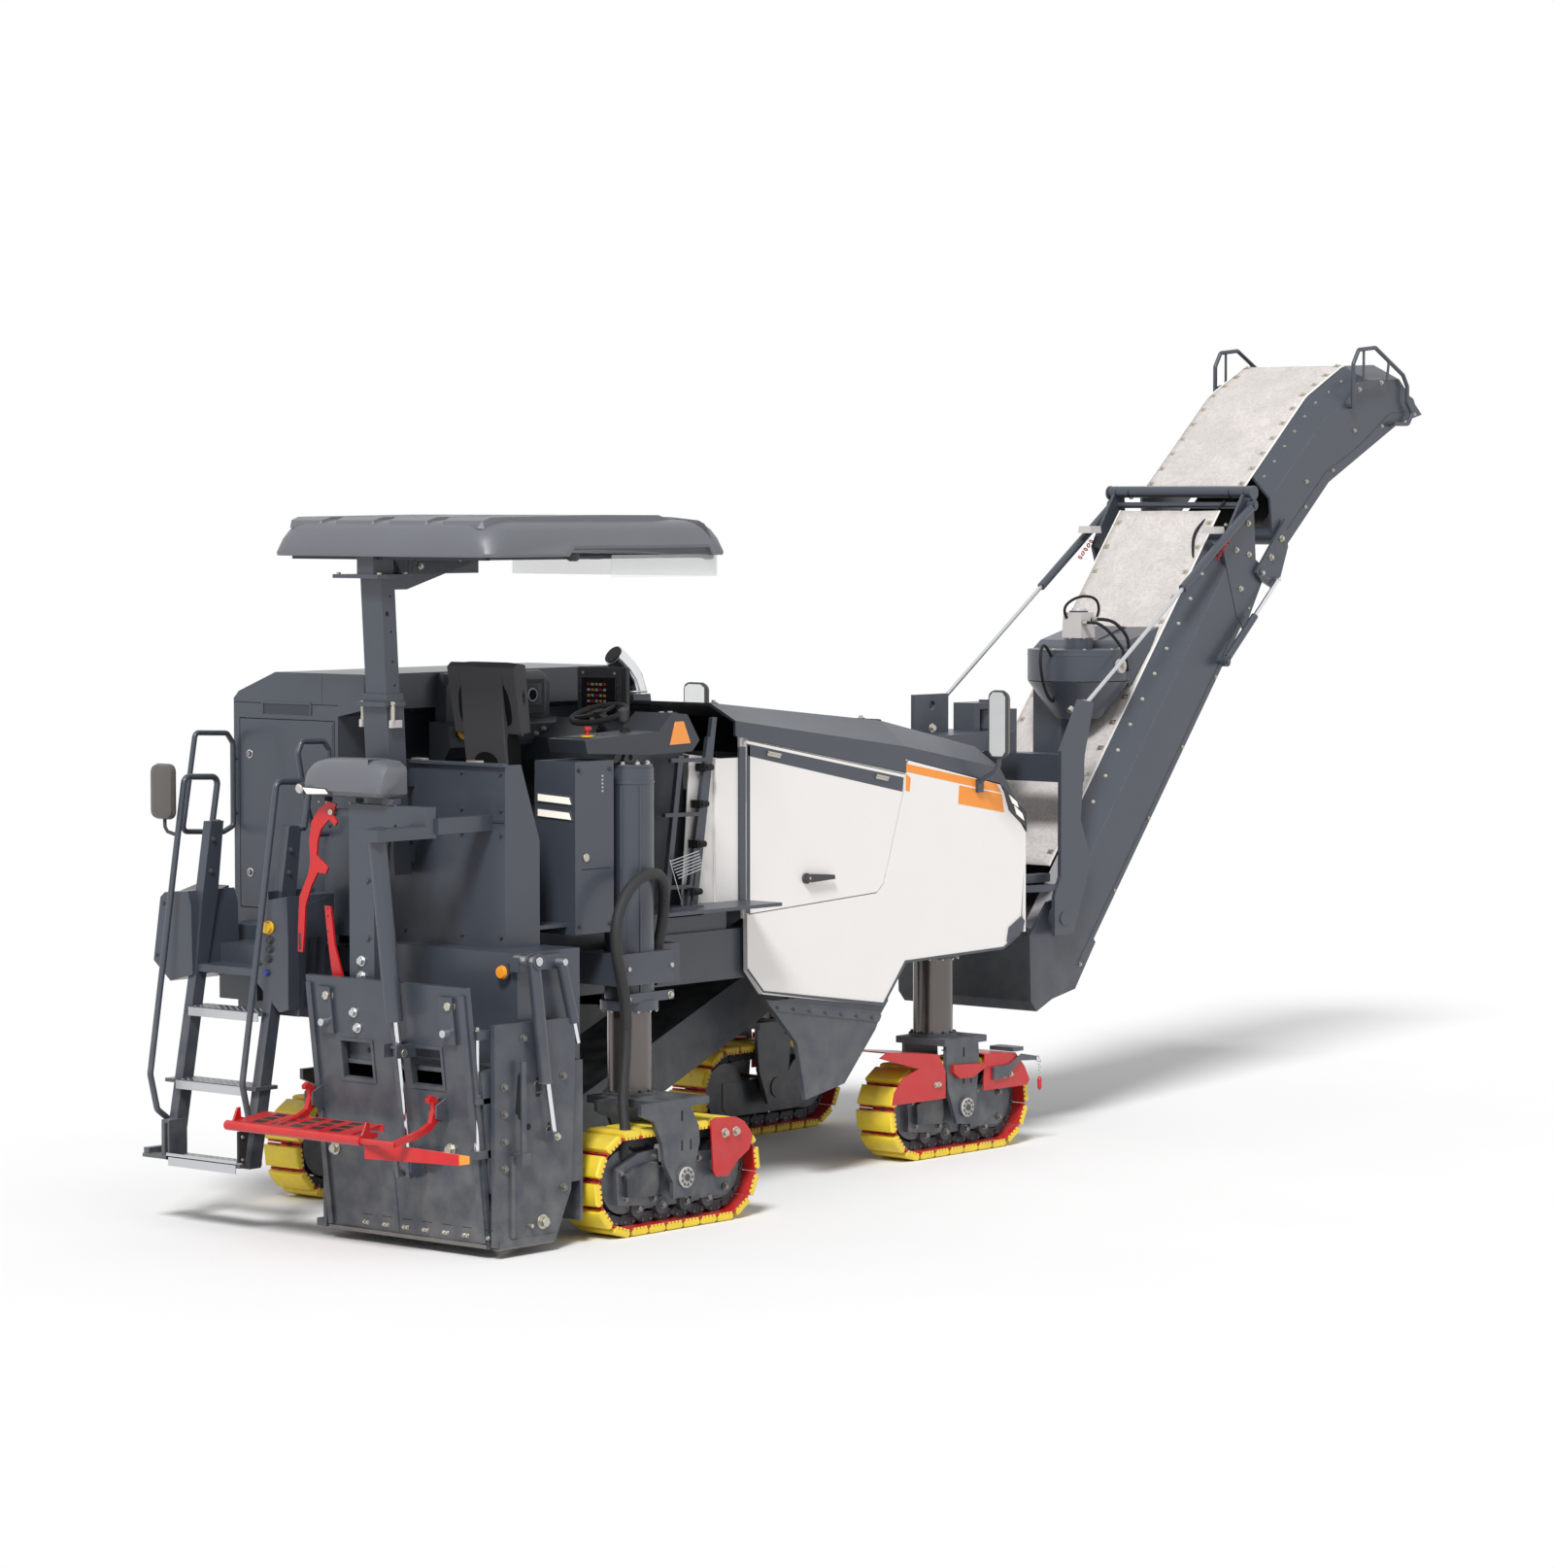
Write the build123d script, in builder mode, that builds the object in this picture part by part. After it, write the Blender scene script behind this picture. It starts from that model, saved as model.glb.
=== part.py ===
"""Small cold planer: a tracked milling machine with a front loading conveyor.

Millimetres. x points forward, y to the machine's left, z up. While it is modelled, x = 0 is the rear
ground corner of the rear right track, y = 0 the machine's centre plane and z = 0 the ground. The
finished pieces are moved together, so that the origin lies under the middle of the whole machine.
"""
from build123d import *
from math import atan2, cos, degrees, hypot, pi, radians, sin
import os

os.makedirs("parts", exist_ok=True)

# ---------------------------------------------------------------- driving dimensions
HALF_WIDTH = 1250          # centre plane to the flush side of the machine
RUNNING_GAP = 6            # clear space round what moves
SEAT_GAP = 0.3             # clear space between pieces that lie on each other

# tracks and lifting columns
PAD_WIDTH = 270
PAD_PITCH = 137
PAD_LENGTH = 122
PAD_THICK = 34
SHOE_THICK = 14
CHAIN_THICK = 62
CHAIN_WIDTH = 96
TRACK_RADIUS = 280         # outside of the pads at each end
TRACK_CENTRES = 760        # sprocket axis to idler axis
FORK_GAP = 8
FORK_PLATE = 26
FORK_TOP = 690
# corners of a fork's plate, x from the track's centre and z
FORKS = {
    "rear": [(-342, 690), (7, 690), (52, 645), (116, 537), (122, 451), (90, 352), (90, 168), (-90, 168),
             (-90, 252), (-153, 344), (-178, 464), (-241, 589), (-342, 632)],
    "front": [(-183, 690), (120, 665), (127, 541), (106, 367), (85, 168), (-85, 184), (-169, 393), (-183, 533)],
}
COLUMN_RADIUS = 117
GUIDE_WALL = 16
GUIDE_GAP = 0.3
# name, track centre x, track centre y, column y, column x, guide bottom z, guide top z
LEGS = [
    ("rear_right", 550, -1115, -900, 540, 1150, 2440),
    ("rear_left", 550, 1115, 900, 540, 1150, 2440),
    ("front_right", 3870, -405, -340, 3850, 1160, 2080),
    ("front_left", 3870, 1060, 995, 3850, 1160, 2080),
]

# milling drum and its housing
DRUM_X = -510
DRUM_Z = 400
DRUM_RADIUS = 235
MILLING_WIDTH = 1000
DRUM_Y = -620
HOUSING_REAR = -822
HOUSING_FRONT = -172
HOUSING_TOP = 960
HOUSING_RIGHT = -1215
HOUSING_LEFT = -14
HOUSING_WALL = 24
SKID_Z = 46
SCRAPER_LEAN = 7
SCRAPER_HEIGHT = 1360
SCRAPER_THICK = 30

# body
BODY_RIGHT = -650
BODY_LEFT = 1250
BODY_REAR = 1790
BODY_FRONT = 4360
PANEL_THICK = 30
BEAM_BOTTOM = 1200
BEAM_TOP = 1480
CONVEYOR_Y = 250

# operator's platform
FLOOR_Z = 1640
FLOOR_THICK = 20
PLATFORM_REAR = -450
PLATFORM_RIGHT = -980
SHEET = 25
RAIL_TOP = 2490
CABINET_REAR = -310
CABINET_RIGHT = 440
CABINET_BOTTOM = 1610
CABINET_TOP = 2700
LID_TOP = 2930

# canopy
POST_X = -600
POST_Y = -215
POST_Z = 2460
POST_LEAN = -0.06          # x per z
POST_DEPTH = 100
POST_BREADTH = 150
ROOF_REAR = -800
ROOF_FRONT = 1090
ROOF_RIGHT = -1160
ROOF_LEFT = 470
ROOF_RIM = 3575
ROOF_TOP = 3800

# discharge conveyor
SLEW_X = 5090
LIFT_X = 5120
LIFT_Z = 1300
FOLD_X = 7300
FOLD_Z = 3400
BELT_HALF = 390
WALL_HALF = 520
BRACKET_HALF = 575

pieces = {}


def between(a, b):
    """The two values in rising order."""
    return min(a, b), max(a, b)


def both_sides(inner, outer):
    """Lateral limits on the right and on the left of the conveyor's plane."""
    for side in (-1, 1):
        yield between(CONVEYOR_Y + side * inner, CONVEYOR_Y + side * outer)


# ---------------------------------------------------------------- shared shapes
def keep(name, part):
    """Store a finished piece under its node's name."""
    part.label = name
    pieces[name] = part


def block(x_low, x_high, y_low, y_high, z_low, z_high, mode=Mode.ADD):
    """Upright box between six planes."""
    middle = ((x_low + x_high) / 2, (y_low + y_high) / 2, (z_low + z_high) / 2)
    with Locations(middle):
        Box(x_high - x_low, y_high - y_low, z_high - z_low, mode=mode)


def slab(outline, y_low, y_high, mode=Mode.ADD):
    """Solid between two planes across the machine, from an outline of (x, z) corners."""
    with BuildSketch(Plane.XZ.offset(-y_high)) as side:
        with BuildLine():
            Polyline(*outline, close=True)
        make_face()
    extrude(side.sketch, amount=y_high - y_low, mode=mode)


def rod(start, end, radius, mode=Mode.ADD):
    """Round bar between two points."""
    run = Vector(*end) - Vector(*start)
    with Locations(Plane(origin=start, z_dir=run).location):
        Cylinder(radius, run.length, align=(Align.CENTER, Align.CENTER, Align.MIN), mode=mode)


def cross_bar(x, z, y_low, y_high, radius, mode=Mode.ADD):
    """Round bar across the machine."""
    rod((x, y_low, z), (x, y_high, z), radius, mode)


def bent_tube(points, bend, radius):
    """Round tube along straight runs joined by arcs."""
    with BuildLine() as path:
        FilletPolyline(*points, radius=bend)
    line = path.wire()
    with BuildSketch(Plane(origin=line @ 0, z_dir=line % 0)) as section:
        Circle(radius)
    sweep(section.sketch, path=line)


# ---------------------------------------------------------------- tracks and lifting columns
def track_stations():
    """Centre (x, z) and direction of every shoe, round the loop."""
    reach = TRACK_RADIUS - PAD_THICK - SHOE_THICK / 2
    straight = TRACK_CENTRES
    bend = pi * reach
    count = round((2 * straight + 2 * bend) / PAD_PITCH)
    pitch = (2 * straight + 2 * bend) / count
    for number in range(count):
        along = (number + 0.5) * pitch
        if along < straight:
            yield along - straight / 2, -reach, 0
        elif along < straight + bend:
            turn = (along - straight) / reach
            yield straight / 2 + reach * sin(turn), -reach * cos(turn), turn
        elif along < 2 * straight + bend:
            yield straight / 2 - (along - straight - bend), reach, pi
        else:
            turn = (along - 2 * straight - bend) / reach
            yield -straight / 2 - reach * sin(turn), reach * cos(turn), pi + turn


def make_track(name, x, y):
    """Chain loop with its shoes and pads, one fixed loop."""
    chain_radius = TRACK_RADIUS - PAD_THICK - SHOE_THICK
    with BuildPart() as track:
        with BuildSketch(Plane(origin=(x, y, TRACK_RADIUS), x_dir=(1, 0, 0), z_dir=(0, -1, 0))):
            SlotCenterToCenter(TRACK_CENTRES, 2 * chain_radius + 6)
            SlotCenterToCenter(TRACK_CENTRES, 2 * (chain_radius - CHAIN_THICK), mode=Mode.SUBTRACT)
        extrude(amount=CHAIN_WIDTH / 2, both=True)
        for along, height, turn in track_stations():
            shoe = Plane(
                origin=(x + along, y, TRACK_RADIUS + height),
                x_dir=(cos(turn), 0, sin(turn)),
                z_dir=(sin(turn), 0, -cos(turn)),
            )
            with Locations(shoe.location):
                Box(PAD_PITCH * 0.98, PAD_WIDTH * 0.97, SHOE_THICK)
            with Locations(shoe.offset(SHOE_THICK / 2 + PAD_THICK / 2).location):
                Box(PAD_LENGTH, PAD_WIDTH, PAD_THICK)
    keep("track_" + name, track.part)


def make_leg(name, x, y, column_x, column_y, guide_bottom, guide_top):
    """Steered column with its fork, hub and roller frame."""
    fork_in = PAD_WIDTH / 2 + FORK_GAP
    fork_out = fork_in + FORK_PLATE
    inner_radius = TRACK_RADIUS - PAD_THICK - SHOE_THICK - CHAIN_THICK
    with BuildPart() as leg:
        rod((column_x, column_y, FORK_TOP), (column_x, column_y, guide_bottom + 400), COLUMN_RADIUS)
        block(x - 200, x + 200, min(y - fork_out, column_y - COLUMN_RADIUS - 20),
              max(y + fork_out, column_y + COLUMN_RADIUS + 20), FORK_TOP - 40, FORK_TOP)
        for side in (-1, 1):
            low, high = between(y + side * fork_in, y + side * fork_out)
            slab([(x + along, height) for along, height in FORKS[name.split("_")[0]]], low, high)
        cross_bar(x, TRACK_RADIUS, y - fork_out - 8, y + fork_out + 8, 62)
        slab([(x - 400, 330), (x + 400, 330), (x + 400, 170), (x + 330, 120),
              (x - 330, 120), (x - 400, 170)], y - 75, y + 75)
        for end in (-1, 1):
            cross_bar(x + end * TRACK_CENTRES / 2, TRACK_RADIUS, y - 70, y + 70, inner_radius - SEAT_GAP)
    keep("leg_" + name, leg.part)


def make_guide(name, column_x, column_y, guide_bottom, guide_top):
    """Outer tube of a lifting column, closed by a cap."""
    bore = COLUMN_RADIUS + GUIDE_GAP
    with BuildPart() as guide:
        rod((column_x, column_y, guide_bottom), (column_x, column_y, guide_top), bore + GUIDE_WALL)
        rod((column_x, column_y, guide_bottom + 40), (column_x, column_y, guide_bottom), bore + GUIDE_WALL + 22)
        rod((column_x, column_y, guide_bottom - 1), (column_x, column_y, guide_top - 60), bore, Mode.SUBTRACT)
    keep("guide_" + name, guide.part)


for name, x, y, column_y, column_x, guide_bottom, guide_top in LEGS:
    make_track(name, x, y)
    make_leg(name, x, y, column_x, column_y, guide_bottom, guide_top)
    make_guide(name, column_x, column_y, guide_bottom, guide_top)


# ---------------------------------------------------------------- chassis
# name, y low, y high of the two long beams
BEAMS = [("right", BODY_RIGHT + 50, BODY_RIGHT + 160), ("left", 720, 840)]
BEAM_REAR = -150
BEAM_FRONT = 4180
# x low, x high, y low, y high, z low, z high of the cross members and the collars' blocks
CROSS_MEMBERS = [
    (BEAM_REAR, 60, PLATFORM_RIGHT + 40, 1180, BEAM_BOTTOM, BEAM_TOP),
    (720, 900, PLATFORM_RIGHT + 40, 1180, BEAM_BOTTOM + 60, BEAM_TOP),
    (3480, 3640, BODY_RIGHT + 50, 1150, BEAM_BOTTOM - 10, BEAM_BOTTOM + 94),
    (4060, BEAM_FRONT, BODY_RIGHT + 50, 1150, BEAM_BOTTOM + 80, BEAM_TOP),
    (310, 730, -1050, -750, BEAM_BOTTOM + 90, BEAM_TOP - 20),
    (310, 730, 750, 1050, BEAM_BOTTOM + 90, BEAM_TOP - 20),
    (3630, 4070, -500, -205, BEAM_BOTTOM + 90, BEAM_TOP - 20),
    (3630, 4070, 830, 1150, BEAM_BOTTOM + 90, BEAM_TOP - 20),
]
# corners (x, z) of the skirt below the side panel
SKIRT = [(1960, 1065), (2985, 915), (2930, 820), (2651, 533), (2307, 470), (2230, 800)]
SKIRT_GAP = 8

with BuildPart() as chassis:
    for beam, low, high in BEAMS:
        block(BEAM_REAR, BEAM_FRONT, low, high, BEAM_BOTTOM, BEAM_TOP)
    for member in CROSS_MEMBERS:
        block(*member)
    for side, outer, inward in [("right", BODY_RIGHT, 1), ("left", BODY_LEFT, -1)]:
        low, high = between(outer, outer + inward * PANEL_THICK)
        slab(SKIRT, low, high)
        for x in (2250, 2700):
            low, high = between(outer + inward * (PANEL_THICK + SEAT_GAP), outer + inward * (PANEL_THICK + 30))
            block(x - 60, x + 60, low, high, 850, BEAM_TOP - 40)
            low, high = between(outer, outer + inward * (PANEL_THICK + 30))
            block(x - 60, x + 60, low, high, 850, 900)
            low, high = between(outer + inward * (PANEL_THICK + SEAT_GAP), 0.5 * (BODY_LEFT + BODY_RIGHT))
            block(x - 40, x + 40, low if side == "right" else 760, -560 if side == "right" else high,
                  BEAM_BOTTOM + 60, BEAM_BOTTOM + 140)
    for name, x, y, column_y, column_x, guide_bottom, guide_top in LEGS:
        reach = COLUMN_RADIUS + GUIDE_GAP + GUIDE_WALL + SEAT_GAP
        rod((column_x, column_y, BEAM_BOTTOM - 60), (column_x, column_y, BEAM_TOP + 60), reach, Mode.SUBTRACT)
keep("chassis", chassis.part)

with BuildPart() as engine:
    block(1950, 2950, -570, 800, 1700, 2150)
    for beam, low, high in BEAMS:
        block(2050, 2850, low, high, BEAM_TOP + SEAT_GAP, 1710)
keep("engine", engine.part)


# ---------------------------------------------------------------- body panels, doors and hood
# corners (x, z) of a side panel, and of the door in it
PANEL = [(1800, 1240), (1930, 1100), (3000, 950), (3210, 1190), (4130, 1205), (4290, 1280), (4350, 1880),
         (4095, 2180), (3232, 2358), (3212, 2283), (1790, 2533)]
DOOR = [(1815, 1560), (2940, 1612), (3000, 1660), (3185, 2195), (3195, 2277), (1790, 2527)]
DOOR_GAP = 6
FRAME_WIDTH = 25           # door frame beyond the door's edge
FRAME_LAP = 20             # and behind it
FRAME_THICK = 12
# name, outer y, direction inwards
SIDES = [("right", BODY_RIGHT, 1), ("left", BODY_LEFT, -1)]
RECESS_REAR = 4020
RECESS_HALF = 620


for side, outer, inward in SIDES:
    low, high = between(outer, outer + inward * PANEL_THICK)
    with BuildPart() as panel:
        slab(PANEL, low, high)
        with BuildSketch(Plane.XZ.offset(-high)) as opening:
            with BuildLine():
                Polyline(*DOOR, close=True)
            make_face()
            offset(amount=DOOR_GAP, kind=Kind.INTERSECTION)
        extrude(opening.sketch, amount=high - low, mode=Mode.SUBTRACT)
        for cut, near, far in ((DOOR_GAP, PANEL_THICK - 5, PANEL_THICK + FRAME_THICK),
                               (-FRAME_LAP, PANEL_THICK + SEAT_GAP, PANEL_THICK + FRAME_THICK)):
            low_y, high_y = between(outer + inward * near, outer + inward * far)
            with BuildSketch(Plane.XZ.offset(-high_y)) as door_frame:
                with BuildLine():
                    Polyline(*DOOR, close=True)
                make_face()
                offset(amount=FRAME_WIDTH, kind=Kind.INTERSECTION)
                with BuildLine():
                    Polyline(*DOOR, close=True)
                with BuildSketch(mode=Mode.PRIVATE) as hole:
                    with BuildLine():
                        Polyline(*DOOR, close=True)
                    make_face()
                    offset(amount=cut, kind=Kind.INTERSECTION)
                add(hole.sketch, mode=Mode.SUBTRACT)
            extrude(door_frame.sketch, amount=high_y - low_y)
        recess = CONVEYOR_Y - inward * RECESS_HALF
        cheek_low, cheek_high = between(outer, recess)
        block(BODY_FRONT - 30, BODY_FRONT - 12, cheek_low, cheek_high, 1290, 1875)
        cheek_low, cheek_high = between(recess, recess - inward * 20)
        slab([(RECESS_REAR, BEAM_TOP + 6), (BEAM_FRONT + 6, BEAM_TOP + 6), (BEAM_FRONT + 6, 1300),
              (BODY_FRONT - 12, 1300), (BODY_FRONT - 12, 1900), (4080, 2150), (RECESS_REAR, 2190)],
             cheek_low, cheek_high)
    keep("body_" + side, panel.part)
    with BuildPart() as door:
        slab(DOOR, low, high)
    keep("door_" + side, door.part)

# x, lower edge z, shoulder z, top z
HOOD_REAR = [(1700, 2556, 2640, 2735), (3205, 2290, 2440, 2585)]
HOOD_FRONT = [(3205, 2368, 2440, 2585), (4095, 2188, 2280, 2400), (4358, 1888, 1950, 2110)]
HOOD_SLOPE = 190
HOOD_WALL = 15


def hood_section(x, lower, shoulder, top, wall):
    """Cross-section of the hood at one station, wall in from the outside."""
    right, left = BODY_RIGHT + wall, BODY_LEFT - wall
    rim = lower - (1 if wall else 0)
    with BuildSketch(Plane.YZ.offset(x)) as section:
        with BuildLine():
            Polyline((right, rim), (right, shoulder - wall / 2), (right + HOOD_SLOPE, top - wall),
                     (left - HOOD_SLOPE, top - wall), (left, shoulder - wall / 2), (left, rim), close=True)
        make_face()
    return section.sketch


def hood_top(x):
    """Height of the hood's top over its rear run."""
    (rear_x, _, _, rear_z), (front_x, _, _, front_z) = HOOD_REAR
    return rear_z + (front_z - rear_z) * (x - rear_x) / (front_x - rear_x)


def hood_run(stations, wall, mode=Mode.ADD):
    """Hood between its stations, as flat-sided runs."""
    for first, last in zip(stations, stations[1:]):
        loft([hood_section(*first, wall), hood_section(*last, wall)], ruled=True, mode=mode)


with BuildPart() as hood:
    hood_run(HOOD_REAR, 0)
    hood_run(HOOD_FRONT, 0)
    hood_run(HOOD_REAR, HOOD_WALL, Mode.SUBTRACT)
    hood_run(HOOD_FRONT, HOOD_WALL, Mode.SUBTRACT)
    block(RECESS_REAR, 4500, CONVEYOR_Y - RECESS_HALF, CONVEYOR_Y + RECESS_HALF, 1800, 2800, Mode.SUBTRACT)
keep("hood", hood.part)


# ---------------------------------------------------------------- operator's platform
PLATFORM_FRONT = 1780
PANEL_BOTTOM = 1540
BOX_REAR = 30              # right side box, behind the rear right column
BOX_FRONT = 330
BOX_INNER = -690
RACK_Y = -648
RACK_HALF = 13
# corners (x, z) of the rack's slanted rails, and rear x, front x, z of its bars
RACK_RAILS = [[(1530, 2666), (1492, 2666), (1318, 1630), (1364, 1630)],
              [(1499, 2560), (1455, 2560), (1276, 1630), (1300, 1630)],
              [(1252, 2465), (1214, 2465), (1086, 1630), (1128, 1630)]]
RACK_BARS = [(1150, 1490, 2453), (1100, 1440, 2156), (1080, 1330, 1760)]

with BuildPart() as platform:
    block(PLATFORM_REAR, PLATFORM_FRONT, PLATFORM_RIGHT + 60, CABINET_RIGHT - SEAT_GAP, FLOOR_Z - FLOOR_THICK, FLOOR_Z)
    block(PLATFORM_REAR, PLATFORM_REAR + SHEET, -930, CABINET_RIGHT - 40, PANEL_BOTTOM, RAIL_TOP)
    slab([(PLATFORM_REAR, PANEL_BOTTOM), (-190, PANEL_BOTTOM), (-190, 2090), (-330, RAIL_TOP),
          (PLATFORM_REAR, RAIL_TOP)], -930, -930 + SHEET)
    block(BOX_REAR, BOX_FRONT, PLATFORM_RIGHT, BOX_INNER, PANEL_BOTTOM + 40, RAIL_TOP)
    block(BOX_REAR + SHEET, BOX_FRONT - SHEET, PLATFORM_RIGHT + SHEET, BOX_INNER - SHEET, PANEL_BOTTOM + 65,
          RAIL_TOP - SHEET, Mode.SUBTRACT)
    for name, x, y, column_y, column_x, guide_bottom, guide_top in LEGS[:2]:
        reach = COLUMN_RADIUS + GUIDE_GAP + GUIDE_WALL + 4
        rod((column_x, column_y, 1500), (column_x, column_y, 2500), reach, Mode.SUBTRACT)
    for beam, low, high in BEAMS[:1]:
        block(60, 1700, low + 20, high - 20, BEAM_TOP + SEAT_GAP, FLOOR_Z - FLOOR_THICK)
    for rail in RACK_RAILS:
        slab(rail, RACK_Y - RACK_HALF, RACK_Y + RACK_HALF)
    for rear_x, front_x, z in RACK_BARS:
        slab([(rear_x, z), (front_x, z - 8), (front_x, z - 30), (rear_x, z - 22)], RACK_Y - RACK_HALF, RACK_Y + RACK_HALF)
keep("platform", platform.part)

CONSOLE_X = 800
WHEEL_X = 850
WHEEL_Y = -400
WHEEL_Z = 2700
WHEEL_SHAFT = 76
with BuildPart() as console:
    slab([(CONSOLE_X, FLOOR_Z + SEAT_GAP), (CONSOLE_X + 560, FLOOR_Z + SEAT_GAP), (CONSOLE_X + 560, 2560),
          (CONSOLE_X + 300, 2660), (CONSOLE_X + 60, 2560), (CONSOLE_X - 20, 2440), (CONSOLE_X + 60, 2300)],
         -560, 400)
    slab([(128, 2602), (713, 2626), (822, 2722), (943, 2711), (1043, 2568), (983, 2510), (624, 2504), (150, 2529)],
         PLATFORM_RIGHT + 20, BOX_INNER)
    block(720, 1000, BOX_INNER - 1, -559, 2515, 2600)
    block(1130, 1170, -330, -170, 2600, 2940)
    column = Plane(origin=(WHEEL_X, WHEEL_Y, WHEEL_Z), z_dir=(-0.3, 0, 0.95))
    rod(column.origin - column.z_dir * (WHEEL_SHAFT + SEAT_GAP), column.origin - column.z_dir * 200, 34)
keep("console", console.part)

with BuildPart() as steering_wheel:
    tilt = Plane(origin=(WHEEL_X, WHEEL_Y, WHEEL_Z), z_dir=(-0.3, 0, 0.95))
    with BuildSketch(Plane(origin=tilt.origin, x_dir=tilt.x_dir, z_dir=tilt.y_dir)) as rim:
        with Locations((150, 0)):
            RegularPolygon(17, 8)
    revolve(rim.sketch, axis=Axis(tilt.origin, tilt.z_dir))
    with Locations(tilt.location):
        Cylinder(30, 40)
        for turn in (0, 120, 240):
            with Locations(Rotation(0, 0, turn)):
                with Locations((75, 0, 0)):
                    Box(150, 26, 14)
    rod(tilt.origin, tilt.origin - tilt.z_dir * WHEEL_SHAFT, 20)
keep("steering_wheel", steering_wheel.part)

SEAT_X = 60
SEAT_Y = -420
with BuildPart() as seat:
    rod((SEAT_X + 280, SEAT_Y, FLOOR_Z + SEAT_GAP), (SEAT_X + 280, SEAT_Y, 2080), 60)
    block(SEAT_X + 60, SEAT_X + 500, SEAT_Y - 200, SEAT_Y + 200, 2070, 2110)
    block(SEAT_X + 40, SEAT_X + 520, SEAT_Y - 250, SEAT_Y + 250, 2110, 2210)
    slab([(SEAT_X + 60, 2120), (SEAT_X - 60, 2120), (SEAT_X - 130, 3000), (SEAT_X - 50, 3010)],
         SEAT_Y - 170, SEAT_Y + 170)
    slab([(SEAT_X - 80, 2640), (SEAT_X - 130, 3000), (SEAT_X - 50, 3010), (SEAT_X + 6, 2640)],
         SEAT_Y - 255, SEAT_Y + 255)
keep("seat", seat.part)


# ---------------------------------------------------------------- left rear cabinet
CABINET_FRONT = 1690
CABINET_WALL = 25
CABINET_DOOR = [(470, 1640), (1200, 2670)]

with BuildPart() as cabinet:
    with BuildSketch(Plane.YZ.offset(CABINET_REAR)):
        with BuildLine():
            Polyline((CABINET_RIGHT, CABINET_BOTTOM), (BODY_LEFT, CABINET_BOTTOM), (BODY_LEFT, CABINET_TOP + 80),
                     (BODY_LEFT - 40, CABINET_TOP + 120), (BODY_LEFT - 330, LID_TOP), (240, LID_TOP),
                     (240, CABINET_TOP + 40), (CABINET_RIGHT, CABINET_TOP), close=True)
        make_face()
    extrude(amount=CABINET_FRONT - CABINET_REAR)
    block(CABINET_REAR + CABINET_WALL, CABINET_FRONT - CABINET_WALL, CABINET_RIGHT + CABINET_WALL,
          BODY_LEFT - CABINET_WALL, CABINET_BOTTOM - 5, CABINET_TOP - 10, Mode.SUBTRACT)
    block(CABINET_REAR - 1, CABINET_REAR + CABINET_WALL, CABINET_DOOR[0][0] - DOOR_GAP,
          CABINET_DOOR[1][0] + DOOR_GAP, CABINET_DOOR[0][1] - DOOR_GAP, CABINET_DOOR[1][1] + DOOR_GAP, Mode.SUBTRACT)
    (low_y, low_z), (high_y, high_z) = CABINET_DOOR
    block(CABINET_REAR + CABINET_WALL - 5, CABINET_REAR + CABINET_WALL + FRAME_THICK, low_y - FRAME_WIDTH,
          high_y + FRAME_WIDTH, low_z - FRAME_WIDTH, high_z + FRAME_WIDTH)
    block(CABINET_REAR, CABINET_REAR + CABINET_WALL + SEAT_GAP, low_y - DOOR_GAP, high_y + DOOR_GAP,
          low_z - DOOR_GAP, high_z + DOOR_GAP, Mode.SUBTRACT)
    block(CABINET_REAR, CABINET_REAR + CABINET_WALL + FRAME_THICK + 1, low_y + FRAME_LAP, high_y - FRAME_LAP,
          low_z + FRAME_LAP, high_z - FRAME_LAP, Mode.SUBTRACT)
keep("cabinet", cabinet.part)

with BuildPart() as cabinet_door:
    block(CABINET_REAR, CABINET_REAR + CABINET_WALL, CABINET_DOOR[0][0], CABINET_DOOR[1][0],
          CABINET_DOOR[0][1], CABINET_DOOR[1][1])
keep("cabinet_door", cabinet_door.part)

BASE_FRONT = 300
with BuildPart() as left_base:
    block(CABINET_REAR, BASE_FRONT, CABINET_RIGHT, BODY_LEFT - 20, 1060, CABINET_BOTTOM - SEAT_GAP)
    block(CABINET_REAR + 20, BASE_FRONT - 20, CABINET_RIGHT + 20, BODY_LEFT - 40, 1080, CABINET_BOTTOM, Mode.SUBTRACT)
    block(BEAM_REAR - SEAT_GAP, 60 + SEAT_GAP, 400, 1180 + SEAT_GAP, BEAM_BOTTOM - SEAT_GAP, BEAM_TOP + SEAT_GAP,
          Mode.SUBTRACT)
    block(0, BASE_FRONT + 1, 720 - SEAT_GAP, 840 + SEAT_GAP, BEAM_BOTTOM - SEAT_GAP, BEAM_TOP + SEAT_GAP, Mode.SUBTRACT)
keep("left_base", left_base.part)


# ---------------------------------------------------------------- canopy
def lean(z):
    """x of the canopy post's axis at a height."""
    return POST_X + POST_LEAN * (z - POST_Z)


def post_run(z_low, z_high, depth, breadth, mode=Mode.ADD):
    """Stretch of leaning square tube along the canopy post's axis."""
    slab([(lean(z_low) - depth / 2, z_low), (lean(z_low) + depth / 2, z_low),
          (lean(z_high) + depth / 2, z_high), (lean(z_high) - depth / 2, z_high)],
         POST_Y - breadth / 2, POST_Y + breadth / 2, mode)


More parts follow.
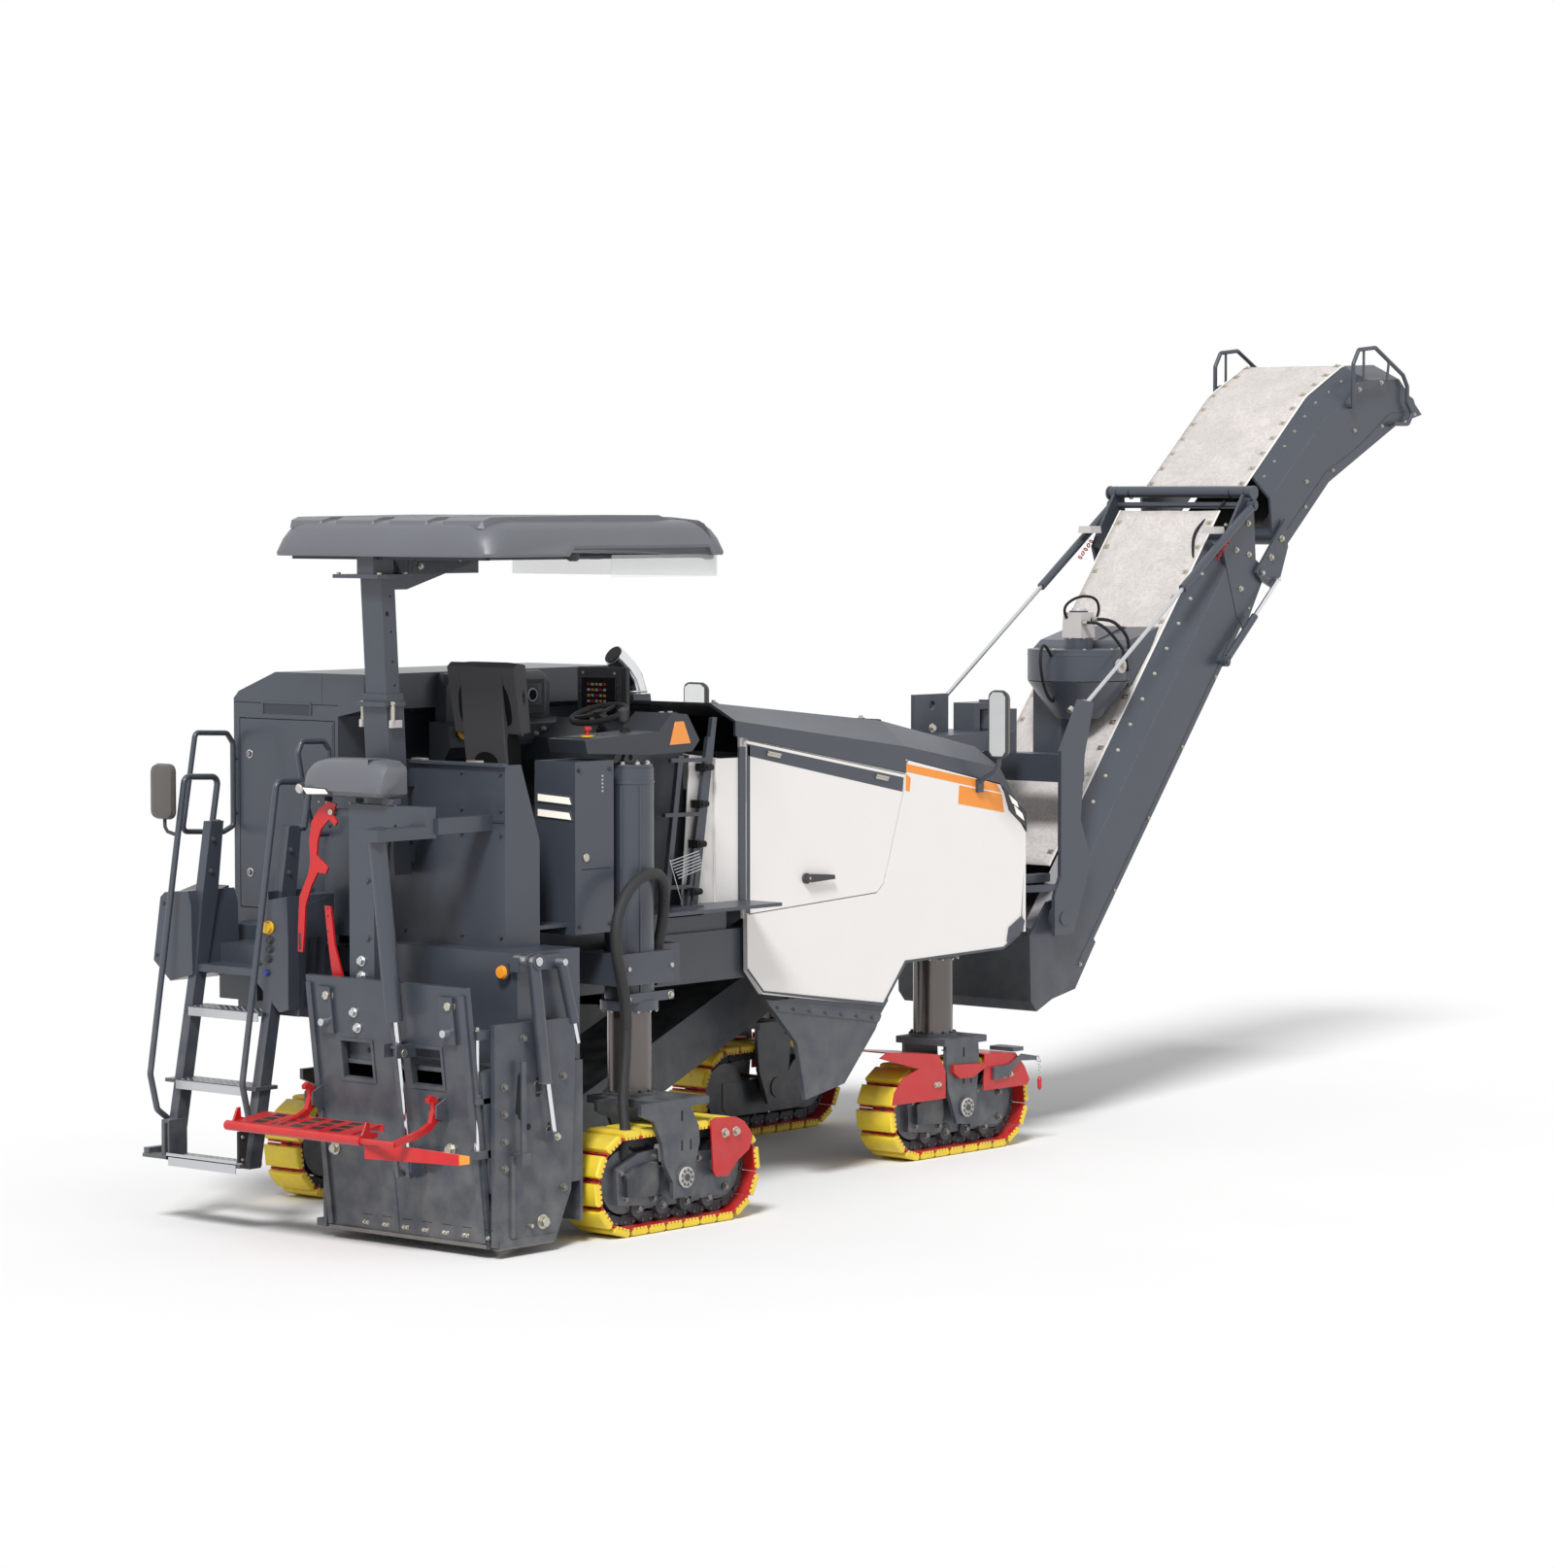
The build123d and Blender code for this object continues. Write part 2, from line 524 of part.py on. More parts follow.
SLEEVE_WALL = 12
SLEEVE_GAP = 0.3
SLEEVE_LOW = 1900
SLEEVE_HIGH = 2850
with BuildPart() as canopy_sleeve:
    post_run(SLEEVE_LOW, SLEEVE_HIGH, POST_DEPTH + 2 * (SLEEVE_WALL + SLEEVE_GAP),
             POST_BREADTH + 2 * (SLEEVE_WALL + SLEEVE_GAP))
    for z in (1960, 2360):
        block(POST_X, PLATFORM_REAR - SEAT_GAP, POST_Y - 60, POST_Y + 60, z, z + 90)
    post_run(SLEEVE_LOW + 20, SLEEVE_HIGH + 1, POST_DEPTH + 2 * SLEEVE_GAP, POST_BREADTH + 2 * SLEEVE_GAP,
             Mode.SUBTRACT)
keep("canopy_sleeve", canopy_sleeve.part)

with BuildPart() as canopy_post:
    post_run(2300, 3460, POST_DEPTH, POST_BREADTH)
    block(lean(3460) - 130, lean(3460) + 130, POST_Y - 130, POST_Y + 200, 3455, 3475)
    block(lean(3460) - 90, lean(3460) + 700, POST_Y - 60, POST_Y + 60, 3475, ROOF_RIM + 20)
keep("canopy_post", canopy_post.part)

with BuildPart() as canopy_roof:
    with BuildSketch(Plane.XY.offset(ROOF_RIM)):
        with Locations(((ROOF_REAR + ROOF_FRONT) / 2, (ROOF_RIGHT + ROOF_LEFT) / 2)):
            RectangleRounded(ROOF_FRONT - ROOF_REAR, ROOF_LEFT - ROOF_RIGHT, 120)
    extrude(amount=ROOF_TOP - ROOF_RIM, taper=32)
    block(lean(3460) - 95, lean(3460) + 705, POST_Y - 65, POST_Y + 65, 3400, ROOF_RIM + 20 + SEAT_GAP, Mode.SUBTRACT)
keep("canopy_roof", canopy_roof.part)

with BuildPart() as canopy_visor:
    block(ROOF_FRONT - 900, ROOF_FRONT - 60, ROOF_RIGHT + 60, ROOF_RIGHT + 66, ROOF_RIM - 120, ROOF_RIM - SEAT_GAP)
    block(ROOF_FRONT - 66, ROOF_FRONT - 60, ROOF_RIGHT + 60, ROOF_LEFT - 60, ROOF_RIM - 120, ROOF_RIM - SEAT_GAP)
keep("canopy_visor", canopy_visor.part)


# ---------------------------------------------------------------- milling drum and housing
TOOL_ROWS = 6
TOOLS_IN_ROW = 12
PICK_LENGTH = 64
DRUM_LOW = DRUM_Y - MILLING_WIDTH / 2
DRUM_HIGH = DRUM_Y + MILLING_WIDTH / 2

with BuildPart() as drum:
    cross_bar(DRUM_X, DRUM_Z, DRUM_LOW, DRUM_HIGH, DRUM_RADIUS)
    cross_bar(DRUM_X, DRUM_Z, DRUM_LOW + 25, DRUM_HIGH - 25, DRUM_RADIUS - 30, Mode.SUBTRACT)
    cross_bar(DRUM_X, DRUM_Z, DRUM_LOW - 60, DRUM_HIGH + 60, 90)
    for row in range(TOOL_ROWS):
        for place in range(TOOLS_IN_ROW):
            share = place / (TOOLS_IN_ROW - 1)
            turn = 360 * (row / TOOL_ROWS + abs(share - 0.6) * 0.7)
            station = Plane(
                origin=(DRUM_X, DRUM_LOW + 25 + share * (MILLING_WIDTH - 50), DRUM_Z),
                x_dir=(cos(radians(turn)), 0, sin(radians(turn))),
                z_dir=(0, 1, 0),
            )
            with Locations(station.location):
                with Locations((DRUM_RADIUS + 18, 0, 0)):
                    Box(56, 66, 36)
            pick = Plane(station.location * Location((DRUM_RADIUS + 46, 26, 0), (-60, 0, 0)))
            with BuildSketch(pick.offset(-PICK_LENGTH / 2)) as pick_foot:
                RegularPolygon(15, 6)
            extrude(pick_foot.sketch, amount=PICK_LENGTH, taper=9)
keep("milling_drum", drum.part)


def scraper_x(z):
    """x of the scraper's front face at a height."""
    return SCRAPER_X - (z - SKID_Z) * sin(radians(SCRAPER_LEAN)) / cos(radians(SCRAPER_LEAN))


SCRAPER_X = HOUSING_REAR - 8
with BuildPart() as housing:
    top_rear = scraper_x(HOUSING_TOP) + 8
    low_rear = scraper_x(330) + 8
    for low in (HOUSING_RIGHT, HOUSING_LEFT - HOUSING_WALL):
        slab([(HOUSING_FRONT, 330), (HOUSING_FRONT, HOUSING_TOP), (top_rear, HOUSING_TOP), (low_rear, 330)],
             low, low + HOUSING_WALL)
    block(top_rear, HOUSING_FRONT, HOUSING_RIGHT, HOUSING_LEFT, HOUSING_TOP - 20, HOUSING_TOP)
    block(HOUSING_FRONT - 20, HOUSING_FRONT, HOUSING_RIGHT, HOUSING_LEFT, 120, HOUSING_TOP)
    block(-620, BEAM_REAR - SEAT_GAP, HOUSING_RIGHT + 40, HOUSING_LEFT - 36, HOUSING_TOP - 5, PANEL_BOTTOM - SEAT_GAP)
    cross_bar(DRUM_X, DRUM_Z, HOUSING_RIGHT + HOUSING_WALL, DRUM_LOW - 60 - SEAT_GAP, 150)
    cross_bar(DRUM_X, DRUM_Z, DRUM_HIGH + 60 + SEAT_GAP, HOUSING_LEFT - HOUSING_WALL, 150)
keep("drum_housing", housing.part)

# the scraper's plane leans back; x runs to the right, y up it and z out of it, to the rear
SCRAPER = Plane(origin=(SCRAPER_X, DRUM_Y, SKID_Z), x_dir=(0, -1, 0),
                z_dir=(-cos(radians(SCRAPER_LEAN)), 0, -sin(radians(SCRAPER_LEAN))))
SCRAPER_HALF = 580
# centre across the plate, centre up the plate
WINDOWS = [(-250, 930), (250, 930)]
CYLINDER_ACROSS = 130
CYLINDER_OUT = SCRAPER_THICK + 85
EYE_UP = 420
BARREL_LOW = 1180
BARREL_HIGH = 2180
GUARD_X = -1002
GUARD_Z = 745
GUARD_ARMS = (-960, -60)


def up_scraper(up):
    """Point of the lifting cylinder's axis, at a distance up the scraper's plane."""
    return SCRAPER.from_local_coords((CYLINDER_ACROSS, up, CYLINDER_OUT))


with BuildPart() as scraper:
    with BuildSketch(SCRAPER):
        with Locations((0, SCRAPER_HEIGHT / 2)):
            Rectangle(2 * SCRAPER_HALF, SCRAPER_HEIGHT)
        with Locations(*WINDOWS):
            Rectangle(210, 190, mode=Mode.SUBTRACT)
    extrude(amount=SCRAPER_THICK)
    for across in (CYLINDER_ACROSS - 40, CYLINDER_ACROSS + 40):
        with Locations(SCRAPER.offset(SCRAPER_THICK).location):
            with Locations((across, EYE_UP, 65)):
                Box(24, 110, 130)
    rod(up_scraper(EYE_UP), up_scraper(BARREL_LOW + 500), 22)
    cross_bar(up_scraper(EYE_UP).X, up_scraper(EYE_UP).Z, DRUM_Y - CYLINDER_ACROSS - 50,
              DRUM_Y - CYLINDER_ACROSS + 50, 34)
    for y in GUARD_ARMS:
        for low in (y - 32, y + 20):
            slab([(scraper_x(820) - 10, 820), (GUARD_X - 26, 780), (GUARD_X - 26, 712), (scraper_x(680) - 10, 680)],
                 low, low + 12)
        cross_bar(GUARD_X, GUARD_Z, y - 32, y + 32, 14)
keep("scraper", scraper.part)

with BuildPart() as lift_barrel:
    rod(up_scraper(BARREL_LOW), up_scraper(BARREL_HIGH), 48)
    rod(up_scraper(BARREL_LOW - 1), up_scraper(BARREL_HIGH - 60), 22 + SEAT_GAP, Mode.SUBTRACT)
keep("lift_barrel", lift_barrel.part)

MAST_REAR = -920
MAST_FRONT = -850
LAMP_BOTTOM = 2290
with BuildPart() as mast:
    block(MAST_REAR, MAST_FRONT, -440, -260, HOUSING_TOP + SEAT_GAP, LAMP_BOTTOM - SEAT_GAP)
    block(MAST_REAR, MAST_FRONT, -820, -440, 2130, LAMP_BOTTOM - SEAT_GAP)
    block(up_scraper(2140).X - 70, MAST_FRONT, -820, -680, 2130, 2190)
    rod(up_scraper(2000), up_scraper(2400), 48 + SEAT_GAP, Mode.SUBTRACT)
    for y in (-800, -400):
        block(MAST_FRONT - 1, PLATFORM_REAR - SEAT_GAP, y - 40, y + 40, 2150, 2230)
keep("mast", mast.part)

with BuildPart() as lamp_head:
    slab([(-1000, 2360), (-985, LAMP_BOTTOM), (-800, LAMP_BOTTOM), (-800, 2500), (-840, 2525), (-950, 2510)],
         -640, 95)
keep("lamp_head", lamp_head.part)

with BuildPart() as plate_right:
    slab([(-869, 57), (-840, SKID_Z), (-420, SKID_Z), (-300, 300), (-276, 788), (-262, 1190), (-869, 1197)],
         -HALF_WIDTH, HOUSING_RIGHT - RUNNING_GAP)
    for x in (-700, -330):
        block(x - 25, x + 25, HOUSING_RIGHT - RUNNING_GAP - 1, HOUSING_RIGHT - SEAT_GAP, 480, 740)
    block(-840, -420, -HALF_WIDTH - 6, HOUSING_RIGHT - RUNNING_GAP, SKID_Z, SKID_Z + 40)
    rod((-700, -HALF_WIDTH - 40, 500), (-700, -HALF_WIDTH - 40, 1000), 16)
    block(-730, -670, -HALF_WIDTH - 60, -HALF_WIDTH, 470, 530)
keep("plate_right", plate_right.part)

with BuildPart() as plate_left:
    slab([(-850, SKID_Z), (-220, SKID_Z), (-190, 90), (-190, 1000), (-560, 1190), (-850, 1190)],
         HOUSING_LEFT + RUNNING_GAP, HOUSING_LEFT + RUNNING_GAP + 24)
    for x in (-700, -330):
        block(x - 25, x + 25, HOUSING_LEFT + SEAT_GAP, HOUSING_LEFT + RUNNING_GAP + 1, 480, 740)
    block(-850, -220, HOUSING_LEFT + RUNNING_GAP, HOUSING_LEFT + 80, SKID_Z, SKID_Z + 40)
keep("plate_left", plate_left.part)

with BuildPart() as guard:
    block(-1310, -1060, -560, 240, 590, 604)
    cross_bar(-1310, 600, -740, 260, 24)
    for y in GUARD_ARMS:
        slab([(GUARD_X - 30, GUARD_Z + 30), (GUARD_X + 34, GUARD_Z + 30), (GUARD_X + 34, GUARD_Z - 36),
              (-1240, 575), (-1320, 585), (-1320, 612)], y - 12, y + 12)
        cross_bar(GUARD_X, GUARD_Z, y - 13, y + 13, 14 + SEAT_GAP, Mode.SUBTRACT)
    slab([(-1320, 585), (-1280, 578), (-1270, 610), (-1320, 612)], -960, -730)
keep("guard", guard.part)


# ---------------------------------------------------------------- ladder, mirrors, exhaust
LADDER_Y = (345, 945)
STRINGER = [(-1100, 345), (-1015, 345), (-840, 1310), (-750, 1750), (-705, 2140), (-795, 2140), (-860, 1750),
            (-915, 1310)]
# x, z, y low, y high of the steps
STEPS = [(-1060, 370, 345, 1100), (-985, 775, 300, 1000), (-890, 1160, 345, 945)]
# y low, y high, bottom z of the boxes beside the ladder
STEP_BOXES = [(190, 466, 1140), (1000, 1240, 1310)]
# x, z along the tall handrails, and y of each with the y of its stringer
HANDRAIL = [(-1038, 549), (-1123, 610), (-1171, 804), (-909, 2382), (-664, 2371), (-708, 2128)]
HANDRAIL_Y = [(1000, 945), (290, 345)]
HANDRAIL_RADIUS = 17
LOOP_LEFT = [(-336, 2300), (-336, 2535), (-380, 2590), (-614, 2600), (-712, 2067), (-410, 2050), (-336, 2080), (-336, 2301)]
LOOP_LEFT_Y = 1232
LOOP_RIGHT = [(-450, 2080), (-550, 2080), (-620, 2300), (-667, 2520), (-638, 2580), (-477, 2576), (-438, 2530), (-438, 2490)]
LOOP_RIGHT_Y = 380
LEVER_X = -922
# corners (y, z) of the crank and of the bar that it moves
LEVER_PLATE = [(-109, 2285), (-35, 2214), (9, 2140), (24, 1994), (45, 1869), (92, 1784), (83, 1619), (122, 1596),
               (122, 1502), (62, 1500), (54, 1600), (62, 1785), (9, 1861), (-94, 1917), (-123, 1970), (-79, 1975),
               (-65, 2019), (-73, 2143), (-123, 2207), (-191, 2256), (-182, 2285)]
LEVER_BAR = [(70, 1560), (70, 1500), (-90, 1480), (-137, 1320), (-219, 1321), (-122, 1505), (-99, 1560)]
with BuildPart() as ladder:
    for y in LADDER_Y:
        slab(STRINGER, y - 30, y + 30)
    for y, stringer_y in HANDRAIL_Y:
        bent_tube([(x, y, z) for x, z in HANDRAIL], 40, HANDRAIL_RADIUS)
        for x, z in (HANDRAIL[0], HANDRAIL[-1]):
            cross_bar(x, z, *between(y, stringer_y), HANDRAIL_RADIUS)
    bent_tube([(x, LOOP_LEFT_Y, z) for x, z in LOOP_LEFT], 30, 15)
    for z in (2150, 2450):
        rod((-336, LOOP_LEFT_Y, z), (CABINET_REAR - SEAT_GAP, LOOP_LEFT_Y, z), 10)
    (first_x, first_z), (last_x, last_z) = LOOP_RIGHT[0], LOOP_RIGHT[-1]
    ends = [(PLATFORM_REAR - SEAT_GAP, first_z)] + LOOP_RIGHT[1:-1] + [(last_x, RAIL_TOP + SEAT_GAP)]
    bent_tube([(x, LOOP_RIGHT_Y, z) for x, z in ends], 24, 15)
    block(-720, CABINET_REAR - SEAT_GAP, LADDER_Y[0] - 30, 1010, 1340, 1480)
    block(-900, -700, LADDER_Y[0], LADDER_Y[1], 1340, 1380)
    block(-500, CABINET_REAR - SEAT_GAP, 880, 1175, 1150, 1560)
    for low, high, bottom in STEP_BOXES:
        slab([(-850, bottom), (-590, bottom), (-590, 1780), (-850, 1715)], low, high)
    for x, z, low, high in STEPS:
        block(x - 80, x + 80, low, high, z - 20, z)
    for low, high in ((900, 960), (1060, 1100)):
        block(-1130, -1000, low, high, 350, 560) if low == 900 else block(-1130, -1000, low, high, 360, 400)
keep("ladder", ladder.part)

with BuildPart() as levers:
    with BuildSketch(Plane.YZ.offset(LEVER_X)):
        with BuildLine():
            Polyline(*LEVER_PLATE, close=True)
        make_face()
        with BuildLine():
            Polyline(*LEVER_BAR, close=True)
        make_face()
    extrude(amount=12)
    block(LEVER_X, MAST_REAR + 20, -260 + SEAT_GAP, -150, 2225, LAMP_BOTTOM - SEAT_GAP)
keep("levers", levers.part)

with BuildPart() as mirrors:
    for x, y, z, tall in [(-1000, 1069, 2307, 300), (3900, -760, 2500, 360), (3700, 1330, 2560, 300)]:
        with Locations((x, y, z)):
            Box(50, 170, tall)
    rod((-1000, 1000, 2300), (-941.6, 1000, 2300), 9)
    for x, y, low, z, side in [(3925, -770, BODY_RIGHT - SEAT_GAP, 2270, 2500), (3725, 1340, BODY_LEFT + SEAT_GAP, 2305, 2500)]:
        rod((x, y, z), (x, low, z), 12)
        rod((x, y, z - 12), (x, y, side), 12)
keep("mirrors", mirrors.part)

with BuildPart() as exhaust:
    rod((1800, 200, 2760), (1800, 200, 2900), 60)
    rod((1800, 200, 2870), (1690, 200, 3010), 56)
    slab([(1720, hood_top(1720) + SEAT_GAP), (1880, hood_top(1880) + SEAT_GAP), (1880, 2770), (1720, 2770)], 130, 270)
keep("exhaust", exhaust.part)


# ---------------------------------------------------------------- primary conveyor
PRIMARY_FOOT = Vector(-60, -300, 262)
PRIMARY_HEAD = Vector(4900, CONVEYOR_Y, 1960)
PRIMARY_HALF = 262
PRIMARY_DEPTH = 300
PRIMARY_WALL = 20
PRIMARY_BELT = (150, 130)  # from the foot and from the head to the belt's ends
PRIMARY_PULLEY = 44
with BuildPart() as primary:
    run = PRIMARY_HEAD - PRIMARY_FOOT
    across = Plane(origin=PRIMARY_FOOT, x_dir=Vector(0, 0, 1).cross(run), z_dir=run)
    with BuildSketch(across):
        Rectangle(2 * PRIMARY_HALF, PRIMARY_DEPTH)
    extrude(amount=run.length)
    block(HOUSING_FRONT + SEAT_GAP, 60, -300 - PRIMARY_HALF, -300 + PRIMARY_HALF, 150, 440)
    for low, high in ((-106, -75), (400, 432)):
        block(4090, 4150, low, high, BEAM_TOP + SEAT_GAP, 1640)
    with BuildSketch(across.offset(-40)):
        with Locations((0, -20)):
            Rectangle(2 * (PRIMARY_HALF - PRIMARY_WALL), PRIMARY_DEPTH - PRIMARY_WALL)
    extrude(amount=run.length + 80, mode=Mode.SUBTRACT)
    for place in (PRIMARY_BELT[0] - PRIMARY_PULLEY - SEAT_GAP, run.length - PRIMARY_BELT[1] + PRIMARY_PULLEY + SEAT_GAP):
        rod(*(across.from_local_coords((side * (PRIMARY_HALF - 2), -90, place)) for side in (-1, 1)), PRIMARY_PULLEY)
keep("primary_conveyor", primary.part)

with BuildPart() as primary_belt:
    with BuildSketch(across.offset(PRIMARY_BELT[0])):
        with Locations((0, -90)):
            Rectangle(400, 90)
    extrude(amount=run.length - sum(PRIMARY_BELT))
keep("primary_belt", primary_belt.part)


# ---------------------------------------------------------------- slewing head and frame
RING_Z = 1520
RING_IN = 400
RING_OUT = 480
LUG_LOW = 2450
LUG_HIGH = 2570
HEAD_REAR = 4040
LIFTING_HOLE = 30
HEAD_POSTS = [(-180, -120), (620, 680)]
# plan (x, y from the conveyor's plane) of a beam from the chassis to the ring, inside the arms' swing
HEAD_BEAM = [(BEAM_FRONT + SEAT_GAP, 360), (4200, 360), (4430, 260), (4720, 260), (4720, 320), (4430, 320),
             (4200, 420), (BEAM_FRONT + SEAT_GAP, 420)]
with BuildPart() as head:
    block(HEAD_REAR, SLEW_X - 60, CONVEYOR_Y - 300, CONVEYOR_Y + 300, LUG_LOW - RUNNING_GAP - 110,
          LUG_LOW - RUNNING_GAP)
    for low in (LUG_LOW - RUNNING_GAP - 40, LUG_HIGH + RUNNING_GAP):
        block(SLEW_X - 200, SLEW_X, CONVEYOR_Y - 80, CONVEYOR_Y + 80, low, low + 40)
        rod((SLEW_X, CONVEYOR_Y, low), (SLEW_X, CONVEYOR_Y, low + 40), 80)
    block(SLEW_X - 200, SLEW_X - 140, CONVEYOR_Y - 80, CONVEYOR_Y + 80, LUG_LOW - 50, LUG_HIGH + 40)
    rod((SLEW_X, CONVEYOR_Y, LUG_LOW - 40), (SLEW_X, CONVEYOR_Y, LUG_HIGH + 60), 30)
    block(4390, 4720, CONVEYOR_Y - 15, CONVEYOR_Y + 15, LUG_LOW - RUNNING_GAP - 10, 2680)
    cross_bar(4560, 2610, CONVEYOR_Y - 16, CONVEYOR_Y + 16, LIFTING_HOLE, Mode.SUBTRACT)
    block(HEAD_REAR, HEAD_REAR + 120, HEAD_POSTS[0][0], HEAD_POSTS[1][1], LUG_LOW - 116, LUG_LOW - RUNNING_GAP)
    for low, high in HEAD_POSTS:
        block(HEAD_REAR, HEAD_REAR + 120, low, high, BEAM_TOP + SEAT_GAP, LUG_LOW - RUNNING_GAP)
    for side in (-1, 1):
        with BuildSketch(Plane.XY.offset(RING_Z - 120)) as beam_plan:
            with BuildLine():
                Polyline(*[(x, CONVEYOR_Y + side * y) for x, y in HEAD_BEAM], close=True)
            make_face()
        extrude(beam_plan.sketch, amount=170)
    for low, high in both_sides(360, 420):
        block(HEAD_REAR, BEAM_FRONT + 20, low, high, BEAM_TOP + SEAT_GAP, RING_Z + 50)
    rod((SLEW_X, CONVEYOR_Y, RING_Z - 130), (SLEW_X, CONVEYOR_Y, RING_Z), RING_OUT + 170, Mode.SUBTRACT)
    rod((SLEW_X, CONVEYOR_Y, RING_Z), (SLEW_X, CONVEYOR_Y, RING_Z + 50), RING_OUT)
    rod((SLEW_X, CONVEYOR_Y, RING_Z - 1), (SLEW_X, CONVEYOR_Y, RING_Z + 51), RING_IN, Mode.SUBTRACT)
    block(SLEW_X + 60, SLEW_X + 600, CONVEYOR_Y - 600, CONVEYOR_Y + 600, RING_Z - 1, RING_Z + 51, Mode.SUBTRACT)
keep("slew_head", head.part)

ARM_IN = 578
ARM_OUT = 604
ARM = [(SLEW_X, 2330), (5280, 2640), (5420, 2620), (5330, 2300), (5290, 1900), (5400, 1640), (5220, 1200),
       (5030, 1200), (5030, 1440), (SLEW_X, 1560)]
ANCHOR_X = 5360
ANCHOR_Z = 2585
STAY_OUT = 560
with BuildPart() as slew_frame:
    for low, high in both_sides(ARM_IN, ARM_OUT):
        slab(ARM, low, high)
    block(SLEW_X + 110, SLEW_X + 270, CONVEYOR_Y - ARM_IN, CONVEYOR_Y + ARM_IN, 2130, 2300)
    block(SLEW_X + 120, SLEW_X + 220, CONVEYOR_Y - 90, CONVEYOR_Y + 90, 2300, LUG_HIGH)
    block(SLEW_X, SLEW_X + 220, CONVEYOR_Y - 75, CONVEYOR_Y + 75, LUG_LOW, LUG_HIGH)
    rod((SLEW_X, CONVEYOR_Y, LUG_LOW), (SLEW_X, CONVEYOR_Y, LUG_HIGH), 75)
    rod((SLEW_X, CONVEYOR_Y, LUG_LOW - 1), (SLEW_X, CONVEYOR_Y, LUG_HIGH + 1), 30 + SEAT_GAP, Mode.SUBTRACT)
    rod((SLEW_X, CONVEYOR_Y, RING_Z - RUNNING_GAP - 40), (SLEW_X, CONVEYOR_Y, RING_Z - RUNNING_GAP), ARM_OUT - 10)
    rod((SLEW_X, CONVEYOR_Y, RING_Z - RUNNING_GAP - 41), (SLEW_X, CONVEYOR_Y, RING_Z - RUNNING_GAP + 1), 540,
        Mode.SUBTRACT)
    block(SLEW_X + 10, SLEW_X + 700, CONVEYOR_Y - ARM_IN + 2, CONVEYOR_Y + ARM_IN - 2, RING_Z - RUNNING_GAP - 41,
          RING_Z - RUNNING_GAP + 1, Mode.SUBTRACT)
    for low, high in both_sides(ARM_IN - 24, ARM_IN + 1):
        cross_bar(LIFT_X, LIFT_Z, low, high, 90)
    for low, high in both_sides(496, ARM_OUT + 8):
        cross_bar(LIFT_X, LIFT_Z, low, high, 40)
    for low, high in both_sides(STAY_OUT - 18, ARM_IN + 1):
        cross_bar(ANCHOR_X, ANCHOR_Z, low, high, 8)
keep("slew_frame", slew_frame.part)


# ---------------------------------------------------------------- discharge conveyor
WALL = 16
SHOULDER_DROP = 150
FOLD_PIN = 25
BAR_X = 7180
BAR_Z = 3830
# top x, top z, bottom x, bottom z of the trough's sections
LOWER_TROUGH = [(4913, 1197, 5314, 866), (6904, 3612, 7305, 3281)]
UPPER_TROUGH = [(7415, 4024, 7492, 3456), (8019, 4539, 8111, 3982), (8454, 4753, 8925, 4369),
                (8828, 4768, 9224, 4439)]


# the belts' stations, and the heights of their lower and upper faces over the trough's underside
LOWER_BELT = [(5180, 1312, 5480, 1064), (6801, 3488, 7202, 3157)]
UPPER_BELT = [(7536, 4127, 7616, 3561), (8019, 4539, 8111, 3982), (8454, 4753, 8925, 4369), (8686, 4762, 9110, 4412)]
BELT_NEAR = 20
BELT_FAR = 130
PULLEY = 54


def run_end(stations, number, outward):
    """Axis (x, z) of the pulley at one end of a belt's run."""
    top_x, top_z, bottom_x, bottom_z = stations[number]
    depth = hypot(top_x - bottom_x, top_z - bottom_z)
    up_x, up_z = (top_x - bottom_x) / depth, (top_z - bottom_z) / depth
    rise = (BELT_NEAR + BELT_FAR) / 2
    out = outward * (PULLEY + SEAT_GAP)
    return bottom_x + up_x * rise + up_z * out, bottom_z + up_z * rise - up_x * out


def pulleys(stations):
    """Both end pulleys of a belt, from wall to wall."""
    for number, outward in ((0, -1), (-1, 1)):
        x, z = run_end(stations, number, outward)
        cross_bar(x, z, CONVEYOR_Y - WALL_HALF + 2, CONVEYOR_Y + WALL_HALF - 2, PULLEY)


def trough_section(top_x, top_z, bottom_x, bottom_z, inset):
    """Cross-section of a trough with sloped shoulders; inset leaves the walls and opens the underside."""
    depth = hypot(top_x - bottom_x, top_z - bottom_z)
    up_x, up_z = (top_x - bottom_x) / depth, (top_z - bottom_z) / depth
    half, narrow, floor = WALL_HALF - inset, BELT_HALF - inset / 2, -depth - inset
    with BuildSketch(Plane(origin=(top_x, CONVEYOR_Y, top_z), x_dir=(0, 1, 0), z_dir=(up_z, 0, -up_x))) as section:
        with BuildLine():
            Polyline((-half, floor), (-half, -SHOULDER_DROP - inset / 3), (-narrow, -inset), (narrow, -inset),
                     (half, -SHOULDER_DROP - inset / 3), (half, floor), close=True)
        make_face()
    return section.sketch


def trough(stations, inset=0, mode=Mode.ADD):
    """Trough along its stations, as flat-sided runs."""
    for first, last in zip(stations, stations[1:]):
        loft([trough_section(*first, inset), trough_section(*last, inset)], ruled=True, mode=mode)


def longer(stations, extra):
    """The same stations with both ends moved out along the run."""
    (ax, az, bx, bz), (cx, cz, dx, dz) = stations[0], stations[1]
    (ex, ez, fx, fz), (gx, gz, hx, hz) = stations[-2], stations[-1]
    start = hypot(cx - ax, cz - az) / extra
    end = hypot(gx - ex, gz - ez) / extra
    first = (ax - (cx - ax) / start, az - (cz - az) / start, bx - (cx - ax) / start, bz - (cz - az) / start)
    last = (gx + (gx - ex) / end, gz + (gz - ez) / end, hx + (gx - ex) / end, hz + (gz - ez) / end)
    return [first] + stations[1:-1] + [last]


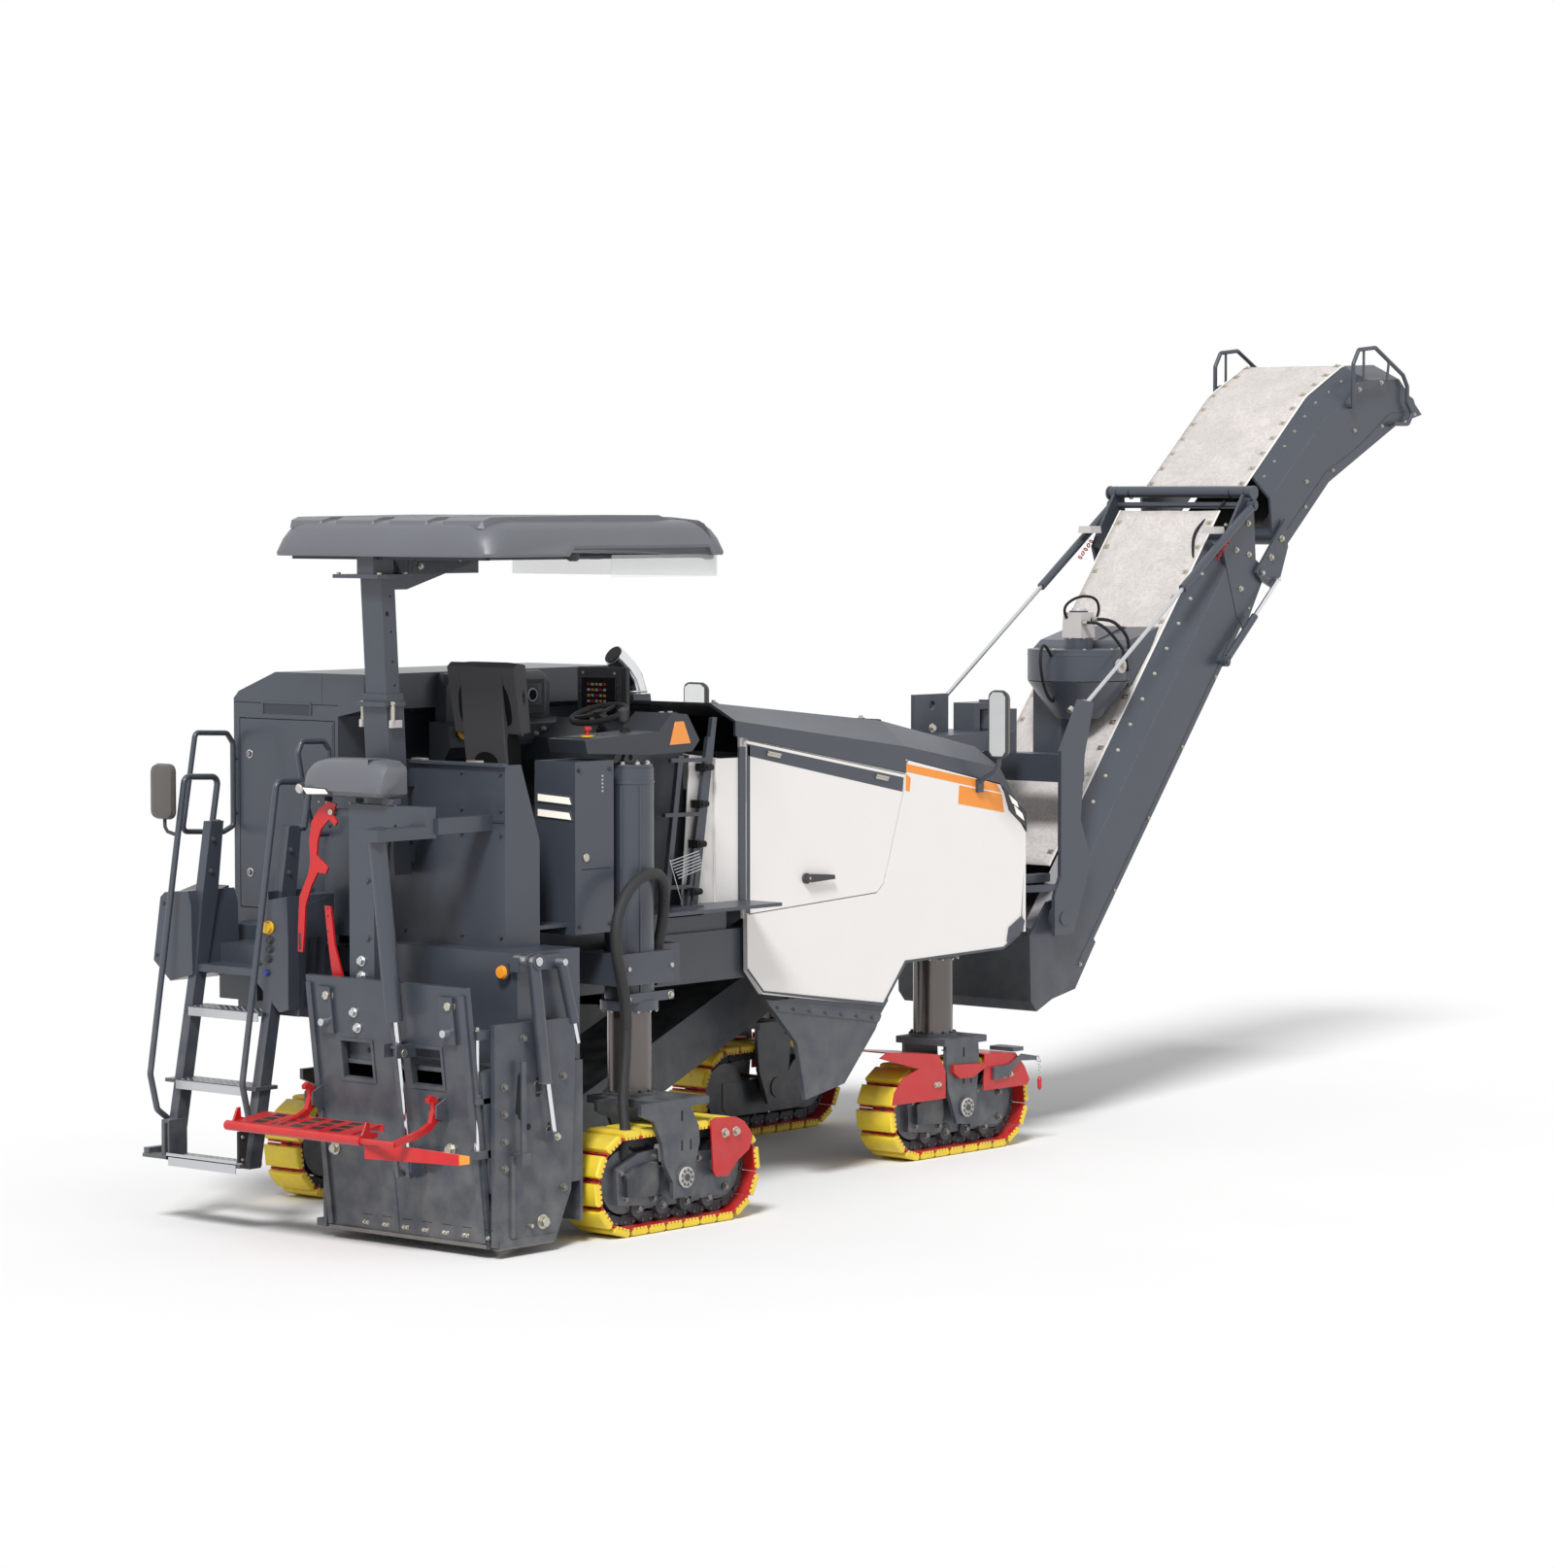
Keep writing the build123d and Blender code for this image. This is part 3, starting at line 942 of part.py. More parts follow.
# corners (x, z) of the hopper at the foot and of the bracket round the fold hinge
FOOT = [(4885, 1206), (4900, 800), (4960, 735), (5115, 800), (5350, 845), (5560, 1120), (5300, 1440), (5060, 1400)]
FOOT_IN = [(4901, 1206), (4916, 810), (4967, 751), (5115, 816), (5345, 861), (5600, 1160), (5400, 1700), (4901, 1700)]
BRACKET = [(7060, 3120), (7150, 3030), (7360, 3360), (7345, 3440), (7270, 3480), (7240, 3900), (7130, 3900),
           (6960, 3660), (6900, 3560)]
FOLD_BASE_X = 6860
FOLD_BASE_Z = 2835
FOLD_EYE_X = 7449
FOLD_EYE_Z = 3350
FOLD_OUT = 578
with BuildPart() as conveyor_lower:
    trough(LOWER_TROUGH)
    slab(FOOT, CONVEYOR_Y - WALL_HALF, CONVEYOR_Y + WALL_HALF)
    trough(longer(LOWER_TROUGH, 60), WALL, Mode.SUBTRACT)
    slab(FOOT_IN, CONVEYOR_Y - WALL_HALF + WALL, CONVEYOR_Y + WALL_HALF - WALL, Mode.SUBTRACT)
    block(4800, 5330, CONVEYOR_Y - 370, CONVEYOR_Y + 370, 1200, 1800, Mode.SUBTRACT)
    for low, high in both_sides(490, WALL_HALF + SEAT_GAP):
        cross_bar(LIFT_X, LIFT_Z, low, high, 40 + SEAT_GAP, Mode.SUBTRACT)
    for low, high in both_sides(WALL_HALF - WALL, WALL_HALF + 4):
        slab(BRACKET, low, high)
    for low, high in both_sides(496, 556):
        cross_bar(FOLD_X, FOLD_Z, low, high, FOLD_PIN)
    for low, high in both_sides(WALL_HALF - 10, 606):
        cross_bar(FOLD_BASE_X, FOLD_BASE_Z, low, high, 18)
    cross_bar(BAR_X, BAR_Z, CONVEYOR_Y - 590, CONVEYOR_Y + 590, 20)
    cross_bar(7174, 3916, CONVEYOR_Y - 565, CONVEYOR_Y + 565, 38)
    pulleys(LOWER_BELT)
keep("conveyor_lower", conveyor_lower.part)

# x, z along the bent tube that guards each side of the conveyor's head
HEAD_GUARD = [(8337, 4480), (8337, 4762), (8399, 4856), (8597, 4874), (8934, 4699), (8987, 4624), (8987, 4519),
              (9050, 4445), (8998, 4373), (8818, 4371)]
HEAD_GUARD_OUT = 556
# corners (x, z) of the lever from the upper trough to the fold hinge
LEVER = [(7240, 3400), (7290, 3452), (7570, 3740), (7600, 3560), (7500, 3330), (7440, 3290), (7300, 3345)]
with BuildPart() as conveyor_upper:
    trough(UPPER_TROUGH)
    trough(longer(UPPER_TROUGH, 60), WALL, Mode.SUBTRACT)
    for low, high in both_sides(530, 550):
        slab(LEVER, low, high)
        cross_bar(FOLD_X, FOLD_Z, low - 1, high + 1, FOLD_PIN + SEAT_GAP, Mode.SUBTRACT)
    for low, high in both_sides(WALL_HALF - WALL, 551):
        slab([(7440, 3560), (7560, 3700), (7580, 3600), (7480, 3470)], low, high)
    pulleys(UPPER_BELT)
    for side in (-1, 1):
        y = CONVEYOR_Y + side * HEAD_GUARD_OUT
        bent_tube([(x, y, z) for x, z in HEAD_GUARD], 30, 14)
        for x, z in (HEAD_GUARD[0], HEAD_GUARD[-1]):
            cross_bar(x, z, *between(y, CONVEYOR_Y + side * (WALL_HALF - WALL)), 14)
        slab([(8330, 4560), (8420, 4590), (8700, 4640), (8700, 4670), (8400, 4640), (8330, 4620)],
             *between(y - 6, y + 6))
keep("conveyor_upper", conveyor_upper.part)


def run_between(stations, near, far):
    """Outline (x, z) between two heights over the underside of a row of stations."""
    rows = []
    for height in (near, far):
        row = []
        for top_x, top_z, bottom_x, bottom_z in stations:
            whole = hypot(top_x - bottom_x, top_z - bottom_z)
            share = (whole - height) / whole
            row.append((top_x + (bottom_x - top_x) * share, top_z + (bottom_z - top_z) * share))
        rows.append(row)
    return rows[0] + rows[1][::-1]


for name, stations in (("belt_lower", LOWER_BELT), ("belt_upper", UPPER_BELT)):
    with BuildPart() as belt:
        slab(run_between(stations, BELT_NEAR, BELT_FAR), CONVEYOR_Y - 330, CONVEYOR_Y + 330)
    keep(name, belt.part)


def along_line(start, end, distance):
    """Point (x, z) on a line at a distance from its start."""
    whole = hypot(end[0] - start[0], end[1] - start[1])
    return (start[0] + (end[0] - start[0]) * distance / whole, start[1] + (end[1] - start[1]) * distance / whole)


def cylinder_pair(barrels, rods, base, eye, out, barrel, rod_from, radii, eyes):
    """Two hydraulic cylinders on both sides of the conveyor, each as barrel and rod."""
    barrel_radius, rod_radius = radii
    base_hole, eye_hole = eyes
    whole = hypot(eye[0] - base[0], eye[1] - base[1])
    bottom, mouth, inner = (along_line(base, eye, d) for d in (30, barrel, rod_from))
    end = along_line(base, eye, whole - eye_hole - 4)
    bore = along_line(base, eye, rod_from - 276)
    beyond = along_line(base, eye, barrel + 1)
    with BuildPart() as barrel_pair:
        for low, high in both_sides(out - 18, out + 18):
            y = (low + high) / 2
            cross_bar(base[0], base[1], low, high, base_hole + 16)
            rod((bottom[0], y, bottom[1]), (mouth[0], y, mouth[1]), barrel_radius)
            rod((bore[0], y, bore[1]), (beyond[0], y, beyond[1]), rod_radius + SEAT_GAP, Mode.SUBTRACT)
            cross_bar(base[0], base[1], low - 1, high + 1, base_hole, Mode.SUBTRACT)
    keep(barrels, barrel_pair.part)
    with BuildPart() as rod_pair:
        for low, high in both_sides(out - 14, out + 14):
            y = (low + high) / 2
            rod((inner[0], y, inner[1]), (end[0], y, end[1]), rod_radius)
            cross_bar(eye[0], eye[1], low, high, eye_hole + 16)
            if eye_hole > 0:
                cross_bar(eye[0], eye[1], low - 1, high + 1, eye_hole, Mode.SUBTRACT)
    keep(rods, rod_pair.part)


cylinder_pair("stay_barrels", "stay_rods", (BAR_X, BAR_Z), (ANCHOR_X, ANCHOR_Z), STAY_OUT, 930, 600, (27, 13),
              (20 + SEAT_GAP, 35))
cylinder_pair("fold_barrels", "fold_rods", (FOLD_BASE_X, FOLD_BASE_Z), (FOLD_EYE_X, FOLD_EYE_Z), FOLD_OUT, 430, 390,
              (24, 15), (18 + SEAT_GAP, 0))

def cover_z(x):
    """Height of the lower conveyor's cover at a place along the machine."""
    (rear_x, rear_z, _, _), (front_x, front_z, _, _) = LOWER_TROUGH
    return rear_z + (front_z - rear_z) * (x - rear_x) / (front_x - rear_x)


FAN_X = 5840
FAN_Y = 80
with BuildPart() as dust_fan:
    rod((FAN_X, FAN_Y, 2735), (FAN_X, FAN_Y, 2930), 320)
    rod((FAN_X, FAN_Y, 2930), (FAN_X, FAN_Y, 3000), 90)
    rod((FAN_X, FAN_Y, 3000), (FAN_X, FAN_Y, 3170), 60)
    slab([(FAN_X - 100, cover_z(FAN_X - 100) + 1), (FAN_X - 100, 2740), (FAN_X + 220, 2740),
          (FAN_X + 220, cover_z(FAN_X + 220) + 1)], CONVEYOR_Y - 110, CONVEYOR_Y + 110)
    slab([(FAN_X + 100, 2860), (FAN_X + 100, 2930), (6400, 3060), (6440, 3052), (6200, cover_z(6200) + 1),
          (6160, 2740)], CONVEYOR_Y - 110, CONVEYOR_Y + 110)
keep("dust_fan", dust_fan.part)


# ---------------------------------------------------------------- whole machine over the origin
boxes = [piece.bounding_box() for piece in pieces.values()]
MIDDLE_X = (min(box.min.X for box in boxes) + max(box.max.X for box in boxes)) / 2
MIDDLE_Y = (min(box.min.Y for box in boxes) + max(box.max.Y for box in boxes)) / 2
for name, piece in pieces.items():
    placed = piece.moved(Location((-MIDDLE_X, -MIDDLE_Y, 0)))
    placed.label = name
    export_step(placed, "parts/" + name + ".step")
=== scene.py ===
"""Looks of a small cold planer: paint, rubber, cloth, glass, hoses and small fittings on the fixed frame.

Metres. The helpers take machine places: x forward from 0.55 m behind the middle of the rear right track, y to
the left from the middle between the tracks, z up from the ground. ORIGIN moves them into the frame's own axes.
"""

from math import cos, hypot, pi, radians, sin, tan

import bmesh
import bpy
from mathutils import Matrix, Vector


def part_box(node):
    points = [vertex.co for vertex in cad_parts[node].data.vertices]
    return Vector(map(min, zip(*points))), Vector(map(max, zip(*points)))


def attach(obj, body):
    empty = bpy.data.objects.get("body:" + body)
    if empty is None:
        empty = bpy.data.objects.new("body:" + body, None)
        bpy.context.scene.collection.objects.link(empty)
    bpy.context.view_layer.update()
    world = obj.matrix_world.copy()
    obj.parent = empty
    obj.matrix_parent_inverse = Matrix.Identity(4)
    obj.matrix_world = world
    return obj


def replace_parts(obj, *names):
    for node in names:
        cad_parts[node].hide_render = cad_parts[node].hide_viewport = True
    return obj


bl_info = {
    "name": "Cold Planer Looks",
    "version": (1, 0, 0),
    "blender": (4, 5, 0),
    "location": "3D View > Sidebar > Planer",
    "description": "Dresses the fixed frame of a small cold planer in its paint, cloth, rubber and fittings",
    "category": "Object",
}

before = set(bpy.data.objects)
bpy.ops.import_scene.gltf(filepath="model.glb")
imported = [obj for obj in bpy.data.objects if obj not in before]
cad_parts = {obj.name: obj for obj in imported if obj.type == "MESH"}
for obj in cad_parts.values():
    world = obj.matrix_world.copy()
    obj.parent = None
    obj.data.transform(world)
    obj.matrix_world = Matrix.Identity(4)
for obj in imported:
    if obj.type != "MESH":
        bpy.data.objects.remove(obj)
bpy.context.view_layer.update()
BELOW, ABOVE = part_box("track_rear_right")
LEFT_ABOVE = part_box("track_rear_left")[1]
ORIGIN = Vector(((BELOW.x + ABOVE.x) / 2 - 0.55, (BELOW.y + LEFT_ABOVE.y) / 2, BELOW.z))
CENTRE = 0.25              # y of the conveyor's plane
BODY_RIGHT = -0.65
BODY_LEFT = 1.25
PLATFORM_REAR = -0.45
CABINET_REAR = -0.31
LEGS = ("rear_right", "rear_left", "front_right", "front_left")

FRONT, BACK = Vector((1, 0, 0)), Vector((-1, 0, 0))
LEFT, RIGHT = Vector((0, 1, 0)), Vector((0, -1, 0))
UP, DOWN = Vector((0, 0, 1)), Vector((0, 0, -1))


# ---------------------------------------------------------------- settings
def colour(label, description, value):
    """Colour setting with its default."""
    return bpy.props.FloatVectorProperty(name=label, description=description, subtype="COLOR", size=3,
                                         min=0, max=1, default=value)


def share_of(label, description, value):
    """Setting between none and all."""
    return bpy.props.FloatProperty(name=label, description=description, subtype="FACTOR", min=0, max=1,
                                   default=value)


def length_of(label, description, least, most, value):
    """Length setting between its limits."""
    return bpy.props.FloatProperty(name=label, description=description, unit="LENGTH", min=least, max=most,
                                   default=value)


class PlanerPaint(bpy.types.PropertyGroup):
    """Colours of the painted and moulded pieces."""

    slate: colour("Slate", "Dark paint of the chassis, platform and conveyor", (0.046, 0.054, 0.07))
    cream: colour("White", "Side panels and doors", (0.8, 0.775, 0.75))
    # Canopy roof and lamp housing are the dark paint: this lighter colour is painted light of the key light
    # that falls on them.
    shell: colour("Roof and lamp, lit dark paint", "Canopy roof and lamp housing", (0.115, 0.122, 0.138))
    signal_red: colour("Red", "Guard, levers and chains", (0.5, 0.006, 0.008))
    pad_yellow: colour("Yellow", "Polyurethane track pads", (0.84, 0.62, 0.03))
    stripe: colour("Stripe", "Orange stripe on the side panels", (0.85, 0.28, 0.03))


class PlanerWearAndHighlight(bpy.types.PropertyGroup):
    """How used the surfaces look, and how strong the lighter edges are, which are partly painted highlight."""

    # Share of the edges in the edge colour: partly scuffed paint, partly a painted highlight along the sharp
    # edges.
    edge: share_of("Edge scuffs and highlight", "Share of the edges where the paint is rubbed", 0.25)
    dust: share_of("Dust", "Dust low on the machine", 0.12)


class PlanerSizes(bpy.types.PropertyGroup):
    """Sizes of the repeated fittings."""

    bolt: length_of("Bolt", "Across the flats of a common bolt head", 0.01, 0.05, 0.024)
    bevel: length_of("Bevel", "Rounding of a plate's edges", 0.001, 0.01, 0.003)


# ---------------------------------------------------------------- shader building
class Tree:
    """Short way to add and join the nodes of one tree."""

    def __init__(self, tree):
        self.tree = tree

    def feed(self, sockets, values):
        """Each named socket takes a value, or the output socket that is linked to it."""
        for key, value in values.items():
            if isinstance(value, bpy.types.NodeSocket):
                self.tree.links.new(value, sockets[key])
            else:
                sockets[key].default_value = value

    def add(self, kind, inputs=None, **settings):
        """One node with its settings and inputs."""
        node = self.tree.nodes.new(kind)
        for key, value in settings.items():
            setattr(node, key, value)
        self.feed(node.inputs, inputs or {})
        return node

    def math(self, operation, first, second=0.0, clamp=False):
        return self.add("ShaderNodeMath", {0: first, 1: second}, operation=operation,
                        use_clamp=clamp).outputs[0]

    def mix(self, share, first, second):
        """Colour between two colours."""
        return self.add("ShaderNodeMix", {0: share, 6: first, 7: second}, data_type="RGBA").outputs[2]

    def span(self, value, low, high, new_low=0.0, new_high=1.0):
        """A value carried from one range to another, and held inside it."""
        return self.add("ShaderNodeMapRange", {0: value, 1: low, 2: high, 3: new_low, 4: new_high}).outputs[0]

    def place(self):
        """Place on the piece, in its own axes."""
        return self.add("ShaderNodeTexCoord").outputs["Object"]

    def noise(self, place, scale, detail, **more):
        """Cloudy value round the middle of its range."""
        return self.add("ShaderNodeTexNoise", {"Vector": place, "Scale": scale, "Detail": detail,
                                               **more}).outputs[0]

    def bump(self, strength, distance, height):
        """Normal that shows a height as relief."""
        return self.add("ShaderNodeBump", {"Strength": strength, "Distance": distance,
                                           "Height": height}).outputs[0]

    def group(self, name, inputs):
        return self.add("ShaderNodeGroup", inputs, node_tree=bpy.data.node_groups[name]).outputs

    def tone(self, base, variation, scale, roughness, spread):
        """Colour and roughness of a surface with its slight unevenness."""
        return self.group("tone", {"Colour": solid(base), "Variation": variation, "Scale": scale,
                                   "Roughness": roughness, "Spread": spread})


def solid(base):
    """Colour with full alpha."""
    return (*tuple(base)[:3], 1.0)


def new_group(name, inputs, outputs):
    """Empty node group with named sockets, and its tree helper, entry and exit."""
    tree = bpy.data.node_groups.new(name, "ShaderNodeTree")
    for label, kind, value in inputs:
        tree.interface.new_socket(label, in_out="INPUT", socket_type="NodeSocket"
                                  + kind).default_value = value
    for label, kind in outputs:
        tree.interface.new_socket(label, in_out="OUTPUT", socket_type="NodeSocket" + kind)
    helper = Tree(tree)
    return helper, helper.add("NodeGroupInput").outputs, helper.add("NodeGroupOutput").inputs


GREY = (0.5, 0.5, 0.5, 1)


def make_tone_group():
    """Slight unevenness of colour and gloss."""
    nodes, given, result = new_group(
        "tone", [("Colour", "Color", GREY), ("Variation", "Float", 0.06), ("Scale", "Float", 3.0),
                 ("Roughness", "Float", 0.4), ("Spread", "Float", 0.08)],
        [("Colour", "Color"), ("Roughness", "Float")])
    place = nodes.place()
    broad = nodes.noise(place, given["Scale"], 3.0)
    fine = nodes.noise(place, nodes.math("MULTIPLY", given["Scale"], 17.0), 4.0)
    both = nodes.math("ADD", nodes.math("MULTIPLY", broad, 0.65), nodes.math("MULTIPLY", fine, 0.35))
    swing = nodes.math("MULTIPLY", nodes.math("SUBTRACT", both, 0.5),
                       nodes.math("MULTIPLY", given["Variation"], 4.0))
    shade = nodes.add("ShaderNodeHueSaturation", {"Value": nodes.math("ADD", swing, 1.0),
                                                  "Color": given["Colour"]})
    uneven = nodes.math("MULTIPLY", nodes.math("SUBTRACT", fine, 0.5),
                        nodes.math("MULTIPLY", given["Spread"], 2.0))
    rough = nodes.math("MAXIMUM", nodes.math("ADD", given["Roughness"], uneven), 0.05)
    nodes.feed(result, {"Colour": shade.outputs[0], "Roughness": rough})


def make_edge_group():
    """Edge colour in patches on the sharp edges: partly scuffed paint, partly a painted highlight, lighter on
    the dark paints.
    """
    nodes, given, result = new_group(
        "scuffed_and_highlit_edges", [("Colour", "Color", GREY), ("Edge colour", "Color", GREY), ("Amount", "Float", 0.3),
                         ("Radius", "Float", 0.006)],
        [("Colour", "Color"), ("Mask", "Float")])
    rounded = nodes.add("ShaderNodeBevel", {"Radius": given["Radius"]}, samples=4).outputs[0]
    flat = nodes.add("ShaderNodeNewGeometry").outputs["Normal"]
    turn = nodes.add("ShaderNodeVectorMath", {0: rounded, 1: flat}, operation="DOT_PRODUCT").outputs["Value"]
    patch = nodes.noise(nodes.place(), 23.0, 5.0)
    # Mask of the sharp edges in patches, where the scuffs and the painted highlight go.
    scuff_and_highlight_share = nodes.math("MULTIPLY", nodes.span(turn, 0.98, 0.8), nodes.span(patch, 0.42, 0.62))
    scuff_and_highlight_share = nodes.math("MULTIPLY", scuff_and_highlight_share, given["Amount"], clamp=True)
    nodes.feed(result, {"Colour": nodes.mix(scuff_and_highlight_share, given["Colour"], given["Edge colour"]), "Mask": scuff_and_highlight_share})


def make_grain_group():
    """Fine grain of a moulded, cast or sprayed face."""
    nodes, given, result = new_group(
        "grain", [("Scale", "Float", 400.0), ("Strength", "Float", 0.1), ("Depth", "Float", 0.0005)],
        [("Normal", "Vector"), ("Height", "Float")])
    speck = nodes.noise(nodes.place(), given["Scale"], 2.0)
    nodes.feed(result, {"Normal": nodes.bump(given["Strength"], given["Depth"], speck), "Height": speck})


def make_dust_group():
    """Road dust that lies low down and on what faces up."""
    nodes, given, result = new_group(
        "road_dust", [("Colour", "Color", GREY), ("Dust colour", "Color", (0.3, 0.28, 0.25, 1)),
                      ("Amount", "Float", 0.1), ("Top", "Float", 1.4)],
        [("Colour", "Color"), ("Mask", "Float")])
    place = nodes.place()
    height = nodes.add("ShaderNodeSeparateXYZ", {0: place}).outputs[2]
    facing = nodes.add("ShaderNodeSeparateXYZ",
                       {0: nodes.add("ShaderNodeNewGeometry").outputs["Normal"]}).outputs[2]
    patch = nodes.noise(place, 9.0, 6.0)
    low = nodes.span(height, given["Top"], 0.0)
    lying = nodes.span(facing, 0.0, 1.0, 0.35, 1.0)
    share = nodes.math("MULTIPLY", nodes.math("MULTIPLY", low, lying), nodes.span(patch, 0.35, 0.75))
    share = nodes.math("MULTIPLY", share, given["Amount"], clamp=True)
    nodes.feed(result, {"Colour": nodes.mix(share, given["Colour"], given["Dust colour"]), "Mask": share})


def new_material(name):
    """Material with an empty tree, its helper and its shader."""
    material = bpy.data.materials.new(name)
    material.use_nodes = True
    material.node_tree.nodes.clear()
    nodes = Tree(material.node_tree)
    shader = nodes.add("ShaderNodeBsdfPrincipled")
    nodes.add("ShaderNodeOutputMaterial", {"Surface": shader.outputs[0]})
    return nodes, shader


def surface(name, base, roughness, metallic=0.0, variation=0.06, scale=3.0, spread=0.06, grain=(420.0, 0.12),
            edge=None, dust=0.0, coat=0.0, sheen=0.0, specular=0.5):
    """Common finish: toned colour, edge colour that is partly scuffed paint and partly painted highlight, dust
    low down and a fine grain (its scale and strength).
    """
    wear = bpy.context.scene.planer_wear
    nodes, shader = new_material(name)
    tone = nodes.tone(base, variation, scale, roughness, spread)
    shown = tone["Colour"]
    # Edge colour: partly scuffed paint, partly painted highlight.
    if edge is not None:
        shown = nodes.group("scuffed_and_highlit_edges", {"Colour": shown, "Edge colour": solid(edge),
                                             "Amount": wear.edge})["Colour"]
    if dust:
        shown = nodes.group("road_dust", {"Colour": shown, "Amount": dust * wear.dust * 8})["Colour"]
    nodes.feed(shader.inputs, {
        "Base Color": shown, "Roughness": tone["Roughness"], "Metallic": metallic, "Coat Weight": coat,
        "Coat Roughness": 0.12, "Sheen Weight": sheen, "Specular IOR Level": specular,
        "Normal": nodes.group("grain", {"Scale": grain[0], "Strength": grain[1]})["Normal"]})
    bpy.data.materials[name].diffuse_color = solid(base)


def tarp_material():
    """Coated conveyor cloth: pale grey with fine darker veins and a canvas weave."""
    nodes, shader = new_material("tarp")
    place = nodes.place()
    bent = nodes.add("ShaderNodeTexNoise", {"Vector": place, "Scale": 2.2, "Detail": 3.0})
    moved = nodes.add("ShaderNodeVectorMath", {0: place, 1: bent.outputs["Color"]},
                      operation="ADD").outputs[0]
    veins = nodes.noise(moved, 11.0, 9.0, Roughness=0.68, Distortion=1.6)
    share = nodes.span(nodes.math("ABSOLUTE", nodes.math("SUBTRACT", veins, 0.5)), 0.0, 0.045, 1.0, 0.0)
    clouds = nodes.noise(place, 5.0, 6.0)
    pale = nodes.mix(nodes.span(clouds, 0.35, 0.65), (0.52, 0.485, 0.47, 1), (0.6, 0.56, 0.545, 1))
    weave = nodes.add("ShaderNodeTexVoronoi", {"Vector": place, "Scale": 260.0}).outputs["Distance"]
    height = nodes.math("ADD", nodes.math("MULTIPLY", weave, 0.5), nodes.math("MULTIPLY", veins, 1.2))
    nodes.feed(shader.inputs, {
        "Base Color": nodes.mix(nodes.math("MULTIPLY", share, 0.55), pale, (0.33, 0.305, 0.295, 1)),
        "Roughness": nodes.span(clouds, 0.3, 0.7, 0.62, 0.8), "Normal": nodes.bump(0.22, 0.002, height),
        "Sheen Weight": 0.1})


def visor_material():
    """Clear moulded sheet, see-through by its alpha, slightly uneven in its gloss."""
    nodes, shader = new_material("visor_sheet")
    tone = nodes.tone((0.86, 0.87, 0.87), 0.03, 2.0, 0.06, 0.05)
    nodes.feed(shader.inputs, {"Base Color": tone["Colour"], "Roughness": tone["Roughness"], "Alpha": 0.28})


def lamp_material():
    """Lamp lens: moulded ribs under a clear front, with a faint glow of its own."""
    nodes, shader = new_material("lamp_white")
    tone = nodes.tone((0.88, 0.83, 0.74), 0.05, 20.0, 0.15, 0.08)
    ribs = nodes.add("ShaderNodeTexWave", {"Vector": nodes.place(), "Scale": 30.0},
                     bands_direction="Z").outputs[1]
    nodes.feed(shader.inputs, {
        "Base Color": tone["Colour"], "Roughness": tone["Roughness"], "Emission Color": tone["Colour"],
        "Emission Strength": 0.35, "Normal": nodes.bump(0.25, 0.001, ribs), "Coat Weight": 0.6})


def sleeve_material():
    """Woven sleeve round a hose: crossed strands in relief."""
    nodes, shader = new_material("sleeve")
    place = nodes.place()
    turned = nodes.add("ShaderNodeMapping", {"Vector": place, "Rotation": (0.0, 1.57, 0.6)}).outputs[0]
    first, second = (nodes.add("ShaderNodeTexWave", {"Vector": seen, "Scale": 60.0},
                               bands_direction="DIAGONAL").outputs[1] for seen in (place, turned))
    strands = nodes.math("MULTIPLY", first, second)
    nodes.feed(shader.inputs, {
        "Base Color": nodes.mix(strands, (0.0132, 0.0132, 0.0144, 1), (0.033, 0.033, 0.036, 1)),
        "Roughness": nodes.span(strands, 0.0, 1.0, 0.75, 0.5), "Normal": nodes.bump(0.5, 0.0015, strands)})


def tread_material():
    """Punched aluminium step: pale metal with rows of raised dimples."""
    nodes, shader = new_material("tread")
    cells = nodes.add("ShaderNodeTexVoronoi", {"Vector": nodes.place(), "Scale": 55.0, "Randomness": 0.0})
    dimple = nodes.span(cells.outputs["Distance"], 0.15, 0.42, 1.0, 0.0)
    tone = nodes.tone((0.5, 0.48, 0.43), 0.1, 8.0, 0.45, 0.12)
    nodes.feed(shader.inputs, {
        "Base Color": nodes.mix(nodes.math("MULTIPLY", dimple, 0.5), tone["Colour"], (0.16, 0.155, 0.14, 1)),
        "Roughness": tone["Roughness"], "Normal": nodes.bump(0.6, 0.002, dimple), "Metallic": 0.6})


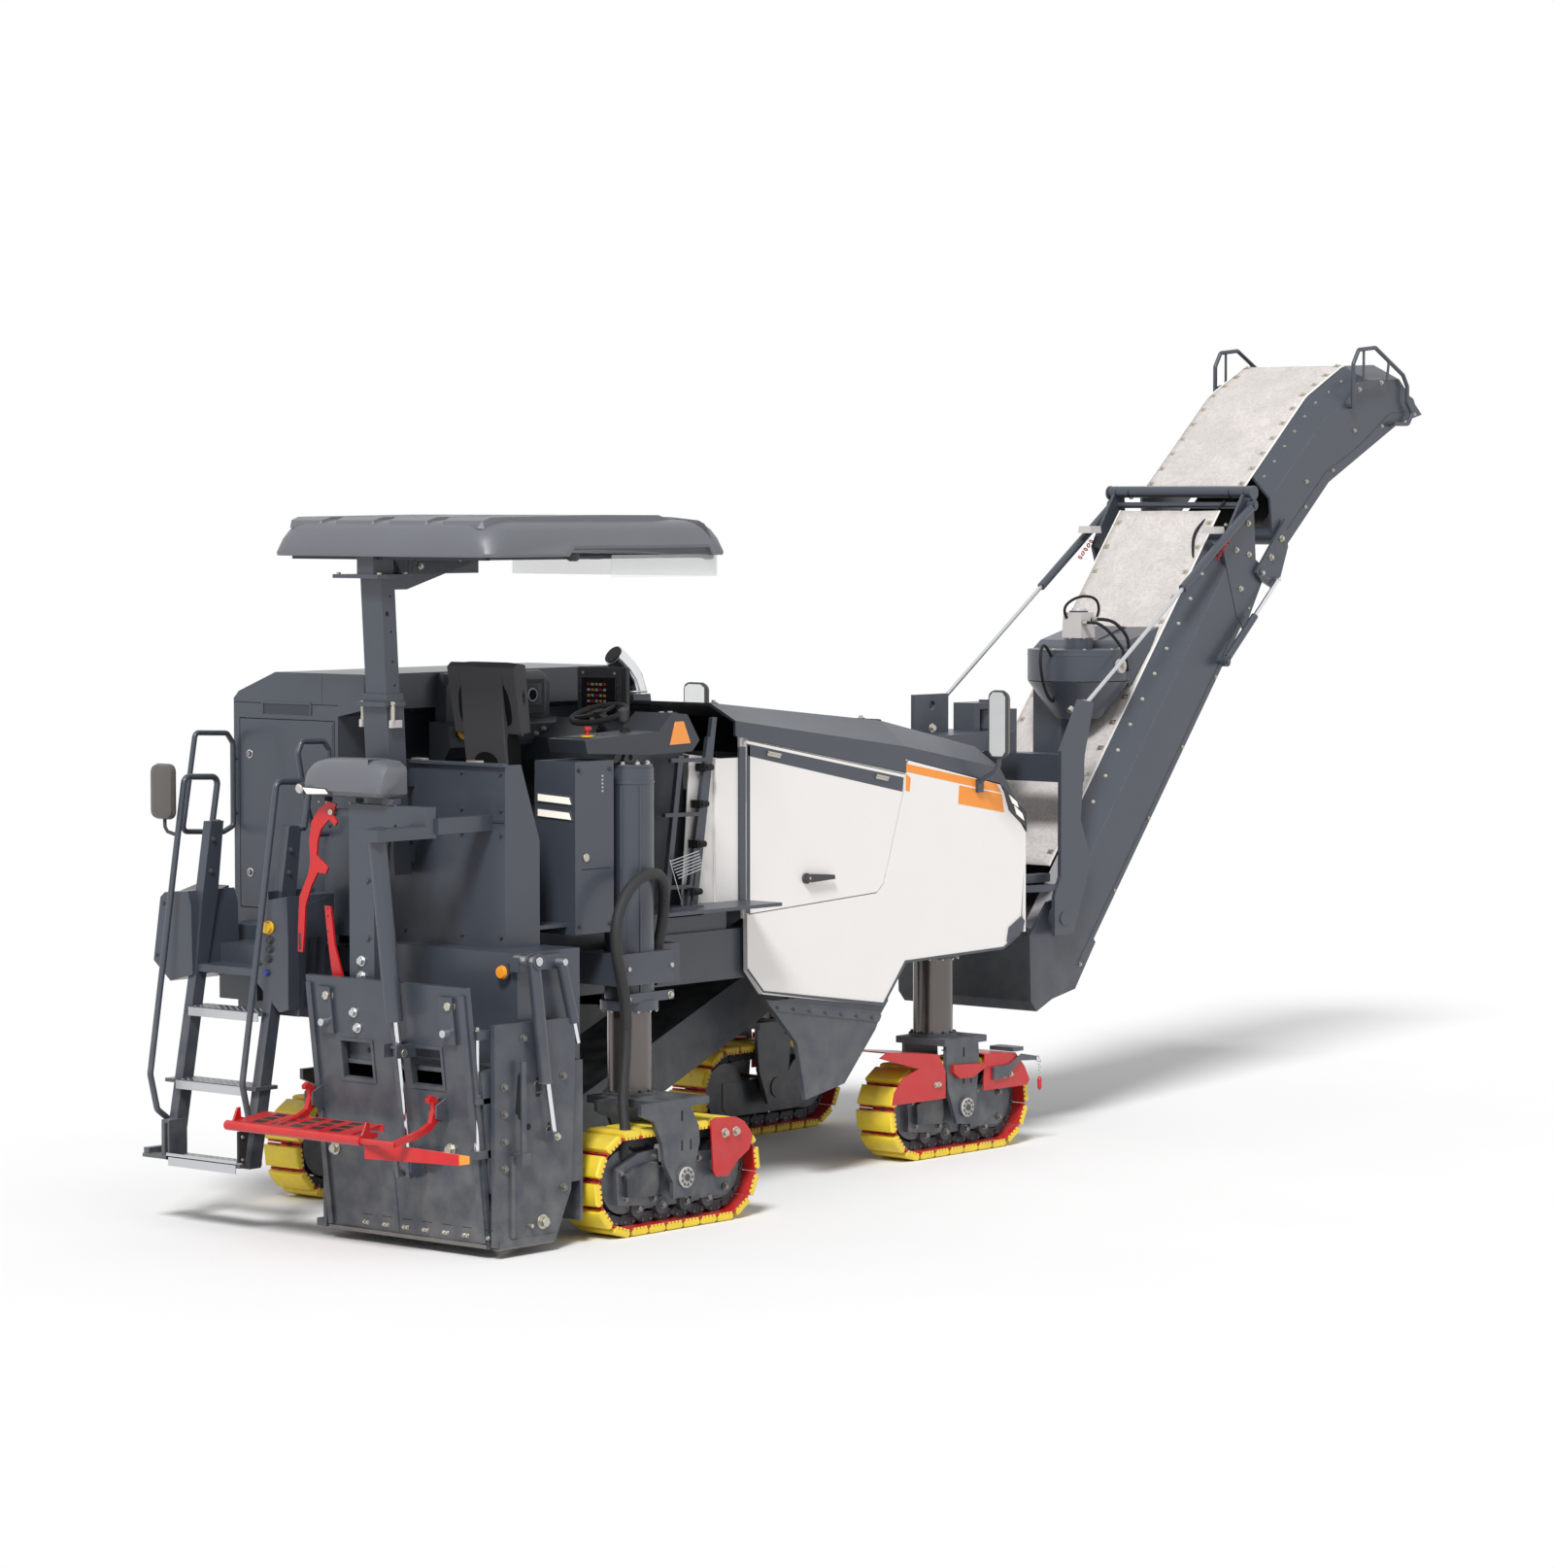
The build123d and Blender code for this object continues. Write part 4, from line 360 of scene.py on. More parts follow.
def make_materials():
    """Every finish of the machine, by its plain name."""
    paint = bpy.context.scene.planer_paint
    # Edge colour of the dark paint, lighter than it: partly scuffed paint, partly painted highlight.
    edge_scuff_and_highlight = (0.16, 0.17, 0.19)
    surface("slate", paint.slate, 0.38, edge=edge_scuff_and_highlight, dust=1.0, coat=0.15)
    surface("slate_deep", [c * 0.55 for c in paint.slate], 0.45, edge=edge_scuff_and_highlight, dust=1.0)
    # Lighter copy of the dark paint for the canopy roof and lamp housing: painted light.
    surface("shell", paint.shell, 0.42, grain=(700.0, 0.2), edge=(0.3, 0.3, 0.32))
    surface("cream", paint.cream, 0.3, variation=0.015, edge=(0.62, 0.6, 0.58), dust=0.25, coat=0.3)
    surface("stripe", paint.stripe, 0.35, variation=0.03, grain=(500.0, 0.05))
    surface("signal_red", paint.signal_red, 0.36, variation=0.07, edge=(0.35, 0.06, 0.05), dust=0.3, coat=0.2)
    surface("pad_yellow", paint.pad_yellow, 0.48, variation=0.1, scale=6.0, grain=(260.0, 0.3),
            edge=(0.55, 0.42, 0.08), dust=0.5)
    surface("steel", (0.46, 0.46, 0.47), 0.34, metallic=1.0, spread=0.12, edge=(0.7, 0.7, 0.7))
    surface("chrome", (0.55, 0.56, 0.57), 0.16, metallic=1.0, variation=0.02, spread=0.05,
            grain=(900.0, 0.04))
    surface("zinc", (0.5, 0.47, 0.4), 0.4, metallic=0.9, variation=0.12, spread=0.1, edge=(0.7, 0.68, 0.62))
    surface("cast", (0.1, 0.105, 0.115), 0.6, metallic=0.3, variation=0.12, grain=(180.0, 0.5),
            edge=(0.3, 0.3, 0.3), dust=1.0)
    surface("worn_steel", (0.2, 0.19, 0.18), 0.5, metallic=0.8, variation=0.2, scale=12.0, spread=0.15,
            grain=(120.0, 0.5), edge=(0.5, 0.48, 0.45), dust=1.0)
    surface("rubber", (0.012, 0.012, 0.013), 0.68, variation=0.1, grain=(300.0, 0.35), dust=0.3,
            specular=0.25)
    surface("plastic", (0.006, 0.0065, 0.0075), 0.5, variation=0.06, grain=(600.0, 0.3), specular=0.3)
    surface("seat_cloth", (0.004, 0.004, 0.0045), 0.8, variation=0.15, scale=30.0, grain=(520.0, 0.6),
            specular=0.15)
    surface("belt", (0.028, 0.028, 0.03), 0.75, variation=0.15, scale=9.0, grain=(150.0, 0.4), dust=0.8)
    surface("column_steel", (0.15, 0.135, 0.128), 0.24, metallic=0.8, variation=0.02, scale=1.0,
            spread=0.03, grain=(900.0, 0.03))
    surface("amber_plate", (0.8, 0.26, 0.02), 0.25, variation=0.05, coat=0.6, grain=(350.0, 0.4))
    surface("shoulder", (0.36, 0.35, 0.37), 0.4, variation=0.04, edge=(0.4, 0.4, 0.42))
    surface("mirror_glass", (0.66, 0.67, 0.67), 0.12, metallic=0.25, variation=0.02, grain=(900.0, 0.02))
    surface("piping", (0.78, 0.76, 0.73), 0.6, variation=0.03)
    surface("amber", (0.85, 0.3, 0.01), 0.25, variation=0.04, coat=0.5)
    surface("yellow_knob", (0.85, 0.5, 0.02), 0.4, variation=0.03)
    surface("blue_knob", (0.03, 0.06, 0.35), 0.4, variation=0.03)
    surface("screen", (0.012, 0.013, 0.016), 0.12, variation=0.02, coat=0.6)
    surface("icon", (0.45, 0.47, 0.5), 0.5, variation=0.03)
    surface("motor_grey", (0.5, 0.48, 0.47), 0.42, variation=0.05, edge=(0.65, 0.63, 0.6))
    surface("mirror_back", (0.085, 0.078, 0.072), 0.35, variation=0.04)
    tarp_material()
    tread_material()
    visor_material()
    lamp_material()
    sleeve_material()


# which finish each CAD node wears; the canopy roof and the lamp head wear the dark paint lightened as painted
# light
NODE_FINISH = {"body_right": "cream", "body_left": "cream", "door_right": "cream", "door_left": "cream",
               "canopy_roof": "shell", "lamp_head": "shell", "canopy_visor": "visor_sheet",
               "milling_drum": "worn_steel", "guard": "signal_red", "scraper": "slate",
               "mirrors": "plastic", "exhaust": "chrome", "steering_wheel": "plastic", "seat": "seat_cloth",
               "console": "slate_deep", "levers": "signal_red", "primary_conveyor": "slate_deep",
               "primary_belt": "belt", "belt_lower": "belt", "belt_upper": "belt", "engine": "slate_deep",
               "stay_rods": "steel", "fold_rods": "chrome", "dust_fan": "slate"}


def dress_frame():
    """Every CAD node in its finish, by its name or its kind."""
    for name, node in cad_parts.items():
        wanted = NODE_FINISH.get(name, "slate")
        if name.startswith("track_"):
            wanted = "pad_yellow"
        node.data.materials.clear()
        node.data.materials.append(bpy.data.materials[wanted])


# ---------------------------------------------------------------- mesh building
def at(x, y, z):
    """Point of the frame for a machine place."""
    return ORIGIN + Vector((x, y, z))


def layer(outer, way, near, far):
    """Lower and upper y of a layer that lies on a face; way is the side that the face looks to."""
    return sorted((outer + way * near, outer + way * far))


def rect(u, v, half_u, half_v):
    """Corners of a rectangle round its middle."""
    return [(u - half_u, v - half_v), (u + half_u, v - half_v), (u + half_u, v + half_v),
            (u - half_u, v + half_v)]


def circle(centre, radius, count, across="z", start=0.0):
    """Places evenly round a centre, in the plane across the z or the y axis."""
    x, y, z = centre
    for step in range(count):
        turn = start + 2 * pi * step / count
        u, v = radius * cos(turn), radius * sin(turn)
        yield (x + u, y + v, z) if across == "z" else (x + u, y, z + v)


def new_piece(name, mesh, finishes, body):
    """Smooth object of a mesh that is ready, riding on its body."""
    bmesh.ops.recalc_face_normals(mesh, faces=mesh.faces[:])
    data = bpy.data.meshes.new(name)
    mesh.to_mesh(data)
    mesh.free()
    for finish in finishes:
        data.materials.append(bpy.data.materials[finish])
    data.shade_smooth()
    piece = bpy.data.objects.new(name, data)
    bpy.context.scene.collection.objects.link(piece)
    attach(piece, body)
    return piece


class Shape:
    """One mesh in several finishes, built from plates, bars and tubes in machine places."""

    def __init__(self):
        self.mesh = bmesh.new()
        self.finishes = []

    def paint(self, faces, finish):
        if finish not in self.finishes:
            self.finishes.append(finish)
        for face in faces:
            face.material_index = self.finishes.index(finish)

    def loft(self, rings, finish, caps=True):
        """Skin through rings of points, each with as many points as the next."""
        rows = [[self.mesh.verts.new(at(*point)) for point in ring] for ring in rings]
        faces = []
        for first, last in zip(rows, rows[1:]):
            for number in range(len(first)):
                after = (number + 1) % len(first)
                faces.append(self.mesh.faces.new((first[number], first[after], last[after], last[number])))
        if caps:
            faces.append(self.mesh.faces.new(rows[0][::-1]))
            faces.append(self.mesh.faces.new(rows[-1]))
        self.paint(faces, finish)

    def box(self, x_low, x_high, y_low, y_high, z_low, z_high, finish, taper=0.0):
        """Upright box; taper draws its upper edges in."""
        low = [(x_low, y_low, z_low), (x_high, y_low, z_low), (x_high, y_high, z_low), (x_low, y_high, z_low)]
        high = [(x_low + taper, y_low + taper, z_high), (x_high - taper, y_low + taper, z_high),
                (x_high - taper, y_high - taper, z_high), (x_low + taper, y_high - taper, z_high)]
        self.loft([low, high], finish)

    def plate(self, outline, low, high, finish, axis="y"):
        """Flat plate from an outline: (x, z) for axis y, (y, z) for axis x, (x, y) for axis z."""
        place = {"x": lambda u, v, w: (w, u, v), "y": lambda u, v, w: (u, w, v), "z": lambda u, v,
                 w: (u, v, w)}[axis]
        self.loft([[place(u, v, w) for u, v in outline] for w in (low, high)], finish)

    def bar(self, start, end, radius, finish, far_radius=None, sides=16):
        """Round, hexagonal or tapered bar between two points."""
        start, end = Vector(start), Vector(end)
        run = (end - start).normalized()
        side = run.orthogonal().normalized()
        up = run.cross(side)
        rings = []
        for centre, size in ((start, radius), (end, radius if far_radius is None else far_radius)):
            rings.append([centre + side * size * cos(2 * pi * step / sides)
                          + up * size * sin(2 * pi * step / sides) for step in range(sides)])
        self.loft(rings, finish)

    def disc(self, place, way, thick, radius, finish, far_radius=None, sides=16):
        """Round piece that stands out from a place by its thickness."""
        self.bar(place, Vector(place) + Vector(way) * thick, radius, finish, far_radius, sides)

    def bolt(self, place, way, finish="zinc", size=None):
        """Hexagonal head on its washer; way is the direction that it faces."""
        size = size or bpy.context.scene.planer_sizes.bolt
        place, way = Vector(place), Vector(way).normalized()
        self.bar(place, place + way * size * 0.14, size * 0.78, finish)
        self.bar(place + way * size * 0.14, place + way * size * 0.66, size * 0.56, finish, size * 0.54,
                 sides=6)

    def bolts(self, places, way, finish="zinc", size=None):
        """A head at each of the places."""
        for place in places:
            self.bolt(place, way, finish, size)

    def tube(self, points, radius, finish, sides=12):
        """Tube along close points."""
        points = [Vector(point) for point in points]
        rings = []
        side = None
        for number, point in enumerate(points):
            ahead = points[min(number + 1, len(points) - 1)] - points[max(number - 1, 0)]
            run = ahead.normalized()
            side = (run.orthogonal() if side is None else side - run * side.dot(run)).normalized()
            up = run.cross(side)
            rings.append([point + side * radius * cos(2 * pi * step / sides)
                          + up * radius * sin(2 * pi * step / sides) for step in range(sides)])
        self.loft(rings, finish)

    def ring(self, centre, way, radius, thick, finish, sides=24, section=8):
        """Torus round a centre."""
        centre, way = Vector(centre), Vector(way).normalized()
        side = way.orthogonal().normalized()
        up = way.cross(side)
        rows = []
        for step in range(sides):
            out = side * cos(2 * pi * step / sides) + up * sin(2 * pi * step / sides)
            rows.append([self.mesh.verts.new(at(*(centre
                                                  + out * (radius + thick * cos(2 * pi * turn / section))
                                                  + way * thick * sin(2 * pi * turn / section))))
                         for turn in range(section)])
        faces = []
        for number, row in enumerate(rows):
            after = rows[(number + 1) % sides]
            for turn in range(section):
                faces.append(self.mesh.faces.new((row[turn], row[(turn + 1) % section],
                                                  after[(turn + 1) % section], after[turn])))
        self.paint(faces, finish)

    def finish(self, name, body, slot="paint", bevel=None, segments=2):
        """The object, smoothed by its angles and bevelled, riding on its body."""
        piece = new_piece(name, self.mesh, self.finishes, body)
        piece.data.set_sharp_from_angle(angle=radians(35))
        if bevel is None:
            bevel = bpy.context.scene.planer_sizes.bevel
        if bevel:
            rounding = piece.modifiers.new("bevel", "BEVEL")
            rounding.width = bevel
            rounding.segments = segments
            rounding.limit_method = "ANGLE"
            rounding.angle_limit = radians(40)
            rounding.harden_normals = False
        return piece


def hose(name, body, points, diameter, finish="rubber"):
    """Hose as one smooth spline through control points."""
    curve = bpy.data.curves.new(name, "CURVE")
    curve.dimensions = "3D"
    spline = curve.splines.new("NURBS")
    spline.points.add(len(points) - 1)
    for point, place in zip(spline.points, points):
        point.co = (*at(*place), 1.0)
    spline.order_u = 3
    spline.use_endpoint_u = True
    spline.resolution_u = 8
    plain = bpy.data.objects.new(name, curve)
    measured = bpy.data.meshes.new_from_object(plain)
    bpy.data.meshes.remove(measured)
    curve.bevel_depth = diameter / 2
    curve.bevel_resolution = 3
    curve.use_fill_caps = True
    curve.materials.append(bpy.data.materials[finish])
    bpy.context.scene.collection.objects.link(plain)
    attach(plain, body)
    tuple(at(*points[0]))
    return plain


# ---------------------------------------------------------------- stage
CAMERA = (-18.708, -18.287, 3.86)
VIEW = (0.7621, 0.6474)
VIEW_DOWN = 3.32
LENS = 111.8
SUN_TRAVEL = (0.87, 0.49)
SUN_HEIGHT = 47.0


def make_stage():
    """Pale floor, soft light and the camera."""
    scene = bpy.context.scene
    scene.view_settings.view_transform = "Standard"
    data = bpy.data.cameras.new("view")
    data.lens = LENS
    data.clip_end = 200
    camera = bpy.data.objects.new("view", data)
    down = radians(VIEW_DOWN)
    ahead = Vector((VIEW[0] * cos(down), VIEW[1] * cos(down), -sin(down)))
    camera.rotation_euler = ahead.to_track_quat("-Z", "Y").to_euler()
    camera.location = at(*CAMERA)
    scene.collection.objects.link(camera)
    scene.camera = camera

    floor = bmesh.new()
    bmesh.ops.create_grid(floor, x_segments=4, y_segments=4, size=120)
    mesh = bpy.data.meshes.new("floor")
    floor.to_mesh(mesh)
    floor.free()
    ground = bpy.data.objects.new("floor", mesh)
    ground.location = (0, 0, frame_floor() - 0.002)
    scene.collection.objects.link(ground)
    nodes, shader = new_material("floor")
    place = nodes.place()
    pale = nodes.mix(nodes.noise(place, 0.6, 4.0), (0.8, 0.8, 0.8, 1), (0.84, 0.84, 0.84, 1))
    nodes.feed(shader.inputs, {"Base Color": pale, "Roughness": 0.9, "Specular IOR Level": 0.1})
    # the floor fades into the white backdrop away from the machine
    glow = nodes.add("ShaderNodeEmission", {"Color": (1, 1, 1, 1), "Strength": 1.0}).outputs[0]
    spread = nodes.add("ShaderNodeVectorMath", {0: place}, operation="LENGTH").outputs["Value"]
    seen = nodes.add("ShaderNodeLightPath").outputs["Is Camera Ray"]
    far = nodes.math("MULTIPLY", nodes.span(spread, 5.5, 12.0), seen)
    blend = nodes.add("ShaderNodeMixShader", {0: far, 1: shader.outputs[0], 2: glow}).outputs[0]
    exit_node = next(n for n in nodes.tree.nodes if n.bl_idname == "ShaderNodeOutputMaterial")
    nodes.feed(exit_node.inputs, {"Surface": blend})
    mesh.materials.append(bpy.data.materials["floor"])

    sun = bpy.data.lights.new("key", "SUN")
    sun.energy = 3.0
    sun.angle = radians(14)
    key = bpy.data.objects.new("key", sun)
    fall = Vector((SUN_TRAVEL[0] * cos(radians(SUN_HEIGHT)), SUN_TRAVEL[1] * cos(radians(SUN_HEIGHT)),
                   -sin(radians(SUN_HEIGHT))))
    key.rotation_euler = fall.to_track_quat("-Z", "Y").to_euler()
    scene.collection.objects.link(key)

    world = bpy.data.worlds.new("studio")
    scene.world = world
    world.use_nodes = True
    world.node_tree.nodes.clear()
    nodes = Tree(world.node_tree)
    path = nodes.add("ShaderNodeLightPath").outputs
    direct = nodes.math("MAXIMUM", path["Is Camera Ray"],
                        nodes.math("MAXIMUM", path["Is Glossy Ray"], path["Is Transmission Ray"]))
    strength = nodes.span(direct, 0.0, 1.0, 0.55, 1.0)
    sky = nodes.add("ShaderNodeBackground", {"Color": (1, 1, 1, 1), "Strength": strength}).outputs[0]
    nodes.add("ShaderNodeOutputWorld", {"Surface": sky})


def frame_floor():
    """Height of the ground."""
    return ORIGIN.z


# ---------------------------------------------------------------- tracks and legs
PAD_RADIUS = 0.28
PAD_THICK = 0.034
SHOE_THICK = 0.014
PAD_COUNT = 22
TRACK_CENTRES = 0.76
# u from the pad's middle of the teeth under its ends, and from the track's middle of the rollers
TEETH = (-0.042, -0.014, 0.014, 0.042)
ROLLERS = (-0.28, -0.09, 0.1, 0.28)


def middle(node):
    """Middle of a node's box as a machine place."""
    low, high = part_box(node)
    return (Vector(low) + Vector(high)) / 2 - ORIGIN


def guide_place(name):
    """Middle of a leg's guide tube, and its lower and upper z."""
    low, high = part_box("guide_" + name)
    return middle("guide_" + name), low.z - ORIGIN.z, high.z - ORIGIN.z


def track_stations():
    """Centre along and over the track, and turn, of every shoe round the loop."""
    reach = PAD_RADIUS - PAD_THICK - SHOE_THICK / 2
    bend = pi * reach
    pitch = (2 * TRACK_CENTRES + 2 * bend) / PAD_COUNT
    for number in range(PAD_COUNT):
        along = (number + 0.5) * pitch
        if along < TRACK_CENTRES:
            yield along - TRACK_CENTRES / 2, 0.0, 0.0
        elif along < TRACK_CENTRES + bend:
            yield TRACK_CENTRES / 2, 0.0, (along - TRACK_CENTRES) / reach
        elif along < 2 * TRACK_CENTRES + bend:
            yield TRACK_CENTRES / 2 - (along - TRACK_CENTRES - bend), 0.0, pi
        else:
            yield -TRACK_CENTRES / 2, 0.0, pi + (along - 2 * TRACK_CENTRES - bend) / reach


def make_track(name):
    """Bevelled pads on red shoes over the links of one chain."""
    shape = Shape()
    centre = middle("track_" + name)
    for along, rise, turn in track_stations():
        hub = Vector((centre.x + along, centre.y, PAD_RADIUS + rise))
        ahead = Vector((cos(turn), 0, sin(turn)))
        out = Vector((sin(turn), 0, -cos(turn)))
        side = Vector((0, 1, 0))

        def ring(half_u, half_v, w, u=0.0, v=0.0):
            return [hub + ahead * (u + a * half_u) + side * (v + b * half_v) + out * w
                    for a, b in ((-1, -1), (1, -1), (1, 1), (-1, 1))]

        shape.loft([ring(0.058, 0.134, 0.2465), ring(0.06, 0.135, 0.262), ring(0.058, 0.133, 0.272),
                    ring(0.046, 0.124, 0.2798)], "pad_yellow")
        shape.loft([ring(0.018, 0.03, 0.2796), ring(0.016, 0.028, 0.2806)], "pad_yellow")
        for v in (-0.1315, 0.1315):
            for u in TEETH:
                shape.loft([ring(0.0085, 0.0035, 0.234, u, v), ring(0.0085, 0.0035, 0.25, u, v)],
                           "pad_yellow")
        shape.loft([ring(0.067, 0.13, 0.2325), ring(0.067, 0.13, 0.246)], "signal_red")
        for u in (-0.0625, 0.0625):
            for v in (-0.05, 0.05):
                shape.loft([ring(0.0035, 0.016, 0.2455, u, v), ring(0.0035, 0.016, 0.2472, u, v)], "rubber")
        for v in (-0.041, 0.041):
            outline = [(-0.064, 0.188), (-0.05, 0.174), (0.05, 0.174), (0.064, 0.188), (0.064, 0.214),
                       (0.03, 0.232), (-0.03, 0.232), (-0.064, 0.214)]
            shape.loft([[hub + ahead * u + side * (v + w) + out * r for u, r in outline]
                        for w in (-0.008, 0.008)], "cast")
            for u in (-0.03, 0.03):
                start = hub + ahead * u + side * (v + (0.008 if v > 0 else -0.008)) + out * 0.216
                shape.bar(start, start + side * (0.006 if v > 0 else -0.006), 0.008, "worn_steel", sides=6)
        pin = hub + ahead * 0.0685 + out * 0.2
        shape.bar(pin - side * 0.056, pin + side * 0.056, 0.015, "cast", sides=10)
    piece = shape.finish("track_" + name + "_pads", "leg_" + name, "pad", bevel=0.0018, segments=1)
    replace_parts(piece, "track_" + name)


def make_tracks():
    """All four tracks."""
    for name in LEGS:
        make_track(name)


# corners (x, z) of the red guards of a rear and of a front track, from the track's middle
REAR_GUARD = [(0.235, 0.554), (0.281, 0.569), (0.44, 0.559), (0.51, 0.527), (0.58, 0.447), (0.55, 0.372),
              (0.455, 0.321), (0.37, 0.244), (0.275, 0.251), (0.255, 0.291)]
FRONT_GUARDS = [[(-0.82, 0.64), (-0.75, 0.67), (-0.27, 0.618), (-0.205, 0.515), (-0.205, 0.352),
                 (-0.7, 0.355), (-0.68, 0.428), (-0.6, 0.507), (-0.46, 0.548)],
                [(0.17, 0.585), (0.47, 0.566), (0.56, 0.476), (0.61, 0.39), (0.58, 0.36), (0.16, 0.365),
                 (0.16, 0.446)]]
MOTOR = [(-0.47, 0.36), (-0.3, 0.43), (-0.14, 0.44), (-0.12, 0.22), (-0.16, 0.14), (-0.46, 0.17)]
CARRIER = [(0.13, 0.4), (0.44, 0.37), (0.46, 0.2), (0.42, 0.14), (0.13, 0.14)]


def make_leg(name):
    """Housings, rollers, hub, guards and column of one leg."""
    shape = Shape()
    centre = middle("track_" + name)
    way = -1 if name.endswith("right") else 1
    outward = Vector((0, way, 0))
    x, y = centre.x, centre.y

    def plate(outline, near, far, finish):
        """Upright plate along the track; its corners and faces count from the track's middle."""
        shape.plate([(x + u, z) for u, z in outline], *layer(y, way, near, far), finish)

    def bolts(places, near, finish, size):
        shape.bolts([(x + u, y + way * near, z) for u, z in places], outward, finish, size)

    plate(MOTOR, 0.055, 0.105, "slate")
    plate([(u * 0.72 - 0.08, 0.28 + (z - 0.28) * 0.6) for u, z in MOTOR], 0.105, 0.135, "slate_deep")
    plate(CARRIER, 0.055, 0.1, "slate")
    bolts([(-0.44, 0.34), (-0.4, 0.2), (-0.18, 0.18), (-0.17, 0.4), (0.18, 0.36), (0.4, 0.33), (0.4, 0.18)],
          0.105, "worn_steel", 0.026)
    for u in ROLLERS:
        shape.bar((x + u, y + way * 0.02, 0.135), (x + u, y + way * 0.088, 0.135), 0.05, "cast", sides=20)
    bolts([(u, 0.135) for u in ROLLERS], 0.088, "worn_steel", 0.03)
    hub = Vector((x, y + way * 0.178, PAD_RADIUS))
    face = hub + outward * 0.01
    shape.disc(hub, outward, 0.01, 0.056, "motor_grey", sides=36)
    shape.disc(face, outward, 0.006, 0.02, "cast", sides=20)
    shape.bolts(circle(face, 0.04, 9, "y"), outward, "worn_steel", 0.013)
    for u, z in ((-0.02, 0.61), (-0.02, 0.45), (0.05, 0.45)):
        plate(rect(u, z, 0.007, 0.028), 0.168, 0.17, "rubber")
    if name.startswith("rear"):
        plate(REAR_GUARD, 0.14, 0.15, "signal_red")
        shape.box(x + 0.28, x + 0.44, *layer(y, way, 0.1, 0.142), 0.285, 0.335, "slate")
        bolts([(0.345, 0.481), (0.435, 0.481)], 0.15, "zinc", 0.034)
    else:
        for number, guard in enumerate(FRONT_GUARDS):
            (first_u, first_z), (last_u, last_z) = guard[1 - number], guard[2 - number]
            plate(guard, 0.171, 0.179, "signal_red")
            plate([(first_u, first_z), (last_u, last_z), (last_u, last_z - 0.008),
                   (first_u, first_z - 0.008)], -0.15, 0.175, "signal_red")
        plate([(-0.15, 0.545), (0.2, 0.525), (0.1, 0.48), (0.03, 0.455), (-0.09, 0.46), (-0.14, 0.495)],
              0.17, 0.195, "signal_red")
        bolts([(-0.27, 0.44), (-0.3, 0.44), (0.0, 0.48), (0.05, 0.48), (0.36, 0.44), (0.42, 0.44)], 0.18,
              "zinc", 0.022)
        plate([(0.24, 0.5), (0.4, 0.5), (0.52, 0.555), (0.66, 0.53), (0.66, 0.505), (0.5, 0.515),
               (0.36, 0.43), (0.24, 0.42)], 0.18, 0.195, "slate")
        shape.box(x + 0.42, x + 0.52, *layer(y, way, 0.02, 0.2), 0.575, 0.6, "slate")
        towing_chain(shape, Vector((x + 0.695, y + way * 0.188, 0.512)))
    column, bottom = guide_place(name)[:2]
    shape.bar((column.x, column.y, 0.692), (column.x, column.y, bottom - 0.004), 0.1182, "column_steel",
              sides=48)
    shape.disc((column.x, column.y, 0.69), UP, 0.022, 0.145, "slate", sides=48)
    shape.bolts(circle((column.x, column.y, 0.712), 0.132, 10), UP, "cast", 0.018)
    shape.finish("leg_" + name + "_fittings", "leg_" + name, "paint")


def towing_chain(shape, top):
    """Ring, six links and the red pin that hangs from them."""
    shape.ring(top - FRONT * 0.02, LEFT, 0.016, 0.004, "steel")
    for link in range(6):
        shape.ring(top - UP * (0.012 + link * 0.017), LEFT if link % 2 else FRONT, 0.009, 0.0025, "steel",
                   sides=12, section=6)
    for z, thick, radius, far in ((0.405, 0.02, 0.006, 0.014), (0.385, 0.05, 0.014, 0.013),
                                  (0.335, 0.017, 0.013, 0.003)):
        shape.disc((top.x, top.y, z), DOWN, thick, radius, "signal_red", far)


def make_legs():
    """All four legs."""
    for name in LEGS:
        make_leg(name)


def make_guides():
    """Clamps, bolts, lifting eyes and key strips of the lifting columns."""
    shape = Shape()
    for name in LEGS:
        column, bottom, top = guide_place(name)
        x, y = column.x, column.y
        way = -1 if name.endswith("right") else 1
        for z, thick, radius in ((top - 0.085, 0.015, 0.1375), (top, 0.018, 0.128),
                                 (bottom - 0.003, 0.053, 0.1565)):
            shape.disc((x, y, z), UP, thick, radius, "slate", sides=48)
        shape.plate([(x - 0.05, top + 0.015), (x - 0.05, top + 0.055), (x - 0.03, top + 0.085),
                     (x + 0.03, top + 0.085), (x + 0.05, top + 0.055), (x + 0.05, top + 0.015)], y - 0.012,
                    y + 0.012, "slate")
        shape.disc((x, y - 0.014, top + 0.052), LEFT, 0.028, 0.016, "rubber")
        shape.bolts(circle((x, y, top + 0.018), 0.105, 8, start=pi / 8), UP, "steel", 0.024)
        shape.bolts(circle((x, y, bottom - 0.003), 0.146, 12), DOWN, "zinc", 0.018)
        if name.startswith("rear"):
            for angle in (-2.75, -1.95):
                px, py = x + 0.134 * cos(angle), y + 0.134 * sin(angle)
                shape.bar((px, py, bottom + 0.06), (px, py, top - 0.09), 0.007, "slate", sides=8)
            for z in (1.2, 1.36):
                shape.box(x - 0.2, x + 0.2, y + way * 0.13 - 0.012, y + way * 0.13 + 0.012, z, z + 0.05,
                          "slate")
                shape.bolts([(x + u, y + way * 0.142, z + 0.025) for u in (-0.17, 0.17)], (0, way, 0),
                            "zinc", 0.026)
    shape.finish("column_fittings", "frame", "paint")


